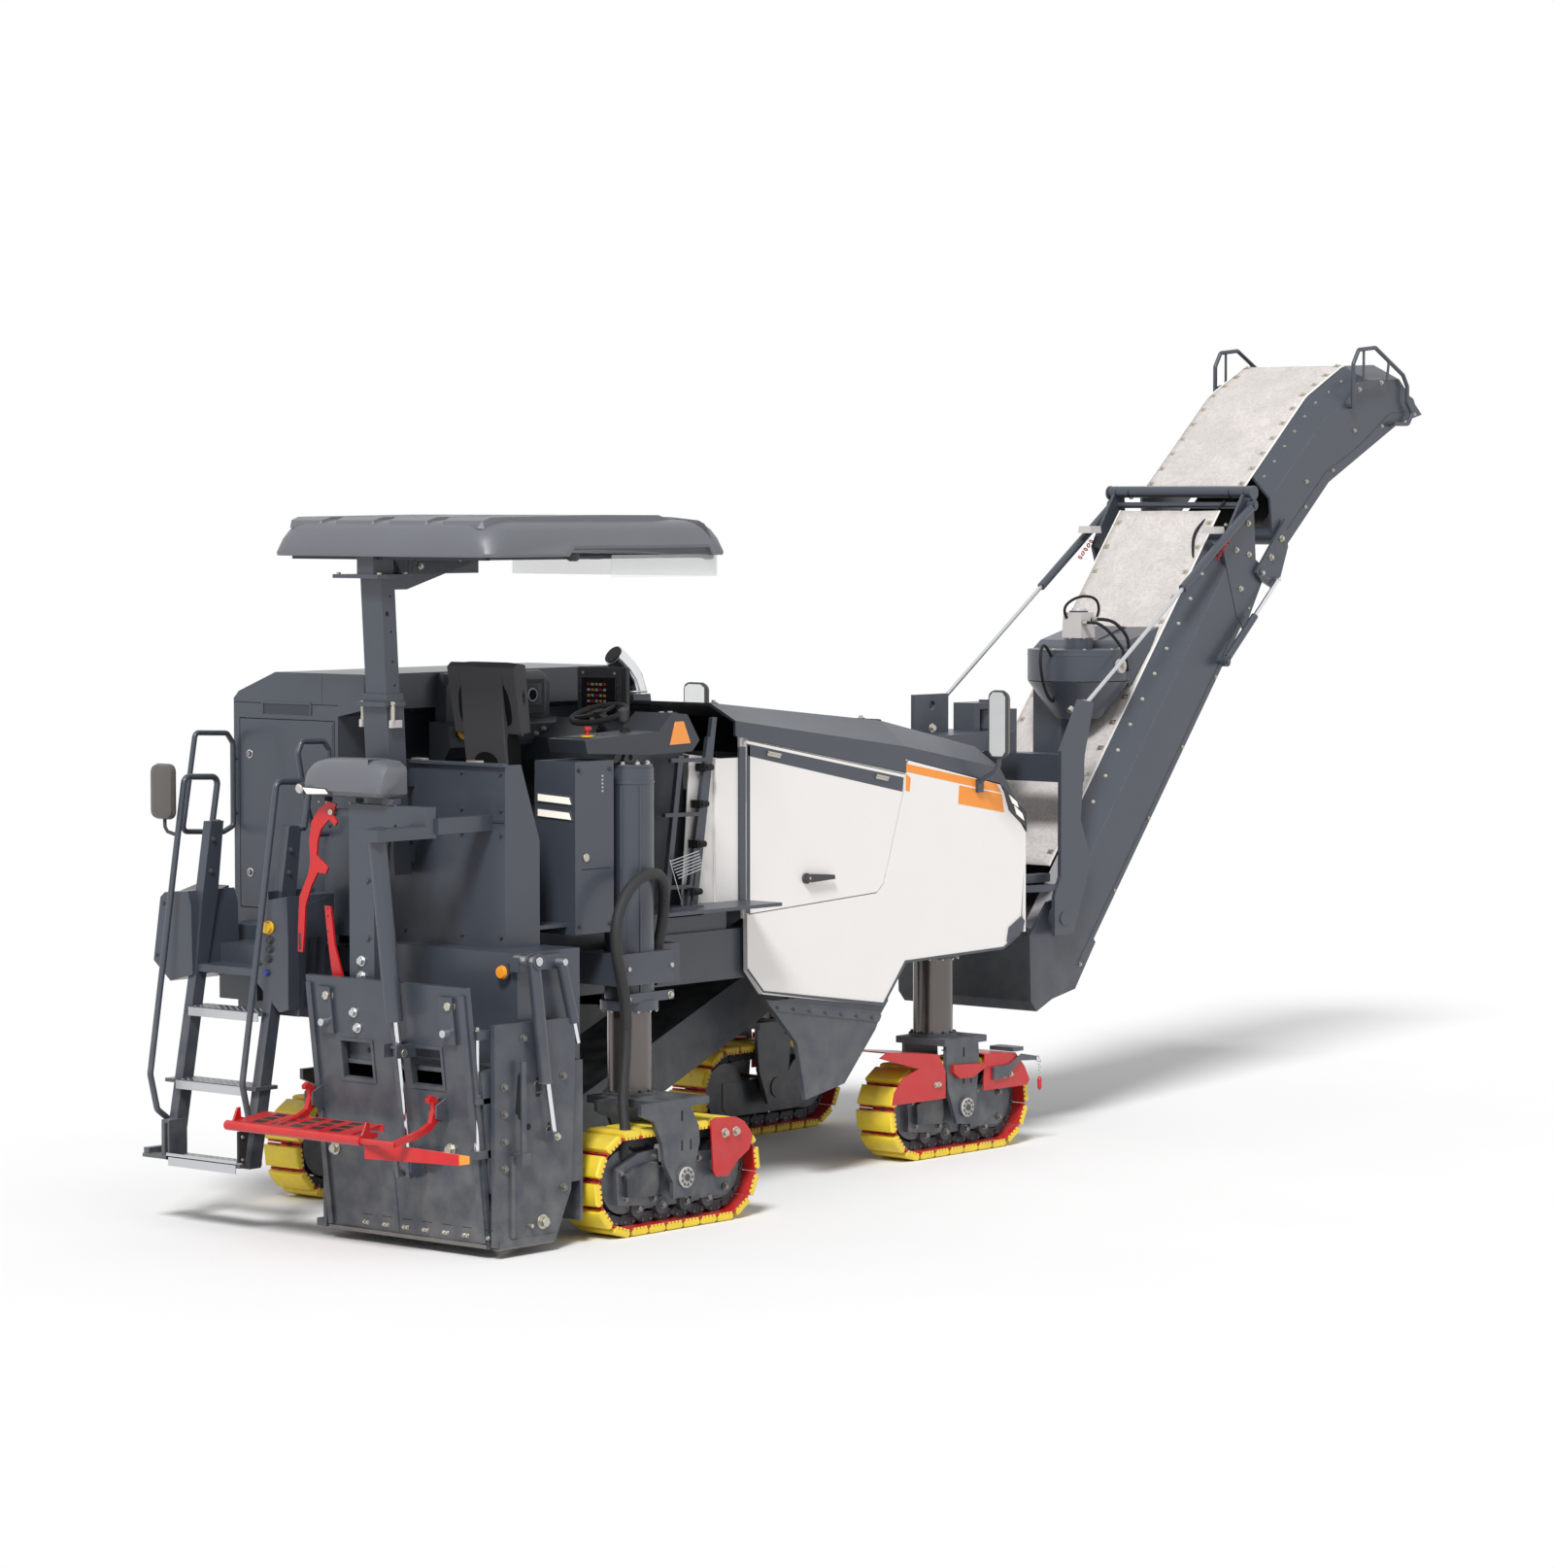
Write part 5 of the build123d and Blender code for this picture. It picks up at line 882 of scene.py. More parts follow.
# ---------------------------------------------------------------- side panels and hood
# corners (x, z) of the dark band over a door, the dark post behind it, its handle, the orange stripe with its
# lower block, the panel's lower edge, the wall and skirt below it, the lamps' surround, the lamps, the corner
DOOR_BAND = [(1.8, 2.515), (3.185, 2.268), (3.175, 2.185), (1.8, 2.448)]
REAR_POST = [(1.792, 1.57), (1.822, 1.565), (1.822, 2.5), (1.792, 2.52)]
HANDLE = [(2.28, 1.755), (2.32, 1.76), (2.52, 1.745), (2.525, 1.72), (2.32, 1.712), (2.285, 1.715)]
STRIPES = [[(3.212, 2.346), (4.062, 2.193), (4.112, 2.136), (3.206, 2.3)],
           [(3.205, 2.29), (3.25, 2.262), (3.24, 2.182), (3.203, 2.19)],
           [(3.703, 2.2), (4.112, 2.129), (4.137, 2.018), (3.693, 2.091)]]
LOWER_EDGE = [(1.93, 1.115), (1.8, 1.245), (1.8, 1.262), (1.938, 1.125), (3.0, 0.975), (3.2, 1.205),
              (4.13, 1.22), (4.29, 1.295), (4.298, 1.283), (4.13, 1.205), (3.21, 1.19), (3.0, 0.952)]
INNER_WALL = [(1.99, 1.06), (2.25, 0.9), (2.93, 0.84), (3.06, 0.98), (3.06, 1.06)]
SKIRT = [(1.965, 1.055), (2.98, 0.905), (2.955, 0.868), (2.02, 1.005)]
LAMP_SURROUND = [(4.12, 2.172), (4.348, 2.012), (4.348, 1.912), (4.182, 2.028)]
LENSES = [[(4.172, 2.122), (4.246, 2.076), (4.262, 2.042), (4.204, 2.072)],
          [(4.222, 2.056), (4.3, 2.004), (4.318, 1.962), (4.246, 2.004)]]
FRONT_CORNER = [(4.16, 1.245), (4.3, 1.3), (4.33, 1.36), (4.3, 1.39), (4.18, 1.33)]


def make_door(side, outer, way):
    """Dark band and post, handle and hinges of a side door."""
    door = Shape()
    outward = (0, way, 0)
    for outline in (DOOR_BAND, REAR_POST):
        door.plate(outline, *layer(outer, way, -0.001, 0.0012), "slate")
    door.disc((2.3, outer, 1.735), outward, 0.018, 0.03, "plastic", sides=24)
    door.disc((2.3, outer + way * 0.016, 1.735), outward, 0.014, 0.022, "plastic", 0.018, sides=24)
    door.plate(HANDLE, *layer(outer, way, 0.022, 0.036), "plastic")
    door.disc((2.3, outer + way * 0.036, 1.737), outward, 0.004, 0.008, "zinc", sides=12)
    for x, z in ((2.02, 2.455), (2.98, 2.285)):
        door.plate([(x - 0.055, z + 0.008), (x + 0.055, z - 0.012), (x + 0.052, z - 0.032),
                    (x - 0.058, z - 0.012)], *layer(outer, way, 0.001, 0.01), "zinc")
        door.bar((x - 0.055, outer + way * 0.01, z + 0.008), (x + 0.055, outer + way * 0.01, z - 0.012),
                 0.007, "zinc")
    door.finish("door_" + side + "_fittings", "door_" + side, "paint", bevel=0.0012)


def make_panel(side, outer, way):
    """Stripes, lower edge, bolted skirt and slanted lamps of a side panel."""
    body = Shape()
    for outline, near, far, finish in (*((stripe, -0.001, 0.001, "stripe") for stripe in STRIPES),
                                       (LOWER_EDGE, -0.001, 0.004, "slate"),
                                       (INNER_WALL, -0.03, -0.012, "slate"), (SKIRT, 0.001, 0.007, "slate"),
                                       (LAMP_SURROUND, -0.001, 0.006, "slate_deep"),
                                       *((lens, 0.005, 0.012, "lamp_white") for lens in LENSES),
                                       (FRONT_CORNER, -0.028, 0.01, "slate")):
        body.plate(outline, *layer(outer, way, near, far), finish)
    for step in range(7):
        x = 2.05 + step * 0.14
        body.bolt((x, outer + way * 0.007, 1.055 - (x - 1.965) * 0.148 - 0.02), (0, way, 0), "cast", 0.016)
    body.disc((3.885, outer, 2.168), (0, way, 0), 0.014, 0.012, "plastic")
    body.finish("body_" + side + "_fittings", "frame", "paint", bevel=0.001)


def make_sides():
    """Both side panels and their doors."""
    for side, outer, way in (("right", BODY_RIGHT, -1), ("left", BODY_LEFT, 1)):
        make_door(side, outer, way)
        make_panel(side, outer, way)


def make_hood():
    """Edge strips, step, catches and front plate of the hood, and the tail pipe."""
    shape = Shape()

    def top(x):
        return 2.735 + (2.585 - 2.735) * (x - 1.7) / (3.205 - 1.7)

    for low, high in ((-0.46, -0.448), (1.048, 1.06)):
        shape.loft([[(x, low, top(x) - 0.004), (x, high, top(x) - 0.004), (x, high, top(x) + 0.004),
                     (x, low, top(x) + 0.004)] for x in (1.705, 3.2)], "slate")
    shape.plate([(3.195, 2.37), (3.215, 2.37), (3.215, 2.595), (3.195, 2.6)], BODY_RIGHT + 0.19,
                BODY_LEFT - 0.19, "slate_deep")
    for x, y in ((1.8, -0.4), (3.1, -0.4), (1.8, 1.0), (3.1, 1.0)):
        shape.disc((x, y, top(x) - 0.005), UP, 0.017, 0.03, "slate", 0.026, sides=24)
        shape.bolt((x, y, top(x) + 0.012), UP, "zinc", 0.024)
    # plate on the front slope
    shape.plate([(3.24, 2.582), (3.26, 2.6), (4.02, 2.43), (4.0, 2.408)], 0.86, 1.02, "slate")
    shape.finish("hood_fittings", "frame", "paint", bevel=0.0025)
    # bent and slant-cut tail pipe
    tip = Shape()
    tip.tube([(1.82, 0.2, 2.735), (1.815, 0.2, 2.8), (1.795, 0.205, 2.86), (1.755, 0.215, 2.915),
              (1.7, 0.225, 2.965), (1.66, 0.23, 2.995)], 0.062, "chrome", sides=36)
    tip.bar((1.6615, 0.23, 2.994), (1.655, 0.231, 2.999), 0.055, "rubber", sides=32)
    tip.box(1.722, 1.878, 0.132, 0.268, 2.7, 2.772, "slate", 0.006)
    tip.ring((1.817, 0.2, 2.785), UP, 0.062, 0.006, "steel", sides=32)
    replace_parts(tip.finish("tail_pipe", "frame", "chrome", bevel=0.001), "exhaust")


# ---------------------------------------------------------------- platform, console, cabinet, ladder
def rear_panel(shape):
    """Seam, bolts, upper edge, flap and round lamp of the platform's rear panel."""
    rear = PLATFORM_REAR
    shape.box(rear - 0.0012, rear + 0.002, -0.925, -0.15, 2.193, 2.199, "rubber")
    shape.box(rear - 0.0012, rear + 0.002, -0.925, -0.15, 2.205, 2.211, "slate_deep")
    shape.bolts([(rear, y, z) for y in (-0.9, -0.62, -0.2, 0.36) for z in (1.6, 2.13, 2.26, 2.45)], BACK,
                "slate_deep", 0.016)
    shape.box(rear - 0.022, rear + 0.006, -0.94, -0.14, 2.488, 2.506, "slate")
    for y in (-0.3, -0.7):
        shape.box(rear - 0.01, rear + 0.04, y - 0.04, y + 0.04, 2.504, 2.514, "zinc")
    shape.plate([(-0.925, 1.1), (-0.6, 1.1), (-0.6, 1.53), (-0.925, 1.53)], rear, rear + 0.02, "slate",
                axis="x")
    shape.disc((rear, -0.9, 1.447), BACK, 0.012, 0.04, "plastic", sides=28)
    shape.disc((rear - 0.012, -0.9, 1.447), BACK, 0.018, 0.036, "amber", 0.028, sides=28)
    shape.bolt((rear, -0.885, 1.345), BACK, "zinc", 0.026)


def side_box(shape):
    """Two slanted lamps, bolts, slots, lock and seam of the box on the platform's right."""
    for z in (2.29, 2.21):
        low, high = z - 0.026, z + 0.026
        shape.plate([(-0.97, low), (-0.7, low + 0.012), (-0.7, high + 0.012), (-0.95, high)], 0.026, 0.034,
                    "plastic", axis="x")
        shape.plate([(-0.955, low + 0.008), (-0.72, low + 0.02), (-0.72, high + 0.004),
                     (-0.94, high - 0.008)], 0.02, 0.03, "lamp_white", axis="x")
    outer = -0.98
    shape.bolts([(x, outer, z) for x in (0.06, 0.3) for z in (2.45, 1.63)], RIGHT, "slate_deep", 0.018)
    for z in (2.41, 2.39, 2.37, 2.35, 2.33):
        shape.box(0.235, 0.248, outer - 0.003, outer + 0.004, z, z + 0.01, "zinc")
    shape.disc((0.11, outer, 1.99), RIGHT, 0.008, 0.022, "zinc", sides=20)
    shape.box(0.08, 0.3, outer - 0.0015, outer + 0.002, 1.925, 1.929, "rubber")


def side_rack(shape):
    """Rubber clips, wire basket and tray of the rack, and the floor's ribs beside it."""
    for x, z in ((1.44, 2.4), (1.4, 2.2), (1.38, 1.98), (1.345, 1.72)):
        shape.disc((x - 0.03, -0.68, z), FRONT, 0.055, 0.018, "rubber", sides=14)
        shape.box(x - 0.045, x - 0.025, -0.69, -0.62, z - 0.022, z + 0.022, "rubber")
    for step in range(7):
        z = 1.9 - step * 0.016
        shape.bar((1.09 + step * 0.012, -0.7, z), (1.33 + step * 0.006, -0.7, z + 0.045), 0.0035, "steel",
                  sides=6)
    shape.bar((1.09, -0.7, 1.91), (1.2, -0.7, 1.645), 0.0035, "steel", sides=6)
    shape.box(1.02, 1.28, -0.78, -0.655, 1.6, 1.622, "slate")
    shape.box(1.02, 1.28, -0.78, -0.772, 1.6, 1.655, "slate")
    for row in range(10):
        shape.box(0.62 + row * 0.014, 0.626 + row * 0.014, -0.55, 0.3, 1.64, 1.645, "rubber")


def make_platform():
    """Fittings of the platform's panel, box and rack, and the white wall in front of it."""
    shape = Shape()
    for part in (rear_panel, side_box, side_rack):
        part(shape)
    shape.finish("platform_fittings", "frame", "paint", bevel=0.0012)
    wall = Shape()
    wall.plate([(1.29, 1.64), (1.785, 1.64), (1.785, 2.42), (1.36, 2.47)], -0.612, -0.6, "cream")
    wall.box(1.55, 1.785, -0.635, -0.612, 1.64, 2.44, "cream")
    wall.box(1.735, 1.788, -0.648, -0.634, 1.62, 2.5, "slate")
    wall.finish("front_wall", "frame", "paint_white", bevel=0.004)


def display(shape):
    """Housing, screen with its rows of symbols, keys and stalk of the display."""
    shape.box(1.1, 1.128, -0.375, -0.02, 2.605, 2.95, "plastic")
    shape.box(1.088, 1.1, -0.345, -0.022, 2.61, 2.945, "plastic")
    shape.box(1.083, 1.089, -0.31, -0.057, 2.65, 2.895, "screen")
    for row in range(6):
        for column in range(5):
            y, z = -0.11 - column * 0.03, 2.7 + row * 0.031
            shape.box(1.0815, 1.0835, y - 0.01, y + 0.01, z - 0.007, z + 0.007,
                      ("icon", "amber", "icon", "signal_red")[(row * 3 + column) % 4])
    shape.box(1.0815, 1.0835, -0.25, -0.12, 2.655, 2.69, "icon")
    for row in range(5):
        for y in (-0.042, -0.325):
            shape.box(1.084, 1.089, y - 0.009, y + 0.009, 2.66 + row * 0.045, 2.68 + row * 0.045, "slate")
    for y in (-0.065, -0.3):
        shape.disc((1.089, y, 2.918), BACK, 0.005, 0.008, "icon", sides=12)
    shape.bar((1.14, -0.25, 2.53), (1.14, -0.25, 2.62), 0.03, "plastic")


def instrument_panel(shape):
    """Desk, hood, gauge, knobs and stop button of the panel on the driver's left."""
    shape.loft([[(x, 0.245, 2.44), (x, 0.13, 2.46), (x, 0.085, 2.53), (x, 0.095, 2.64), (x, 0.15, 2.668),
                 (x, 0.245, 2.668)] for x in (0.19, 1.11)], "slate_deep")
    # x of the hood's sections and how far its ends draw in
    shape.loft([[(x, 0.245, 2.668), (x, 0.165, 2.668), (x, 0.16, 2.885 - tuck), (x, 0.19, 2.925 - tuck),
                 (x, 0.245, 2.93 - tuck)] for x, tuck in ((0.24, 0.03), (0.26, 0.0), (1.03, 0.0),
                                                          (1.06, 0.03))], "slate_deep")
    shape.box(0.27, 1.05, 0.083, 0.094, 2.555, 2.632, "plastic")
    shape.box(0.31, 1.01, 0.154, 0.164, 2.69, 2.88, "plastic")
    shape.box(0.83, 0.98, 0.148, 0.156, 2.735, 2.855, "slate")
    shape.disc((0.905, 0.15, 2.795), RIGHT, 0.006, 0.038, "icon", sides=28)
    shape.disc((0.905, 0.145, 2.795), RIGHT, 0.003, 0.03, "screen", sides=28)
    for number in range(7):
        shape.disc((0.62 + number * 0.06, 0.084, 2.61 if number % 2 else 2.585), RIGHT, 0.018, 0.013,
                   "icon" if number % 3 else "plastic", 0.01, sides=14)
    shape.disc((0.282, 0.084, 2.61), RIGHT, 0.012, 0.036, "yellow_knob", sides=24)
    shape.bar((0.282, 0.072, 2.61), (0.282, 0.05, 2.625), 0.014, "signal_red")
    shape.bar((0.282, 0.052, 2.624), (0.282, 0.03, 2.636), 0.027, "signal_red", 0.023, sides=24)


def hand_controls(shape):
    """Sticks on their boots, stop button, keys, dark pad and reflector of the console."""
    for x, y, z, tall in ((0.62, -0.8, 2.615, 0.13), (0.9, 0.22, 2.56, 0.12)):
        for step in range(4):
            shape.disc((x, y, z + step * 0.01), UP, 0.01, 0.042 - step * 0.007, "rubber",
                       0.036 - step * 0.007, sides=20)
        shape.bar((x, y, z + 0.035), (x - 0.01, y, z + tall * 0.6), 0.01, "plastic", sides=12)
        shape.bar((x - 0.01, y, z + tall * 0.55), (x - 0.018, y, z + tall), 0.022, "plastic", 0.028, sides=18)
        shape.bar((x - 0.018, y, z + tall), (x - 0.02, y, z + tall + 0.014), 0.028, "plastic", 0.014,
                  sides=18)
    shape.disc((0.3, -0.82, 2.612), UP, 0.01, 0.034, "yellow_knob", sides=24)
    shape.disc((0.3, -0.82, 2.622), UP, 0.033, 0.013, "signal_red")
    shape.disc((0.3, -0.82, 2.65), UP, 0.018, 0.024, "signal_red", 0.02, sides=24)
    for column in range(5):
        for row in range(2):
            x, y = 0.38 + column * 0.034, -0.86 + row * 0.035
            shape.box(x, x + 0.022, y, y + 0.022, 2.614, 2.622, "plastic", 0.003)
    shape.box(0.16, 0.6, -0.94, -0.71, 2.606, 2.613, "rubber", 0.008)
    shape.plate([(0.842, 2.68), (0.912, 2.68), (0.968, 2.56), (0.8, 2.556)], -0.963, -0.956, "amber_plate")
    for x in (0.88, 0.95):
        shape.box(x - 0.028, x + 0.026, -0.86, -0.8, 2.7, 2.722, "plastic")
        shape.disc((x, -0.83, 2.722), UP, 0.007, 0.014, "icon", sides=14)


def make_console():
    """Display, instruments and hand controls of the driving place, and the steering wheel's cap."""
    shape = Shape()
    for part in (display, instrument_panel, hand_controls):
        part(shape)
    shape.finish("console_fittings", "frame", "plastic", bevel=0.002)
    cap = Shape()
    tilt = Vector((-0.3, 0, 0.95)).normalized()
    hub = middle("steering_wheel")
    top = Vector((hub.x, hub.y, 2.7))
    cap.bar(top + tilt * 0.018, top + tilt * 0.026, 0.026, "plastic", 0.02, sides=24)
    cap.ring(top + tilt * 0.019, tilt, 0.028, 0.003, "rubber", sides=24)
    cap.finish("steering_cap", "steering_wheel", "plastic", bevel=0.001)


def make_cabinet():
    """Seams, recess, catches and side panels of the rear cabinet, and the locks of its door."""
    shape = Shape()
    rear = CABINET_REAR
    shape.box(rear - 0.0012, rear + 0.002, 0.44, 1.25, 2.763, 2.767, "rubber")
    for low, high, bottom, top in ((0.64, 0.652, 2.708, 2.772), (1.012, 1.024, 2.708, 2.772),
                                   (0.652, 1.012, 2.762, 2.774)):
        shape.box(rear - 0.006, rear + 0.004, low, high, bottom, top, "slate")
    shape.box(rear - 0.0015, rear + 0.002, 0.652, 1.012, 2.706, 2.762, "slate_deep")
    shape.box(rear - 0.0012, rear + 0.002, 0.56, 0.563, 2.767, 2.93, "slate_deep")
    shape.box(rear + 0.25, rear + 1.9, 1.2495, 1.2515, 2.6, 2.612, "rubber")
    for x in (0.45, 1.1, 1.62):
        shape.box(x - 0.06, x + 0.06, 1.249, 1.262, 2.56, 2.6, "slate")
        shape.bolt((x, 1.262, 2.58), LEFT, "zinc", 0.02)
    for x in (0.16, 0.8):
        shape.box(x, x + 0.56, 1.249, 1.2535, 1.7, 2.5, "slate")
        shape.disc((x + 0.5, 1.2535, 2.1), LEFT, 0.0055, 0.022, "zinc", sides=20)
    shape.finish("cabinet_fittings", "frame", "paint", bevel=0.0015)
    door = Shape()
    y = 1.124
    for z in (2.483, 1.834):
        door.disc((rear, y, z), BACK, 0.004, 0.024, "steel", sides=24)
        door.disc((rear - 0.004, y, z), BACK, 0.005, 0.017, "plastic", 0.015, sides=24)
        door.box(rear - 0.011, rear - 0.008, y - 0.003, y + 0.003, z - 0.01, z + 0.01, "steel")
    door.box(rear - 0.002, rear + 0.001, 0.478, 0.484, 1.65, 2.66, "slate_deep")
    door.finish("cabinet_door_locks", "cabinet_door", "paint", bevel=0.0008)


def make_ladder():
    """Treads, rubber side plates, switch boxes with their knobs and bolts of the ladder."""
    shape = Shape()
    for x, z, low, high in ((-1.06, 0.37, 0.375, 0.895), (-0.985, 0.775, 0.376, 0.914),
                            (-0.89, 1.16, 0.376, 0.914)):
        shape.box(x - 0.084, x - 0.079, low, high, z - 0.045, z + 0.001, "steel")
        shape.box(x - 0.079, x + 0.079, low, high, z, z + 0.003, "tread")
        for row in range(4):
            for column in range(11):
                px, py = x - 0.058 + row * 0.038, low + 0.03 + column * (high - low - 0.06) / 10
                shape.disc((px, py, z + 0.003), UP, 0.005, 0.009, "steel", 0.006, sides=8)
    for low, high in ((0.355, 0.372), (0.915, 0.932)):
        shape.plate([(-1.135, 0.385), (-1.005, 0.375), (-1.005, 0.545), (-1.135, 0.55)], low, high, "rubber")
        outer, way = (high, LEFT) if low > 0.6 else (low, RIGHT)
        shape.bolts([(x, outer, z) for x in (-1.11, -1.03) for z in (0.4, 0.52)], way, "zinc", 0.014)
    shape.box(-1.14, -1.135, 0.372, 0.915, 0.352, 0.392, "steel")
    # outer housings of the two switch boxes: y and z of their corners
    for outline in ([(0.43, 1.32), (0.412, 1.735), (0.375, 1.752), (0.372, 1.8), (0.34, 1.806),
                     (0.335, 1.762), (0.2, 1.785), (0.19, 1.56), (0.19, 1.19), (0.26, 1.17)],
                    [(1.232, 1.39), (1.175, 1.735), (1.14, 1.762), (0.962, 1.776), (0.935, 1.7),
                     (0.925, 1.33), (1.1, 1.285)]):
        shape.plate(outline, -0.93, -0.585, "slate", axis="x")
        shape.bolts([(-0.93, outline[0][0] - 0.03, 1.42), (-0.93, outline[1][0] - 0.03, 1.7)], BACK,
                    "slate_deep", 0.014)
    face = -0.93
    shape.disc((face, 0.331, 1.617), BACK, 0.008, 0.036, "yellow_knob", sides=32)
    shape.disc((face - 0.008, 0.331, 1.617), BACK, 0.022, 0.032, "yellow_knob", 0.03, sides=32)
    for y, z, finish, size in ((0.322, 1.55, "plastic", 0.018), (0.325, 1.502, "plastic", 0.018),
                               (0.333, 1.448, "plastic", 0.016), (0.346, 1.375, "blue_knob", 0.015)):
        shape.disc((face, y, z), BACK, 0.005, size + 0.005, "slate_deep", sides=20)
        shape.disc((face - 0.005, y, z), BACK, 0.015, size, finish, size * 0.9, sides=20)
    for y, z in ((0.345, 2.02), (0.345, 1.9), (0.945, 2.05), (0.945, 1.88)):
        shape.bolt((-0.8 + (z - 1.9) * 0.12, y - 0.03, z), RIGHT, "cast", 0.02)
    shape.finish("ladder_fittings", "frame", "paint", bevel=0.0012)


def roof_ring(inset, height, corner, rim=0.0):
    """Rounded rectangle of the roof at a height; rim lifts the middle of its long sides."""
    x_low, x_high, y_low, y_high = -0.8 + inset, 1.09 - inset, -1.16 + inset, 0.47 - inset
    points = []
    for side_x, side_y, start in ((1, 1, 0), (-1, 1, 1), (-1, -1, 2), (1, -1, 3)):
        centre_x = x_high - corner if side_x > 0 else x_low + corner
        centre_y = y_high - corner if side_y > 0 else y_low + corner
        arc = [(centre_x + corner * cos(pi / 2 * start + pi / 14 * step),
                centre_y + corner * sin(pi / 2 * start + pi / 14 * step)) for step in range(8)]
        points.extend((x, y, height) for x, y in arc)
        after = {0: [(0.93, y_high), (0.9, y_high), (-0.16, y_high), (-0.2, y_high)], 1: [],
                 2: [(-0.2, y_low), (-0.16, y_low), (0.9, y_low), (0.93, y_low)], 3: []}[start]
        for number, (x, y) in enumerate(after):
            points.append((x, y, height + (rim if number in (1, 2) else 0.0)))
    return points


def make_roof_skin():
    """Moulded roof with rounded corners, raised ribs and a cut-away rim on its long sides."""
    shape = Shape()
    # The roof wears the lighter copy of the dark paint, painted light of the key light.
    # inset, height, corner and how far the rim is cut away
    shape.loft([roof_ring(*row) for row in ((0.03, 3.575, 0.1, 0.042), (0.004, 3.575, 0.12, 0.042),
                                            (0.0, 3.592, 0.125, 0.04), (0.02, 3.665, 0.14),
                                            (0.04, 3.712, 0.16), (0.066, 3.742, 0.17), (0.11, 3.76, 0.17),
                                            (0.3, 3.776, 0.16), (0.62, 3.786, 0.1))], "shell")
    for low, high in ((0.11, 0.385), (-0.275, 0.045), (-0.665, -0.345), (-1.06, -0.735)):
        rows = []
        for x, lift, tuck in ((-0.742, -0.03, 0.03), (-0.722, 0.006, 0.012), (-0.66, 0.024, 0.0),
                              (0.2, 0.034, 0.0), (0.62, 0.03, 0.006), (0.74, 0.004, 0.03)):
            base = 3.756 if x < 0.3 else 3.758
            rows.append([(x, low + tuck, base - 0.035), (x, low + tuck + 0.012, base + lift),
                         (x, high - tuck - 0.012, base + lift), (x, high - tuck, base - 0.035)])
        shape.loft(rows, "shell")
    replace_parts(shape.finish("roof_skin", "canopy", "trunk", bevel=0.003, segments=3), "canopy_roof")


def make_canopy():
    """Post's holes, bolts and brackets, the roof's beams and lamps, the roof itself and the post's clamps."""
    post = Shape()
    right = -0.29
    for x, z, size in ((-0.642, 3.366, 0.007), (-0.664, 3.275, 0.014), (-0.634, 3.181, 0.007),
                       (-0.625, 3.024, 0.008), (-0.61, 2.9, 0.008)):
        post.disc((x, right + 0.002, z), RIGHT, 0.0022, size, "rubber", sides=18)
    post.bolts([(x, y, 3.475) for x in (-0.75, -0.56) for y in (-0.32, -0.02)], UP, "zinc", 0.024)
    for y in (-0.165, -0.275):
        post.plate([(-0.6, 3.58), (0.02, 3.58), (0.02, 3.545), (-0.5, 3.4), (-0.6, 3.4)], y, y + 0.01,
                   "slate")
    post.bolts([(-0.4, -0.275, 3.52), (-0.1, -0.275, 3.56)], RIGHT, "zinc", 0.022)
    post.finish("canopy_post_fittings", "canopy", "paint", bevel=0.001)
    roof = Shape()
    for y in (-1.05, -0.7, 0.0, 0.36):
        roof.box(-0.7, 1.0, y - 0.02, y + 0.02, 3.56, 3.577, "slate_deep")
    for x in (-0.7, 0.15, 0.98):
        roof.box(x - 0.02, x + 0.02, -1.05, 0.36, 3.558, 3.577, "slate_deep")
    for x, y in ((-0.1, -1.09), (1.0, -1.06), (1.0, 0.37)):
        roof.disc((x, y, 3.59), DOWN, 0.034, 0.034, "plastic", 0.03, sides=24)
        roof.disc((x, y, 3.556), DOWN, 0.006, 0.028, "slate_deep", 0.02, sides=24)
    roof.finish("canopy_frame", "canopy", "paint", bevel=0.002)
    make_roof_skin()
    clamp = Shape()
    clamp.box(-0.712, -0.555, -0.315, -0.115, 2.79, 2.815, "slate")
    for y in (-0.325, -0.105):
        clamp.bar((-0.66, y, 2.7), (-0.66, y, 2.8), 0.012, "zinc", sides=12)
        clamp.bolt((-0.66, y, 2.8), UP, "zinc", 0.026)
        clamp.box(-0.68, -0.6, y - 0.01, y + 0.01, 2.68, 2.72, "motor_grey")
    clamp.finish("sleeve_clamps", "frame", "paint", bevel=0.0015)


# ---------------------------------------------------------------- drum housing, scraper, lamps
SCRAPER_LEAN = tan(radians(7.0))


def scraper_rear(z):
    """x of the scraper's rear face at a height."""
    return -0.8603 - (z - 0.046) * SCRAPER_LEAN


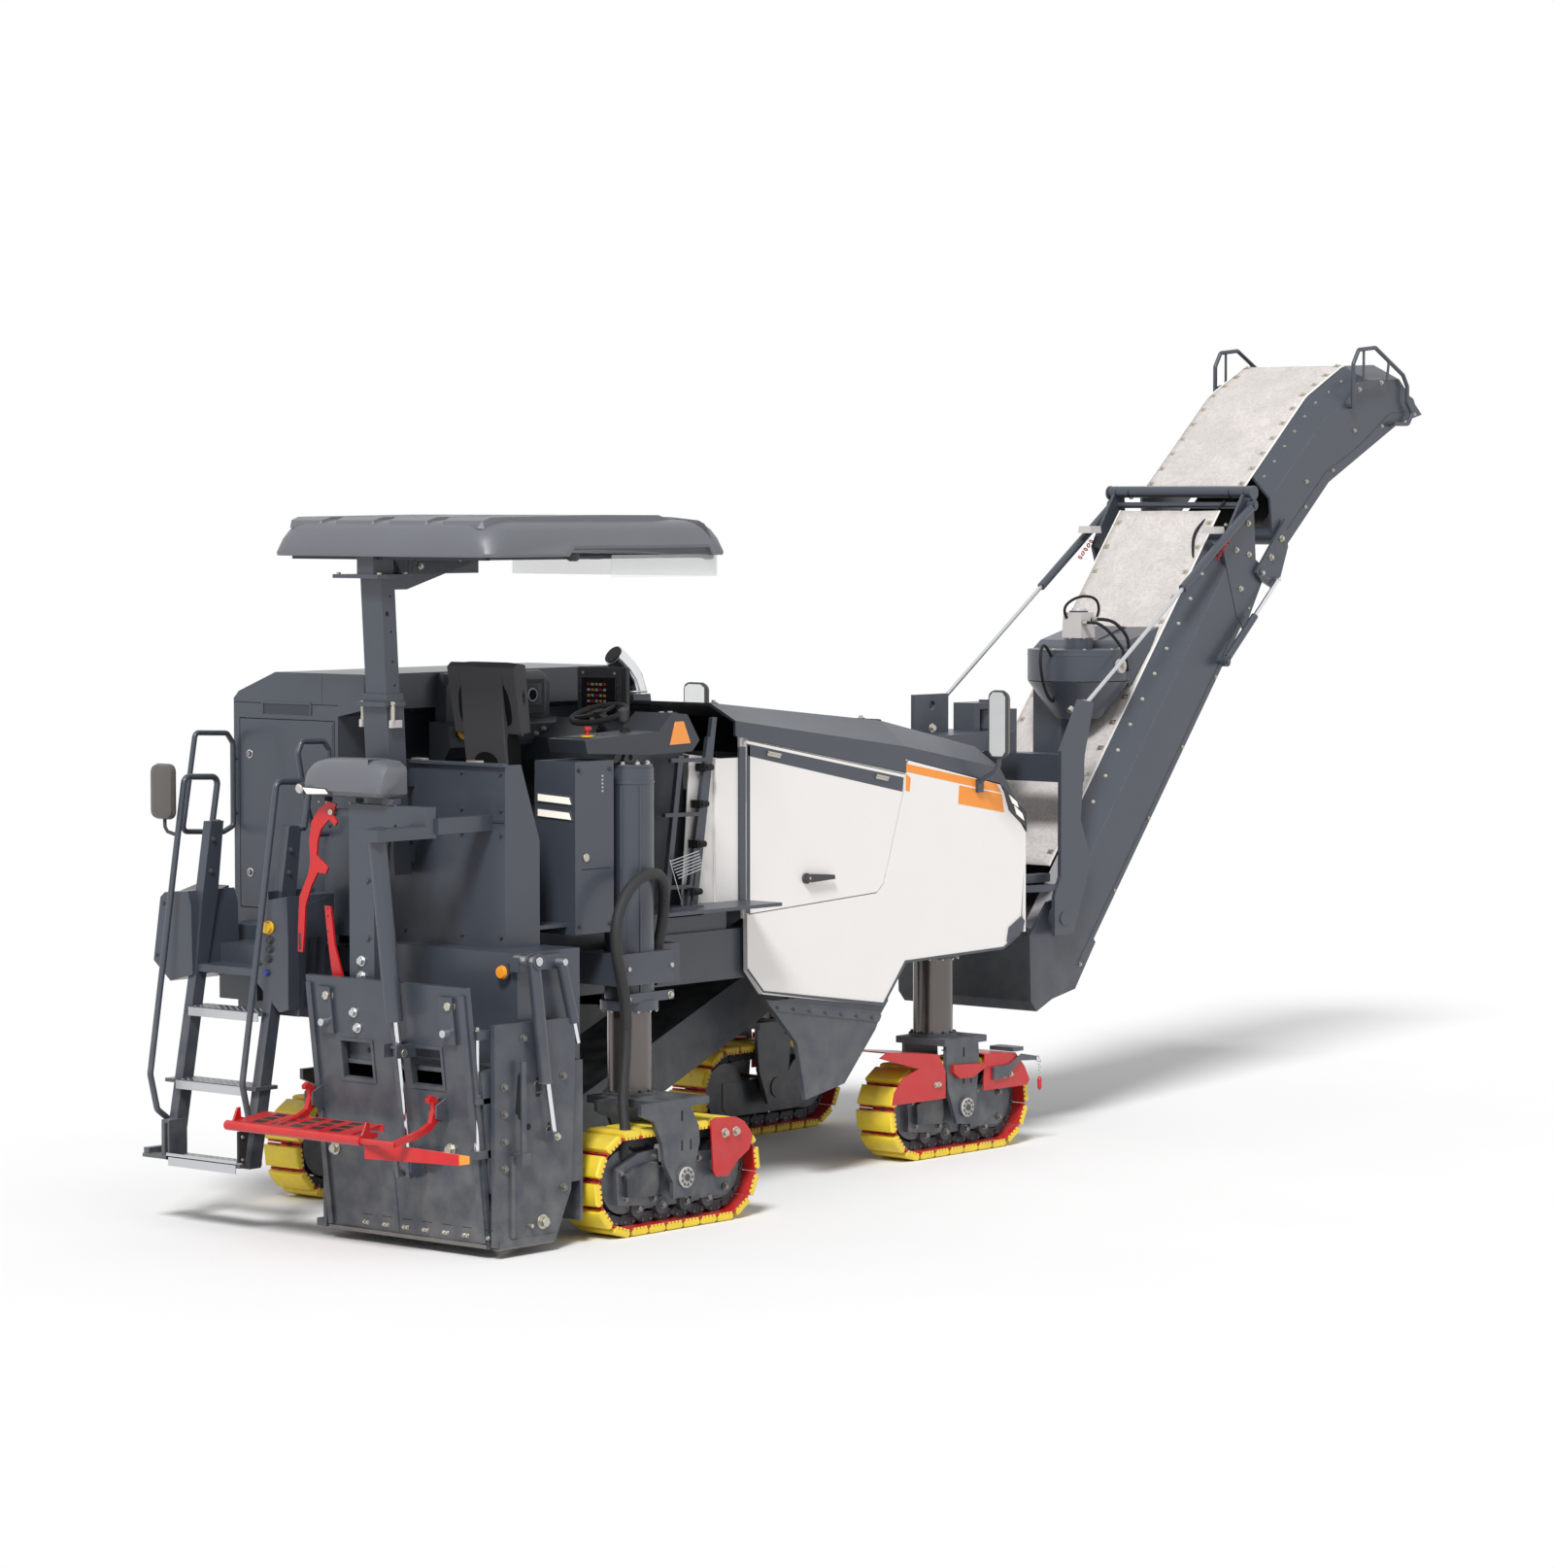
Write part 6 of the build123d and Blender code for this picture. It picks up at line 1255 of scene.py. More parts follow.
def make_scraper():
    """Wear strip, edge strips, frames, bolts, stops and lifting rod of the scraper."""
    shape = Shape()

    def plate(y_low, y_high, z_low, z_high, thick, finish="slate"):
        corners = ((y_low, z_low), (y_high, z_low), (y_high, z_high), (y_low, z_high))
        shape.loft([[(scraper_rear(z) - out, y, z) for y, z in corners] for out in (-0.002, thick)], finish)

    plate(-1.19, -0.05, 0.052, 0.072, 0.012, "worn_steel")
    for step in range(7):
        y = -0.321 - step * 0.144
        for side in (-0.012, 0.012):
            shape.bolt((scraper_rear(0.108), y + side, 0.108), BACK, "zinc", 0.016)
        plate(y - 0.05, y + 0.02, 0.15, 0.153, 0.0012, "rubber")
    for y_low, y_high in ((-1.19, -1.155), (-0.085, -0.05)):
        plate(y_low, y_high, 0.08, 1.36, 0.016)
    plate(-0.565, -0.559, 0.08, 0.42, 0.0015, "slate_deep")
    for centre in (-0.37, -0.87):
        for y_low, y_high, z_low, z_high in ((-0.125, 0.125, 0.855, 0.872), (-0.125, 0.125, 1.066, 1.083),
                                             (-0.125, -0.108, 0.872, 1.066), (0.108, 0.125, 0.872, 1.066)):
            plate(centre + y_low, centre + y_high, z_low, z_high, 0.006)
    for y, z in ((-0.142, 0.485), (-0.991, 0.55), (-0.2, 1.3), (-1.08, 1.3)):
        shape.bolt((scraper_rear(z), y, z), BACK, "zinc", 0.044)
    for y, z in ((-0.374, 1.22), (-0.392, 1.14)):
        shape.bolt((scraper_rear(z), y, z), BACK, "steel", 0.034)
    for y in (-0.18, -1.06):
        plate(y - 0.05, y + 0.05, 1.1, 1.345, 0.02)
        shape.disc((scraper_rear(1.16) - 0.06, y, 1.16), FRONT, 0.06, 0.02, "steel")
    # clamp that guides the rod, and the eye's pin
    low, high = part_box("lift_barrel")
    y = (low.y + high.y) / 2 - ORIGIN.y
    x = scraper_rear(1.05) - 0.085
    for side in (-0.052, 0.04):
        shape.box(x - 0.055, scraper_rear(1.05) + 0.002, y + side, y + side + 0.012, 1.02, 1.09, "slate")
    shape.disc((x, y - 0.058, 1.045), LEFT, 0.006, 0.022, "zinc")
    pin = scraper_rear(0.463) - 0.083
    for side in (-1, 1):
        shape.disc((pin, y + side * 0.052, 0.463), (0, side, 0), 0.008, 0.03, "zinc", sides=20)
    lower, upper = Vector((-0.9945, -0.75, 0.5)), Vector((-1.0895, -0.75, 1.26))
    shape.bar(lower, upper, 0.026, "chrome", sides=28)
    shape.bar(lower - Vector((0, 0, 0.03)), lower + Vector((-0.004, 0, 0.03)), 0.034, "slate", sides=24)
    shape.ring((-1.0665, -0.75, 1.075), (-0.124, 0, 0.992), 0.03, 0.007, "slate")
    # two lugs at the rod's foot
    for y in (-0.812, -0.7):
        shape.plate([(-0.93, 0.4), (-1.0, 0.395), (-1.035, 0.43), (-1.035, 0.49), (-1.01, 0.525),
                     (-0.975, 0.53), (-0.93, 0.5)], y, y + 0.012, "slate")
    shape.finish("scraper_fittings", "scraper", "paint", bevel=0.0015)


def make_guard():
    """Folding red guard: tube, sloping plate with its dark holes, cheeks, hooked arms and side bar."""
    shape = Shape()
    shape.bar((-1.308, 0.262, 0.612), (-1.308, -0.73, 0.612), 0.026, "signal_red", sides=24)
    for y, way in ((0.262, 1), (-0.73, -1)):
        shape.disc((-1.308, y, 0.612), (0, way, 0), 0.004, 0.019, "signal_red", sides=20)
        shape.disc((-1.308, y, 0.612), (0, way, 0), 0.005, 0.008, "slate_deep", sides=12)
    shape.loft([[(-1.3, y, 0.618), (-1.06, y, 0.65), (-1.06, y, 0.662), (-1.3, y, 0.632)]
                for y in (0.24, -0.62)], "signal_red")
    shape.loft([[(-1.06, y, 0.625), (-1.052, y, 0.625), (-1.052, y, 0.662), (-1.06, y, 0.662)]
                for y in (0.24, -0.64)], "signal_red")
    for row in range(3):
        for column in range(5):
            x, y = -1.24 + row * 0.07, -0.48 + column * 0.14
            z = 0.632 + (x + 1.3) * 0.125
            shape.loft([[(x - 0.024, y - 0.04, z - 0.003 + lift), (x + 0.024, y - 0.04, z + 0.003 + lift),
                         (x + 0.024, y + 0.04, z + 0.003 + lift), (x - 0.024, y + 0.04, z - 0.003 + lift)]
                        for lift in (-0.002, 0.0015)], "rubber")
    # end cheeks with their raised tips
    for y in (0.235, -0.715):
        shape.plate([(-1.33, 0.6), (-1.29, 0.64), (-1.262, 0.7), (-1.24, 0.702), (-1.235, 0.65),
                     (-1.18, 0.64), (-1.18, 0.618), (-1.29, 0.588)], y - 0.006, y + 0.006, "signal_red")
    # arms up to the pivots, with their hooks
    for y in (-0.06, -0.96):
        shape.plate([(-1.3, 0.6), (-1.31, 0.628), (-1.12, 0.668), (-1.05, 0.7), (-1.03, 0.76),
                     (-1.04, 0.805), (-1.062, 0.8), (-1.068, 0.822), (-1.04, 0.838), (-1.008, 0.822),
                     (-0.985, 0.79), (-0.972, 0.745), (-0.985, 0.715), (-1.05, 0.655), (-1.15, 0.625)],
                    y - 0.014, y + 0.014, "signal_red")
        for side in (-1, 1):
            shape.disc((-1.002, y + side * 0.014, 0.745), (0, side, 0), 0.008, 0.026, "signal_red", sides=24)
            shape.disc((-1.002, y + side * 0.022, 0.745), (0, side, 0), 0.003, 0.012, "steel")
    shape.bar((-1.308, -0.725, 0.612), (-1.3, -0.965, 0.61), 0.016, "signal_red")
    shape.loft([[(-1.296, -0.74, 0.52), (-1.29, -0.74, 0.52), (-1.29, -0.74, 0.612), (-1.296, -0.74, 0.612)],
                [(-1.07, -1.19, 0.5), (-1.064, -1.19, 0.5), (-1.064, -1.19, 0.558), (-1.07, -1.19, 0.558)]],
               "signal_red")
    shape.loft([[(-1.0705, -1.19, 0.502), (-1.0635, -1.19, 0.502), (-1.0635, -1.19, 0.556),
                 (-1.0705, -1.19, 0.556)], [(-1.046, -1.236, 0.51), (-1.039, -1.236, 0.51),
                                            (-1.039, -1.236, 0.55), (-1.046, -1.236, 0.55)]], "stripe")
    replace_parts(shape.finish("folding_guard", "guard", "red", bevel=0.0015), "guard")


def right_plate():
    """Bolts, slots, guides, rods and wear strip of the drum's right side plate."""
    right = Shape()
    face = -1.25
    right.bolts([(x, face, z) for x, z in ((-0.8, 0.46), (-0.8, 0.6), (-0.8, 0.74), (-0.8, 0.88),
                                           (-0.66, 1.12), (-0.36, 0.9), (-0.36, 0.32))], RIGHT,
                "worn_steel", 0.028)
    # curved slot with its discs
    for x, z in ((-0.66, 0.9), (-0.68, 0.72), (-0.62, 0.66)):
        right.disc((x, face + 0.001, z), RIGHT, 0.0025, 0.018, "rubber", sides=20)
    right.plate([(-0.7, 0.93), (-0.66, 0.97), (-0.64, 0.93), (-0.66, 0.8), (-0.69, 0.72), (-0.72, 0.74)],
                face - 0.0012, face + 0.001, "rubber")
    right.plate([(-0.76, 0.1), (-0.735, 0.1), (-0.735, 0.52), (-0.76, 0.52)], face - 0.016, face + 0.001,
                "slate")
    for x, z in ((-0.55, 0.86), (-0.46, 0.62)):
        right.plate(rect(x, z, 0.016, 0.05), face - 0.0015, face + 0.001, "rubber")
        right.ring((x, face - 0.001, z), LEFT, 0.03, 0.004, "slate", sides=20)
    for z_low, z_high in ((0.52, 0.562), (0.8, 0.83), (1.13, 1.175)):
        right.box(-0.958, -0.86, -1.215, -1.15, z_low, z_high, "slate")
    right.bar((-0.93, -1.182, 0.56), (-0.93, -1.182, 1.13), 0.015, "chrome", sides=20)
    right.disc((-0.93, -1.182, 0.83), UP, 0.02, 0.026, "slate", sides=20)
    right.bolt((-0.93, -1.182, 1.175), UP, "zinc", 0.026)
    right.bar((-0.47, -1.29, 0.61), (-0.56, -1.29, 1.1), 0.015, "chrome", sides=20)
    right.box(-0.5, -0.44, -1.312, -1.249, 0.575, 0.625, "slate")
    right.bolt((-0.47, -1.312, 0.6), RIGHT, "zinc", 0.026)
    right.bolt((-0.52, face, 0.16), RIGHT, "zinc", 0.05)
    right.disc((-0.62, face, 0.15), RIGHT, 0.028, 0.011, "zinc", sides=12)
    right.box(-0.85, -0.44, -1.2575, -1.215, 0.045, 0.052, "worn_steel")
    right.finish("plate_right_fittings", "plate_right", "paint", bevel=0.0015)


def side_cylinders():
    """The right plate's two cylinders with their pins and carrier, and the amber lamp."""
    jack = Shape()
    jack.bar((-0.535, -1.29, 0.88), (-0.62, -1.29, 1.505), 0.034, "slate", sides=28)
    jack.ring((-0.535, -1.29, 0.885), (-0.135, 0, 0.99), 0.034, 0.005, "slate")
    jack.bar((-0.622, -1.335, 1.515), (-0.622, -1.16, 1.515), 0.024, "steel", sides=20)
    for side in (-1.325, -1.27):
        jack.ring((-0.622, side, 1.515), LEFT, 0.034, 0.008, "slate")
    jack.bar((-0.272, -1.245, 1.17), (-0.363, -1.245, 1.48), 0.03, "slate", sides=28)
    jack.bar((-0.363, -1.275, 1.49), (-0.363, -1.16, 1.49), 0.018, "steel", sides=20)
    jack.bar((-0.24, -1.245, 1.06), (-0.272, -1.245, 1.175), 0.013, "chrome")
    jack.box(-0.66, -0.3, -1.215, -1.16, 1.455, 1.53, "slate")
    jack.disc((-0.64, -1.1, 1.449), BACK, 0.015, 0.042, "plastic", sides=28)
    jack.disc((-0.655, -1.1, 1.449), BACK, 0.017, 0.036, "amber", 0.03, sides=28)
    jack.finish("side_cylinders", "frame", "paint", bevel=0.001)


def make_side_plates():
    """Fittings of both side plates and the right one's cylinders."""
    right_plate()
    side_cylinders()
    left = Shape()
    left.bolts([(x, 0.016, z) for x, z in ((-0.8, 0.3), (-0.8, 0.6), (-0.8, 0.9), (-0.5, 0.9), (-0.28, 0.5),
                                           (-0.28, 0.25))], LEFT, "zinc", 0.028)
    left.finish("plate_left_fittings", "plate_left", "paint", bevel=0.0015)


def make_lamps():
    """Lamp housing with its slanted lens, the small lamp beside it, its feet and the column's bolts."""
    shape = Shape()
    # y, lower and upper z and how far the ends draw in
    rings = []
    for y, low, high, tuck in ((0.022, 2.385, 2.448, 0.05), (0.01, 2.352, 2.488, 0.022),
                               (-0.03, 2.336, 2.512, 0.006), (-0.1, 2.33, 2.526, 0.0),
                               (-0.42, 2.33, 2.532, 0.0), (-0.53, 2.33, 2.52, 0.0),
                               (-0.565, 2.332, 2.5, 0.006), (-0.58, 2.35, 2.47, 0.03)):
        tall = high - low
        rings.append([(x + tuck if x < -0.9 else x - tuck * 0.5, y, low + tall * share) for x,
                      share in ((-0.955, 0.0), (-0.985, 0.05), (-1.0, 0.16), (-0.998, 0.34), (-0.99, 0.55),
                                (-0.975, 0.76), (-0.952, 0.91), (-0.92, 0.98), (-0.88, 1.0), (-0.815, 1.0),
                                (-0.8, 0.93), (-0.8, 0.05), (-0.81, 0.0))])
    # The housing wears the lighter copy of the dark paint, painted light of the key light.
    shape.loft(rings, "shell")
    shape.loft([[(x, y, z) for y, z in ((0.006, 2.378), (-0.176, 2.374), (-0.205, 2.34), (-0.03, 2.334))]
                for x in (-0.985, -1.0035)], "plastic")
    shape.loft([[(x, y, z) for y, z in ((-0.004, 2.372), (-0.168, 2.368), (-0.19, 2.346), (-0.036, 2.34))]
                for x in (-0.985, -1.0065)], "lamp_white")
    shape.box(-0.96, -0.8, -0.4415, -0.44, 2.333, 2.531, "slate_deep")
    shape.bar((-0.93, 0.05, 2.375), (-0.975, 0.05, 2.362), 0.024, "plastic", 0.032, sides=24)
    shape.bar((-0.975, 0.05, 2.362), (-0.983, 0.05, 2.36), 0.027, "motor_grey", 0.022, sides=24)
    shape.bar((-0.93, 0.045, 2.37), (-0.9, 0.005, 2.39), 0.012, "plastic", sides=10)
    for y in (-0.55, -0.28, -0.05):
        shape.box(-0.93, -0.87, y - 0.04, y + 0.04, 2.3, 2.331, "slate")
        for side in (-0.028, 0.028):
            shape.bolt((-0.9, y + side, 2.3), DOWN, "zinc", 0.016)
    for z in (1.4, 1.48):
        shape.bolt((-0.92, -0.35, z), BACK, "steel", 0.036)
    for z in (1.02, 1.2, 1.6, 1.9):
        shape.bolt((-0.92, -0.4, z), BACK, "cast", 0.02)
    lamp = shape.finish("lamp_housing", "frame", "trunk", bevel=0.0015)
    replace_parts(lamp, "lamp_head")


# y and z of the corners of the two red levers
LEVER_TOP = [(-0.109, 2.3), (-0.167, 2.289), (-0.141, 2.233), (-0.174, 2.196), (-0.156, 2.173),
             (-0.113, 2.206), (-0.052, 2.153), (-0.027, 2.089), (-0.019, 2.013), (-0.106, 1.954),
             (-0.084, 1.92), (-0.027, 1.925), (0.024, 1.847), (0.067, 1.743), (0.078, 1.591),
             (0.089, 1.499), (0.125, 1.502), (0.122, 1.639), (0.111, 1.791), (0.046, 1.909), (0.028, 1.973),
             (0.035, 2.099), (0.017, 2.188), (-0.037, 2.259)]
LEVER_LOW = [(-0.073, 1.753), (-0.116, 1.751), (-0.145, 1.553), (-0.227, 1.322), (-0.145, 1.316),
             (-0.116, 1.451), (-0.088, 1.625)]


def make_levers():
    """The two red levers beside the mast."""
    shape = Shape()
    shape.plate(LEVER_TOP, -0.922, -0.91, "signal_red", axis="x")
    shape.plate(LEVER_LOW, -0.918, -0.904, "signal_red", axis="x")
    shape.plate([(0.1, 1.512), (0.116, 1.512), (0.118, 1.6), (0.1, 1.6)], -0.9235, -0.9215, "slate_deep",
                axis="x")
    for z in (1.74, 1.7, 1.62, 1.56):
        shape.disc((-0.918, -0.098, z), BACK, 0.0015, 0.007, "slate_deep", sides=12)
    shape.bar((-0.93, -0.13, 2.245), (-0.86, -0.13, 2.245), 0.016, "zinc")
    shape.bar((-0.926, -0.185, 1.345), (-0.86, -0.185, 1.345), 0.014, "zinc")
    shape.box(-0.904, -0.86, -0.3, -0.1, 2.225, 2.262, "slate")
    shape.box(-0.904, -0.86, -0.3, -0.13, 1.318, 1.372, "slate")
    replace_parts(shape.finish("red_levers", "frame", "red", bevel=0.0015), "levers")


def make_mirrors():
    """Shells, glasses and stalks of the three mirrors."""
    shape = Shape()
    # x, y and z of the middle, half width, height, and 1 where the glass looks ahead, -1 where it looks back
    for x, y, z, half, tall, way in ((-1.0, 1.07, 2.31, 0.084, 0.3, 1), (3.9, -0.795, 2.555, 0.07, 0.4, -1),
                                     (3.7, 1.395, 2.61, 0.092, 0.29, -1)):
        rows = []
        for out, share in ((-0.02, 0.9), (-0.018, 0.98), (-0.006, 1.0), (0.018, 0.94), (0.03, 0.78),
                           (0.034, 0.5)):
            corner = 0.042 * share
            ring = []
            for quarter, (side, rise) in enumerate(((1, 1), (-1, 1), (-1, -1), (1, -1))):
                for step in range(6):
                    turn = pi / 2 * quarter + pi / 10 * step
                    ring.append((x - way * out, y + side * (half * share - corner) + corner * cos(turn),
                                 z + rise * (tall / 2 * share - corner) + corner * sin(turn)))
            rows.append(ring)
        shape.loft(rows[:3], "plastic")
        shape.loft(rows[2:], "mirror_back")
        face = [(u * (half - 0.012), v * (tall / 2 - 0.012)) for u, v in (
            (-1, -0.85), (-0.6, -1), (0.6, -1), (1, -0.85), (1, 0.85), (0.6, 1), (-0.6, 1), (-1, 0.85))]
        shape.loft([[(x + way * out, y + u, z + v) for u, v in face] for out in (0.0185, 0.0215)],
                   "mirror_glass")
    shape.tube([(-0.99, 1.07, 2.165), (-0.99, 1.068, 2.12), (-0.98, 1.06, 2.095), (-0.955, 1.03, 2.08),
                (-0.94, 1.006, 2.078)], 0.01, "plastic")
    shape.tube([(3.905, -0.79, 2.37), (3.905, -0.785, 2.31), (3.9, -0.76, 2.27), (3.89, -0.7, 2.24),
                (3.885, -0.655, 2.2), (3.885, -0.64, 2.17)], 0.015, "slate")
    shape.box(3.86, 3.91, -0.672, -0.645, 2.15, 2.23, "slate")
    shape.tube([(3.705, 1.39, 2.48), (3.705, 1.385, 2.42), (3.702, 1.35, 2.37), (3.695, 1.27, 2.33),
                (3.69, 1.235, 2.3)], 0.015, "slate")
    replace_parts(shape.finish("mirror_set", "frame", "plastic", bevel=0), "mirrors")


# ---------------------------------------------------------------- seat
CUSHION_CUTS = 15
CUSHION_ROUNDNESS = 7.0
CHANNEL_HALF = 0.07
CHANNEL_DEPTH = 0.01


def cushion(name, centre, size, lean, crown, channels=()):
    """Padded form: a rounded block that swells; its sewn channels, at shares of its width, sink in."""
    mesh = bmesh.new()
    bmesh.ops.create_cube(mesh, size=2.0)
    bmesh.ops.subdivide_edges(mesh, edges=mesh.edges[:], cuts=CUSHION_CUTS, use_grid_fill=True)
    turn = Matrix.Rotation(lean, 3, "Y")
    half = Vector(size) / 2
    for vert in mesh.verts:
        norm = sum(abs(value) ** CUSHION_ROUNDNESS for value in vert.co) ** (1 / CUSHION_ROUNDNESS)
        unit = vert.co / norm
        swell = crown * max(0.0, 1 - unit.y ** 2) * max(0.0, 1 - unit.z ** 2)
        dip = sum(CHANNEL_DEPTH * max(0.0, 1 - ((unit.y - share) / CHANNEL_HALF) ** 2) for share in channels)
        place = Vector((unit.x * (half.x + swell - dip), unit.y * half.y, unit.z * half.z))
        vert.co = at(*(Vector(centre) + turn @ place))
    piece = new_piece(name, mesh, ("seat_cloth",), "frame")


def make_seat():
    """Bellows, pan, back frame, arm rests, buckle and cushions of the driver's seat."""
    x, y = 0.06, -0.42
    shape = Shape()
    shape.disc((x + 0.28, y, 1.642), UP, 0.018, 0.16, "plastic", sides=32)
    for step in range(10):
        z = 1.66 + step * 0.038
        shape.disc((x + 0.28, y, z), UP, 0.019, 0.115, "rubber", 0.135, sides=28)
        shape.disc((x + 0.28, y, z + 0.019), UP, 0.019, 0.135, "rubber", 0.115, sides=28)
    shape.box(x + 0.06, x + 0.5, y - 0.2, y + 0.2, 2.04, 2.085, "plastic")
    shape.box(x + 0.05, x + 0.51, y - 0.22, y + 0.22, 2.085, 2.115, "plastic", 0.006)
    back = [(x, 2.12), (x - 0.06, 2.13), (x - 0.135, 2.6), (x - 0.165, 2.99), (x - 0.1, 3.0),
            (x - 0.09, 2.62)]
    shape.plate(back, y - 0.15, y + 0.15, "plastic")
    shape.plate([(x - 0.1, 2.63), (x - 0.165, 2.985), (x - 0.135, 3.01), (x - 0.07, 3.0), (x - 0.03, 2.64)],
                y - 0.245, y + 0.245, "plastic")
    for way in (-1, 1):
        shape.box(x - 0.02, x + 0.02, *layer(y, way, 0.255, 0.31), 2.13, 2.42, "plastic")
        shape.box(x - 0.02, x + 0.34, *layer(y, way, 0.255, 0.32), 2.38, 2.43, "rubber", 0.01)
    shape.box(x + 0.02, x + 0.07, y + 0.235, y + 0.262, 2.1, 2.22, "signal_red", 0.004)
    frame_piece = shape.finish("driver_chair_frame", "frame", "plastic", bevel=0.006)
    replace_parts(frame_piece, "seat")
    cushion("chair_cushion", (x + 0.29, y, 2.155), (0.12, 0.49, 0.47), radians(-90), 0.014, (-0.62, 0.62))
    cushion("chair_back", (x - 0.045, y, 2.4), (0.1, 0.33, 0.54), radians(-7), 0.018, (-0.6, 0.6))
    cushion("chair_head", (x - 0.085, y, 2.825), (0.09, 0.49, 0.37), radians(-9), 0.014)


# ---------------------------------------------------------------- hoses
# points of the hoses, x and y counted from the rear right column; the last ones are machine places
SLEEVED_HOSE = [(0.165, -0.045, 1.44), (0.185, -0.07, 1.58), (0.185, -0.09, 1.74), (0.1, -0.15, 1.865),
                (-0.06, -0.205, 1.9), (-0.24, -0.225, 1.84), (-0.345, -0.225, 1.69), (-0.36, -0.225, 1.52),
                (-0.31, -0.225, 1.35), (-0.27, -0.22, 1.2), (-0.262, -0.215, 1.08)]
LEG_HOSE = [(-0.262, -0.215, 1.075), (-0.27, -0.22, 0.96), (-0.305, -0.232, 0.8), (-0.33, -0.25, 0.68),
            (-0.35, -0.285, 0.57), (-0.37, -0.3, 0.48), (-0.37, -0.27, 0.41)]
LIFT_HOSE = [(-0.98, -0.66, 2.2), (-1.03, -0.665, 2.15), (-1.045, -0.668, 2.0), (-1.05, -0.67, 1.8),
             (-1.052, -0.672, 1.62), (-1.075, -0.68, 1.52), (-1.1, -0.69, 1.47)]


def from_column(points):
    """Machine places of points that count from the rear right column."""
    column = middle("guide_rear_right")
    return [(column.x + u, column.y + v, z) for u, v, z in points]


def make_hoses():
    """Sleeved bundle on the rear right column and the thin hose of the scraper's lift."""
    hose("sleeved_hose", "frame", from_column(SLEEVED_HOSE), 0.062, "sleeve")
    hose("lift_hose", "frame", LIFT_HOSE, 0.016)


def make_leg_hoses():
    """Sleeved lower stretch of the hose bundle, carried by the rear right leg."""
    hose("leg_hose", "leg_rear_right", from_column(LEG_HOSE), 0.058, "sleeve")


# ---------------------------------------------------------------- conveyor
# top x, top z, bottom x, bottom z of the troughs' sections
LOWER_TROUGH = [(4.913, 1.197, 5.314, 0.866), (6.904, 3.612, 7.305, 3.281)]
UPPER_TROUGH = [(7.415, 4.024, 7.492, 3.456), (8.019, 4.539, 8.111, 3.982), (8.454, 4.753, 8.925, 4.369),
                (8.828, 4.768, 9.224, 4.439)]
# a section's stations and the shares between which its cloth lies
COVERS = {"conveyor_lower": (LOWER_TROUGH, 0.17, 1.075), "conveyor_upper": (UPPER_TROUGH, -0.105, 0.815)}
WALL_HALF = 0.52
TOP_HALF = 0.39
SHOULDER_DROP = 0.15
WALL_OUT = 0.0015
CLOTH_HALF = TOP_HALF + 0.004


def run_frame(stations, share):
    """Middle of a trough's top at a share of its length, and the directions ahead and up."""
    lengths = [hypot(b[0] - a[0], b[1] - a[1]) for a, b in zip(stations, stations[1:])]
    left = share * sum(lengths)
    for number, length in enumerate(lengths):
        if left <= length or number == len(lengths) - 1:
            break
        left -= length
    first, last, part = stations[number], stations[number + 1], left / length
    top_x, top_z, low_x, low_z = (a + (b - a) * part for a, b in zip(first, last))
    up = Vector((top_x - low_x, 0, top_z - low_z)).normalized()
    ahead = Vector((last[0] - first[0], 0, last[1] - first[1])).normalized()
    return Vector((top_x, CENTRE, top_z)), ahead, up


def wall_point(stations, share, depth, side, out=WALL_OUT):
    """Point on the outer face of a trough's wall or shoulder, and the way that it faces."""
    centre, ahead, up = run_frame(stations, share)
    if depth < SHOULDER_DROP:
        part = depth / SHOULDER_DROP
        half = TOP_HALF + (WALL_HALF - TOP_HALF) * part
        way = (Vector((0, side * SHOULDER_DROP, 0)) + up * (WALL_HALF - TOP_HALF)).normalized()
    else:
        half, way = WALL_HALF, Vector((0, side, 0))
    return centre - up * depth + Vector((0, side * half, 0)) + way * out, way


def cloth(name, stations, start, end, body):
    """Cover cloth over a trough's top, a little slack between its clips."""
    mesh = bmesh.new()
    steps, across = 40, 14
    rows = []
    for step in range(steps + 1):
        share = start + (end - start) * step / steps
        centre, ahead, up = run_frame(stations, share)
        row = []
        for column in range(across + 1):
            part = column / across * 2 - 1
            sag = (1 - part ** 2) * (0.004 * sin(step * 0.9) + 0.003 * sin(step * 0.37 + column * 0.8))
            place = centre + up * (0.01 + sag) + Vector((0, part * CLOTH_HALF, 0))
            row.append(mesh.verts.new(at(*place)))
        rows.append(row)
    for first, last in zip(rows, rows[1:]):
        for column in range(across):
            mesh.faces.new((first[column], first[column + 1], last[column + 1], last[column]))
    bmesh.ops.recalc_face_normals(mesh, faces=mesh.faces[:])
    area = sum(face.calc_area() for face in mesh.faces)
    piece = new_piece(name, mesh, ("tarp",), body)
    thick = piece.modifiers.new("thickness", "SOLIDIFY")
    thick.thickness = 0.003
    thick.offset = 1


def make_covers():
    """Cloth covers of both troughs."""
    cloth("lower_cover", *COVERS["conveyor_lower"], "conveyor_lower")
    cloth("upper_cover", *COVERS["conveyor_upper"], "conveyor_upper")


SHOULDER_STEPS = 24


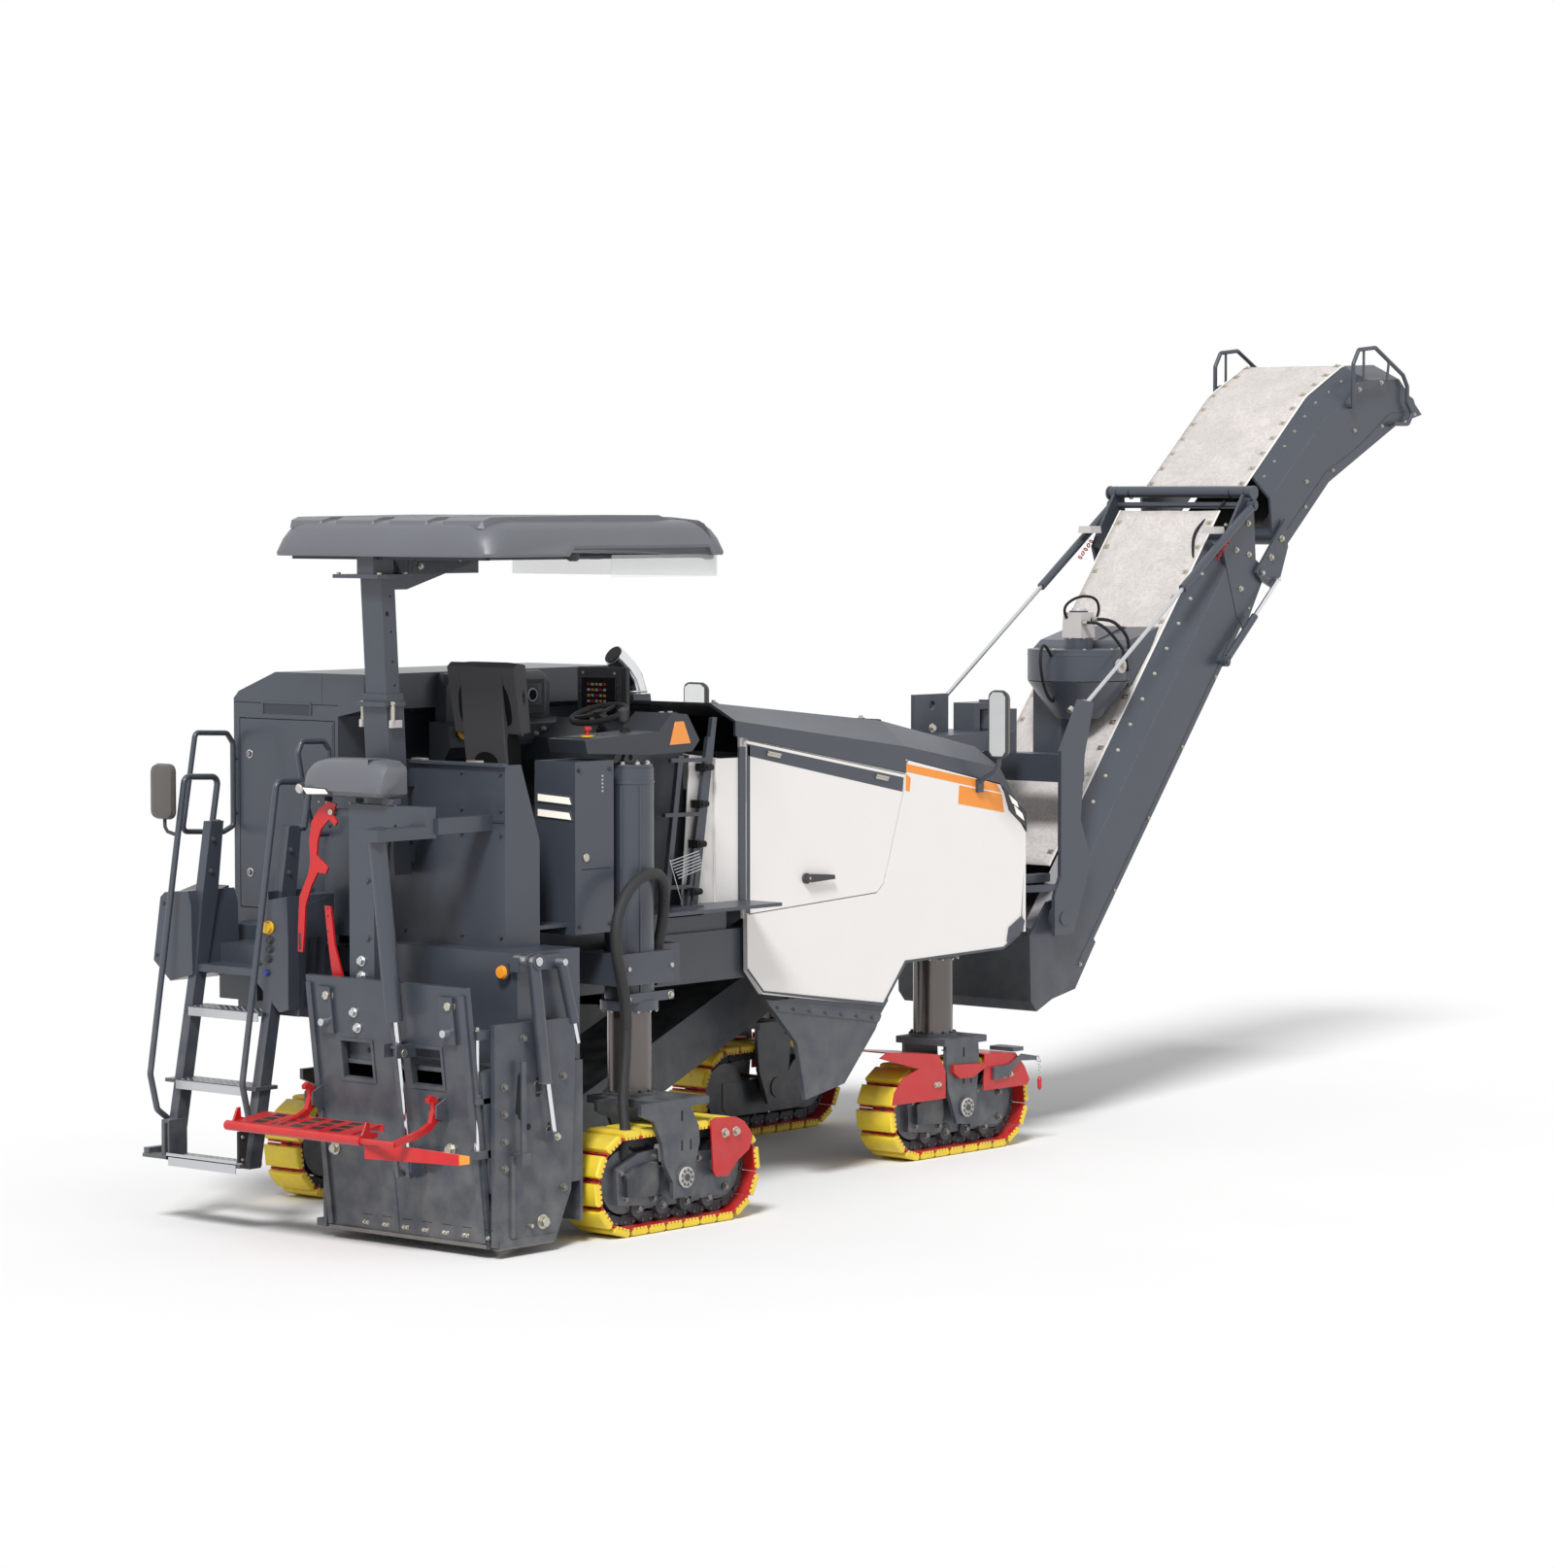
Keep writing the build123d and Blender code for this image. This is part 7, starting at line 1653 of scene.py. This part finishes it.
def trough_side(shape, side, stations, start, end, clips, bolts):
    """Clips and edge cord of the cloth, bolts, seam and paler shoulder along one side of a trough."""
    for step in range(clips):
        share = start + (end - start) * (step + 0.5) / clips
        centre, ahead, up = run_frame(stations, share)
        place = centre + Vector((0, side * (TOP_HALF - 0.03), 0)) + up * 0.013
        shape.loft([[place + ahead * u + Vector((0, v, 0)) + up * lift for u, v in rect(0, 0, 0.016, 0.02)]
                    for lift in (0.0, 0.005)], "zinc")
        shape.disc(place + up * 0.004, up, 0.01, 0.008, "zinc", sides=8)
        spot, way = wall_point(stations, share + 0.012, 0.055, side)
        shape.bolt(spot, way, "zinc", 0.015)
    edge = []
    for step in range(33):
        centre, ahead, up = run_frame(stations, start + (end - start) * step / 32)
        edge.append(centre + Vector((0, side * (TOP_HALF + 0.005), 0)) + up * 0.009)
    shape.tube(edge, 0.0065, "piping", sides=8)
    for step in range(bolts):
        spot, way = wall_point(stations, 0.05 + 0.9 * step / (bolts - 1), 0.5, side)
        shape.bolt(spot, way, "zinc", 0.016)
    seam = [wall_point(stations, step / 24, 0.475, side, 0.0005)[0] for step in range(1, 24)]
    shape.tube(seam, 0.0025, "slate_deep", sides=6)
    for step in range(SHOULDER_STEPS):
        low, high = (0.03 + 0.93 * (step + more) / SHOULDER_STEPS for more in (0, 1))
        corners = [wall_point(stations, share, depth, side, 0.0008)[0]
                   for share, depth in ((low, 0.012), (high, 0.012), (high, 0.1495), (low, 0.1495))]
        face = shape.mesh.faces.new([shape.mesh.verts.new(at(*corner)) for corner in corners])
        shape.paint([face], "shoulder")


def lower_head(shape, side):
    """Pivot's discs and seal, bracket, bolts and safety chain at the lower section's head."""
    x, z, way = 7.174, 3.916, (0, side, 0)
    y = CENTRE + side * 0.565
    shape.disc((x, y, z), way, 0.012, 0.046, "slate", sides=28)
    shape.disc((x, y - side * 0.05, z), (0, -side, 0), 0.012, 0.044, "slate", sides=28)
    y = CENTRE + side * 0.49
    shape.box(6.78, 6.9, y - 0.05, y + 0.05, 3.655, 3.7, "motor_grey", 0.004)
    y = CENTRE + side * 0.5245
    shape.bolts([(7.1, y, 3.3), (7.19, y, 3.52), (7.18, y, 3.72), (7.05, y, 3.55)], way, "zinc", 0.024)
    shape.ring((x, CENTRE + side * 0.4, z), LEFT, 0.038, 0.004, "rubber")
    for link in range(5):
        shape.ring((6.93 - link * 0.03, CENTRE + side * 0.545, 3.6 - link * 0.026),
                   LEFT if link % 2 else (0.6, 0, 0.8), 0.013, 0.004, "signal_red", sides=12, section=6)


def upper_head(shape, side):
    """Bolts of the upper section's wall and pivot, and the bars of the guard at its head."""
    for share in (0.3, 0.62):
        spot, way = wall_point(UPPER_TROUGH, share, 0.36, side)
        shape.bolt(spot, way, "zinc", 0.018)
    y, way = CENTRE + side * 0.551, (0, side, 0)
    shape.bolts([(7.3, y, 3.4), (7.4, y, 3.5), (7.52, y, 3.62)], way, "zinc", 0.028)
    y = CENTRE + side * 0.556
    shape.bar((8.46, y, 4.6), (8.46, y, 4.87), 0.009, "slate", sides=10)
    shape.bar((8.74, y, 4.66), (8.76, y, 4.79), 0.009, "slate", sides=10)
    y += side * 0.006
    shape.bolts([(8.4, y, 4.6), (8.66, y, 4.65)], way, "zinc", 0.02)


def make_conveyor():
    """Fittings of the two conveyor sections."""
    for body, clips, bolts, head in (("conveyor_lower", 14, 6, lower_head),
                                     ("conveyor_upper", 10, 5, upper_head)):
        shape = Shape()
        for side in (-1, 1):
            trough_side(shape, side, *COVERS[body], clips, bolts)
        for side in (-1, 1):
            head(shape, side)
        shape.finish(body + "_fittings", body, "paint", bevel=0)


FAN_X, FAN_Y = 5.84, 0.08
# name, diameter and points of the fan's hoses, x and y counted from its axis
FAN_HOSES = [("fan_hose_rear", 0.02, [(-0.04, -0.065, 3.1), (-0.07, -0.17, 3.11), (-0.05, -0.24, 3.08),
                                      (0.02, -0.3, 2.98), (0.06, -0.335, 2.88), (0.07, -0.33, 2.8)]),
             ("fan_hose_loop", 0.018, [(-0.065, 0.04, 3.13), (-0.13, 0.04, 3.19), (-0.04, -0.02, 3.27),
                                       (0.12, -0.05, 3.26), (0.17, -0.04, 3.17), (0.11, -0.03, 3.09),
                                       (0.065, -0.02, 3.06)]), ("fan_hose_left", 0.02,
                                                                [(-0.325, -0.03, 2.9), (-0.43, -0.06, 2.99),
                                                                 (-0.53, -0.1, 2.93), (-0.52, -0.1, 2.8),
                                                                 (-0.42, -0.06, 2.68), (-0.27, 0.01, 2.61),
                                                                 (-0.108, 0.085, 2.6)]),
             ("fan_hose_front", 0.022, [(0.04, -0.065, 3.12), (0.09, -0.17, 3.13), (0.14, -0.24, 3.06),
                                        (0.18, -0.26, 2.99), (0.19, -0.25, 2.94)])]
RAIL_HOSE = [(7.165, -0.1, 3.86), (7.1, -0.09, 3.8), (7.0, -0.06, 3.74), (6.9, -0.05, 3.66),
             (6.84, -0.08, 3.56), (6.8, -0.12, 3.495)]


def dust_fan():
    """Motor, housing, cone and duct of the dust fan."""
    x, y = FAN_X, FAN_Y
    fan = Shape()
    fan.box(x - 0.075, x + 0.075, y - 0.075, y + 0.075, 3.005, 3.165, "motor_grey", 0.006)
    fan.disc((x, y, 3.165), UP, 0.027, 0.05, "motor_grey", 0.042, sides=24)
    fan.disc((x - 0.05, y - 0.08, 3.1), RIGHT, 0.03, 0.018, "zinc", sides=12)
    fan.disc((x + 0.05, y - 0.08, 3.12), RIGHT, 0.03, 0.018, "zinc", sides=12)
    fan.bolts(circle((x, y, 2.93), 0.26, 8), UP, "zinc", 0.02)
    fan.bolts(circle((x, y, 3.0), 0.085, 6), UP, "zinc", 0.014)
    fan.bar((x, y, 2.736), (x, y, 2.5), 0.318, "slate", 0.15, sides=44)
    fan.disc((x, y, 2.9), UP, 0.036, 0.322, "slate", 0.318, sides=48)
    fan.disc((x, y - 0.318, 2.835), RIGHT, 0.024, 0.045, "motor_grey", sides=24)
    fan.bolt((x, y - 0.342, 2.835), RIGHT, "zinc", 0.03)
    duct = [[(x + 0.02, 0.46, z), (x + 0.26, -0.12, z), (6.34, -0.13, z + 0.03), (6.38, 0.6, z + 0.03),
             (x + 0.3, 0.62, z)] for z in (2.7, 2.925)]
    duct.append([(x + 0.08, 0.44, 2.985), (x + 0.28, -0.1, 2.985), (6.44, -0.11, 3.065), (6.46, 0.58, 3.065),
                 (x + 0.32, 0.6, 2.985)])
    fan.loft(duct, "slate")
    fan.finish("dust_fan_motor", "conveyor_lower", "paint", bevel=0.0015)


def make_slew():
    """Bolts of the slewing head, the dust fan, the hoses round it and under the rail, and the stays' eyes."""
    shape = Shape()
    for side in (-1, 1):
        shape.bolts([(4.2, CENTRE + side * 0.3, z) for z in (1.6, 1.9, 2.2, 2.5)], (0, side, 0), "zinc",
                    0.034)
    turns = [radians(100 + step * 16) for step in range(10)]
    shape.bolts([(4.9 + 0.5 * cos(turn), CENTRE + 0.45 * sin(turn), 1.463) for turn in turns], UP, "zinc",
                0.026)
    shape.finish("slew_head_fittings", "frame", "paint", bevel=0.0012)
    dust_fan()
    for name, diameter, points in FAN_HOSES:
        hose(name, "conveyor_lower", [(FAN_X + u, FAN_Y + v, z) for u, v, z in points], diameter)
    hose("lift_rail_hose", "conveyor_lower", RAIL_HOSE, 0.02)
    eyes = Shape()
    for side in (-1, 1):
        y = CENTRE + side * 0.445
        eyes.bar((5.38, y, 2.565), (5.405, y, 2.585), 0.018, "zinc", sides=12)
    eyes.finish("stay_eyes", "slew_frame", "steel", bevel=0)


# ---------------------------------------------------------------- operators, panel and the whole
class Step:
    """What every step shares: it runs its own functions in order."""
    bl_options = {"REGISTER", "UNDO"}

    def execute(self, context):
        for make in self.makes:
            make()
        return {"FINISHED"}


class PLANER_OT_stage(Step, bpy.types.Operator):
    """Light, ground and camera."""
    bl_idname = "planer.stage"
    bl_label = "Stage"
    makes = (make_stage,)


class PLANER_OT_finishes(Step, bpy.types.Operator):
    """Paints, metals, rubber, cloth and glass, put on the fixed frame."""
    bl_idname = "planer.finishes"
    bl_label = "Finishes"
    makes = (make_tone_group, make_edge_group, make_grain_group, make_dust_group,
             make_materials, dress_frame)


class PLANER_OT_hoses(Step, bpy.types.Operator):
    """Sleeved hoses of the rear right column and the hose beside the lamp mast."""
    bl_idname = "planer.hoses"
    bl_label = "Hoses"
    makes = (make_hoses, make_leg_hoses)


class PLANER_OT_tracks(Step, bpy.types.Operator):
    """Pads, shoes and links of the four tracks."""
    bl_idname = "planer.tracks"
    bl_label = "Tracks"
    makes = (make_tracks,)


class PLANER_OT_legs(Step, bpy.types.Operator):
    """Hubs, guards, motors and rods of the four legs, and their columns' clamps."""
    bl_idname = "planer.legs"
    bl_label = "Legs"
    makes = (make_legs, make_guides)


class PLANER_OT_body(Step, bpy.types.Operator):
    """Side panels, doors and hood."""
    bl_idname = "planer.body"
    bl_label = "Body"
    makes = (make_sides, make_hood)


class PLANER_OT_platform(Step, bpy.types.Operator):
    """Platform, console, cabinet, ladder and canopy."""
    bl_idname = "planer.platform"
    bl_label = "Platform"
    makes = (make_platform, make_console, make_cabinet, make_ladder, make_canopy)


class PLANER_OT_seat(Step, bpy.types.Operator):
    """Driver's chair."""
    bl_idname = "planer.seat"
    bl_label = "Chair"
    makes = (make_seat,)


class PLANER_OT_rear(Step, bpy.types.Operator):
    """Scraper, guard, drum side plates, lamps, levers and mirrors."""
    bl_idname = "planer.rear"
    bl_label = "Rear"
    makes = (make_scraper, make_guard, make_side_plates, make_lamps, make_levers, make_mirrors)


class PLANER_OT_conveyor(Step, bpy.types.Operator):
    """Fittings and cloth covers of the loading conveyor, its fan and slewing head."""
    bl_idname = "planer.conveyor"
    bl_label = "Conveyor"
    makes = (make_covers, make_conveyor, make_slew)


ORDER = (PLANER_OT_stage, PLANER_OT_finishes, PLANER_OT_hoses, PLANER_OT_tracks, PLANER_OT_legs,
         PLANER_OT_body, PLANER_OT_platform, PLANER_OT_seat, PLANER_OT_rear, PLANER_OT_conveyor)


class PLANER_PT_panel(bpy.types.Panel):
    """Settings and steps of the looks."""
    bl_idname = "PLANER_PT_panel"
    bl_label = "Cold planer"
    bl_space_type = "VIEW_3D"
    bl_region_type = "UI"
    bl_category = "Planer"

    def draw(self, context):
        scene = context.scene
        # The Wear box also sets the lighter edges, which are partly painted highlight.
        for title, group, names in (("Paint", scene.planer_paint, PlanerPaint.__annotations__),
                                    ("Wear", scene.planer_wear, PlanerWearAndHighlight.__annotations__),
                                    ("Sizes", scene.planer_sizes, PlanerSizes.__annotations__)):
            box = self.layout.box()
            box.label(text=title)
            for name in names:
                box.prop(group, name)
        steps = self.layout.column(align=True)
        for step in ORDER:
            steps.operator(step.bl_idname)


CLASSES = (PlanerPaint, PlanerWearAndHighlight, PlanerSizes, *ORDER, PLANER_PT_panel)


def register():
    """Adds the classes and the scene's settings."""
    for kind in CLASSES:
        bpy.utils.register_class(kind)
    bpy.types.Scene.planer_paint = bpy.props.PointerProperty(type=PlanerPaint)
    bpy.types.Scene.planer_wear = bpy.props.PointerProperty(type=PlanerWearAndHighlight)
    bpy.types.Scene.planer_sizes = bpy.props.PointerProperty(type=PlanerSizes)


def unregister():
    """Takes them away again."""
    del bpy.types.Scene.planer_sizes
    del bpy.types.Scene.planer_wear
    del bpy.types.Scene.planer_paint
    for kind in reversed(CLASSES):
        bpy.utils.unregister_class(kind)


def main():
    """Runs every step in order."""
    register()
    for step in ORDER:
        group, name = step.bl_idname.split(".")
        getattr(getattr(bpy.ops, group), name)()


if __name__ == "__main__":
    main()
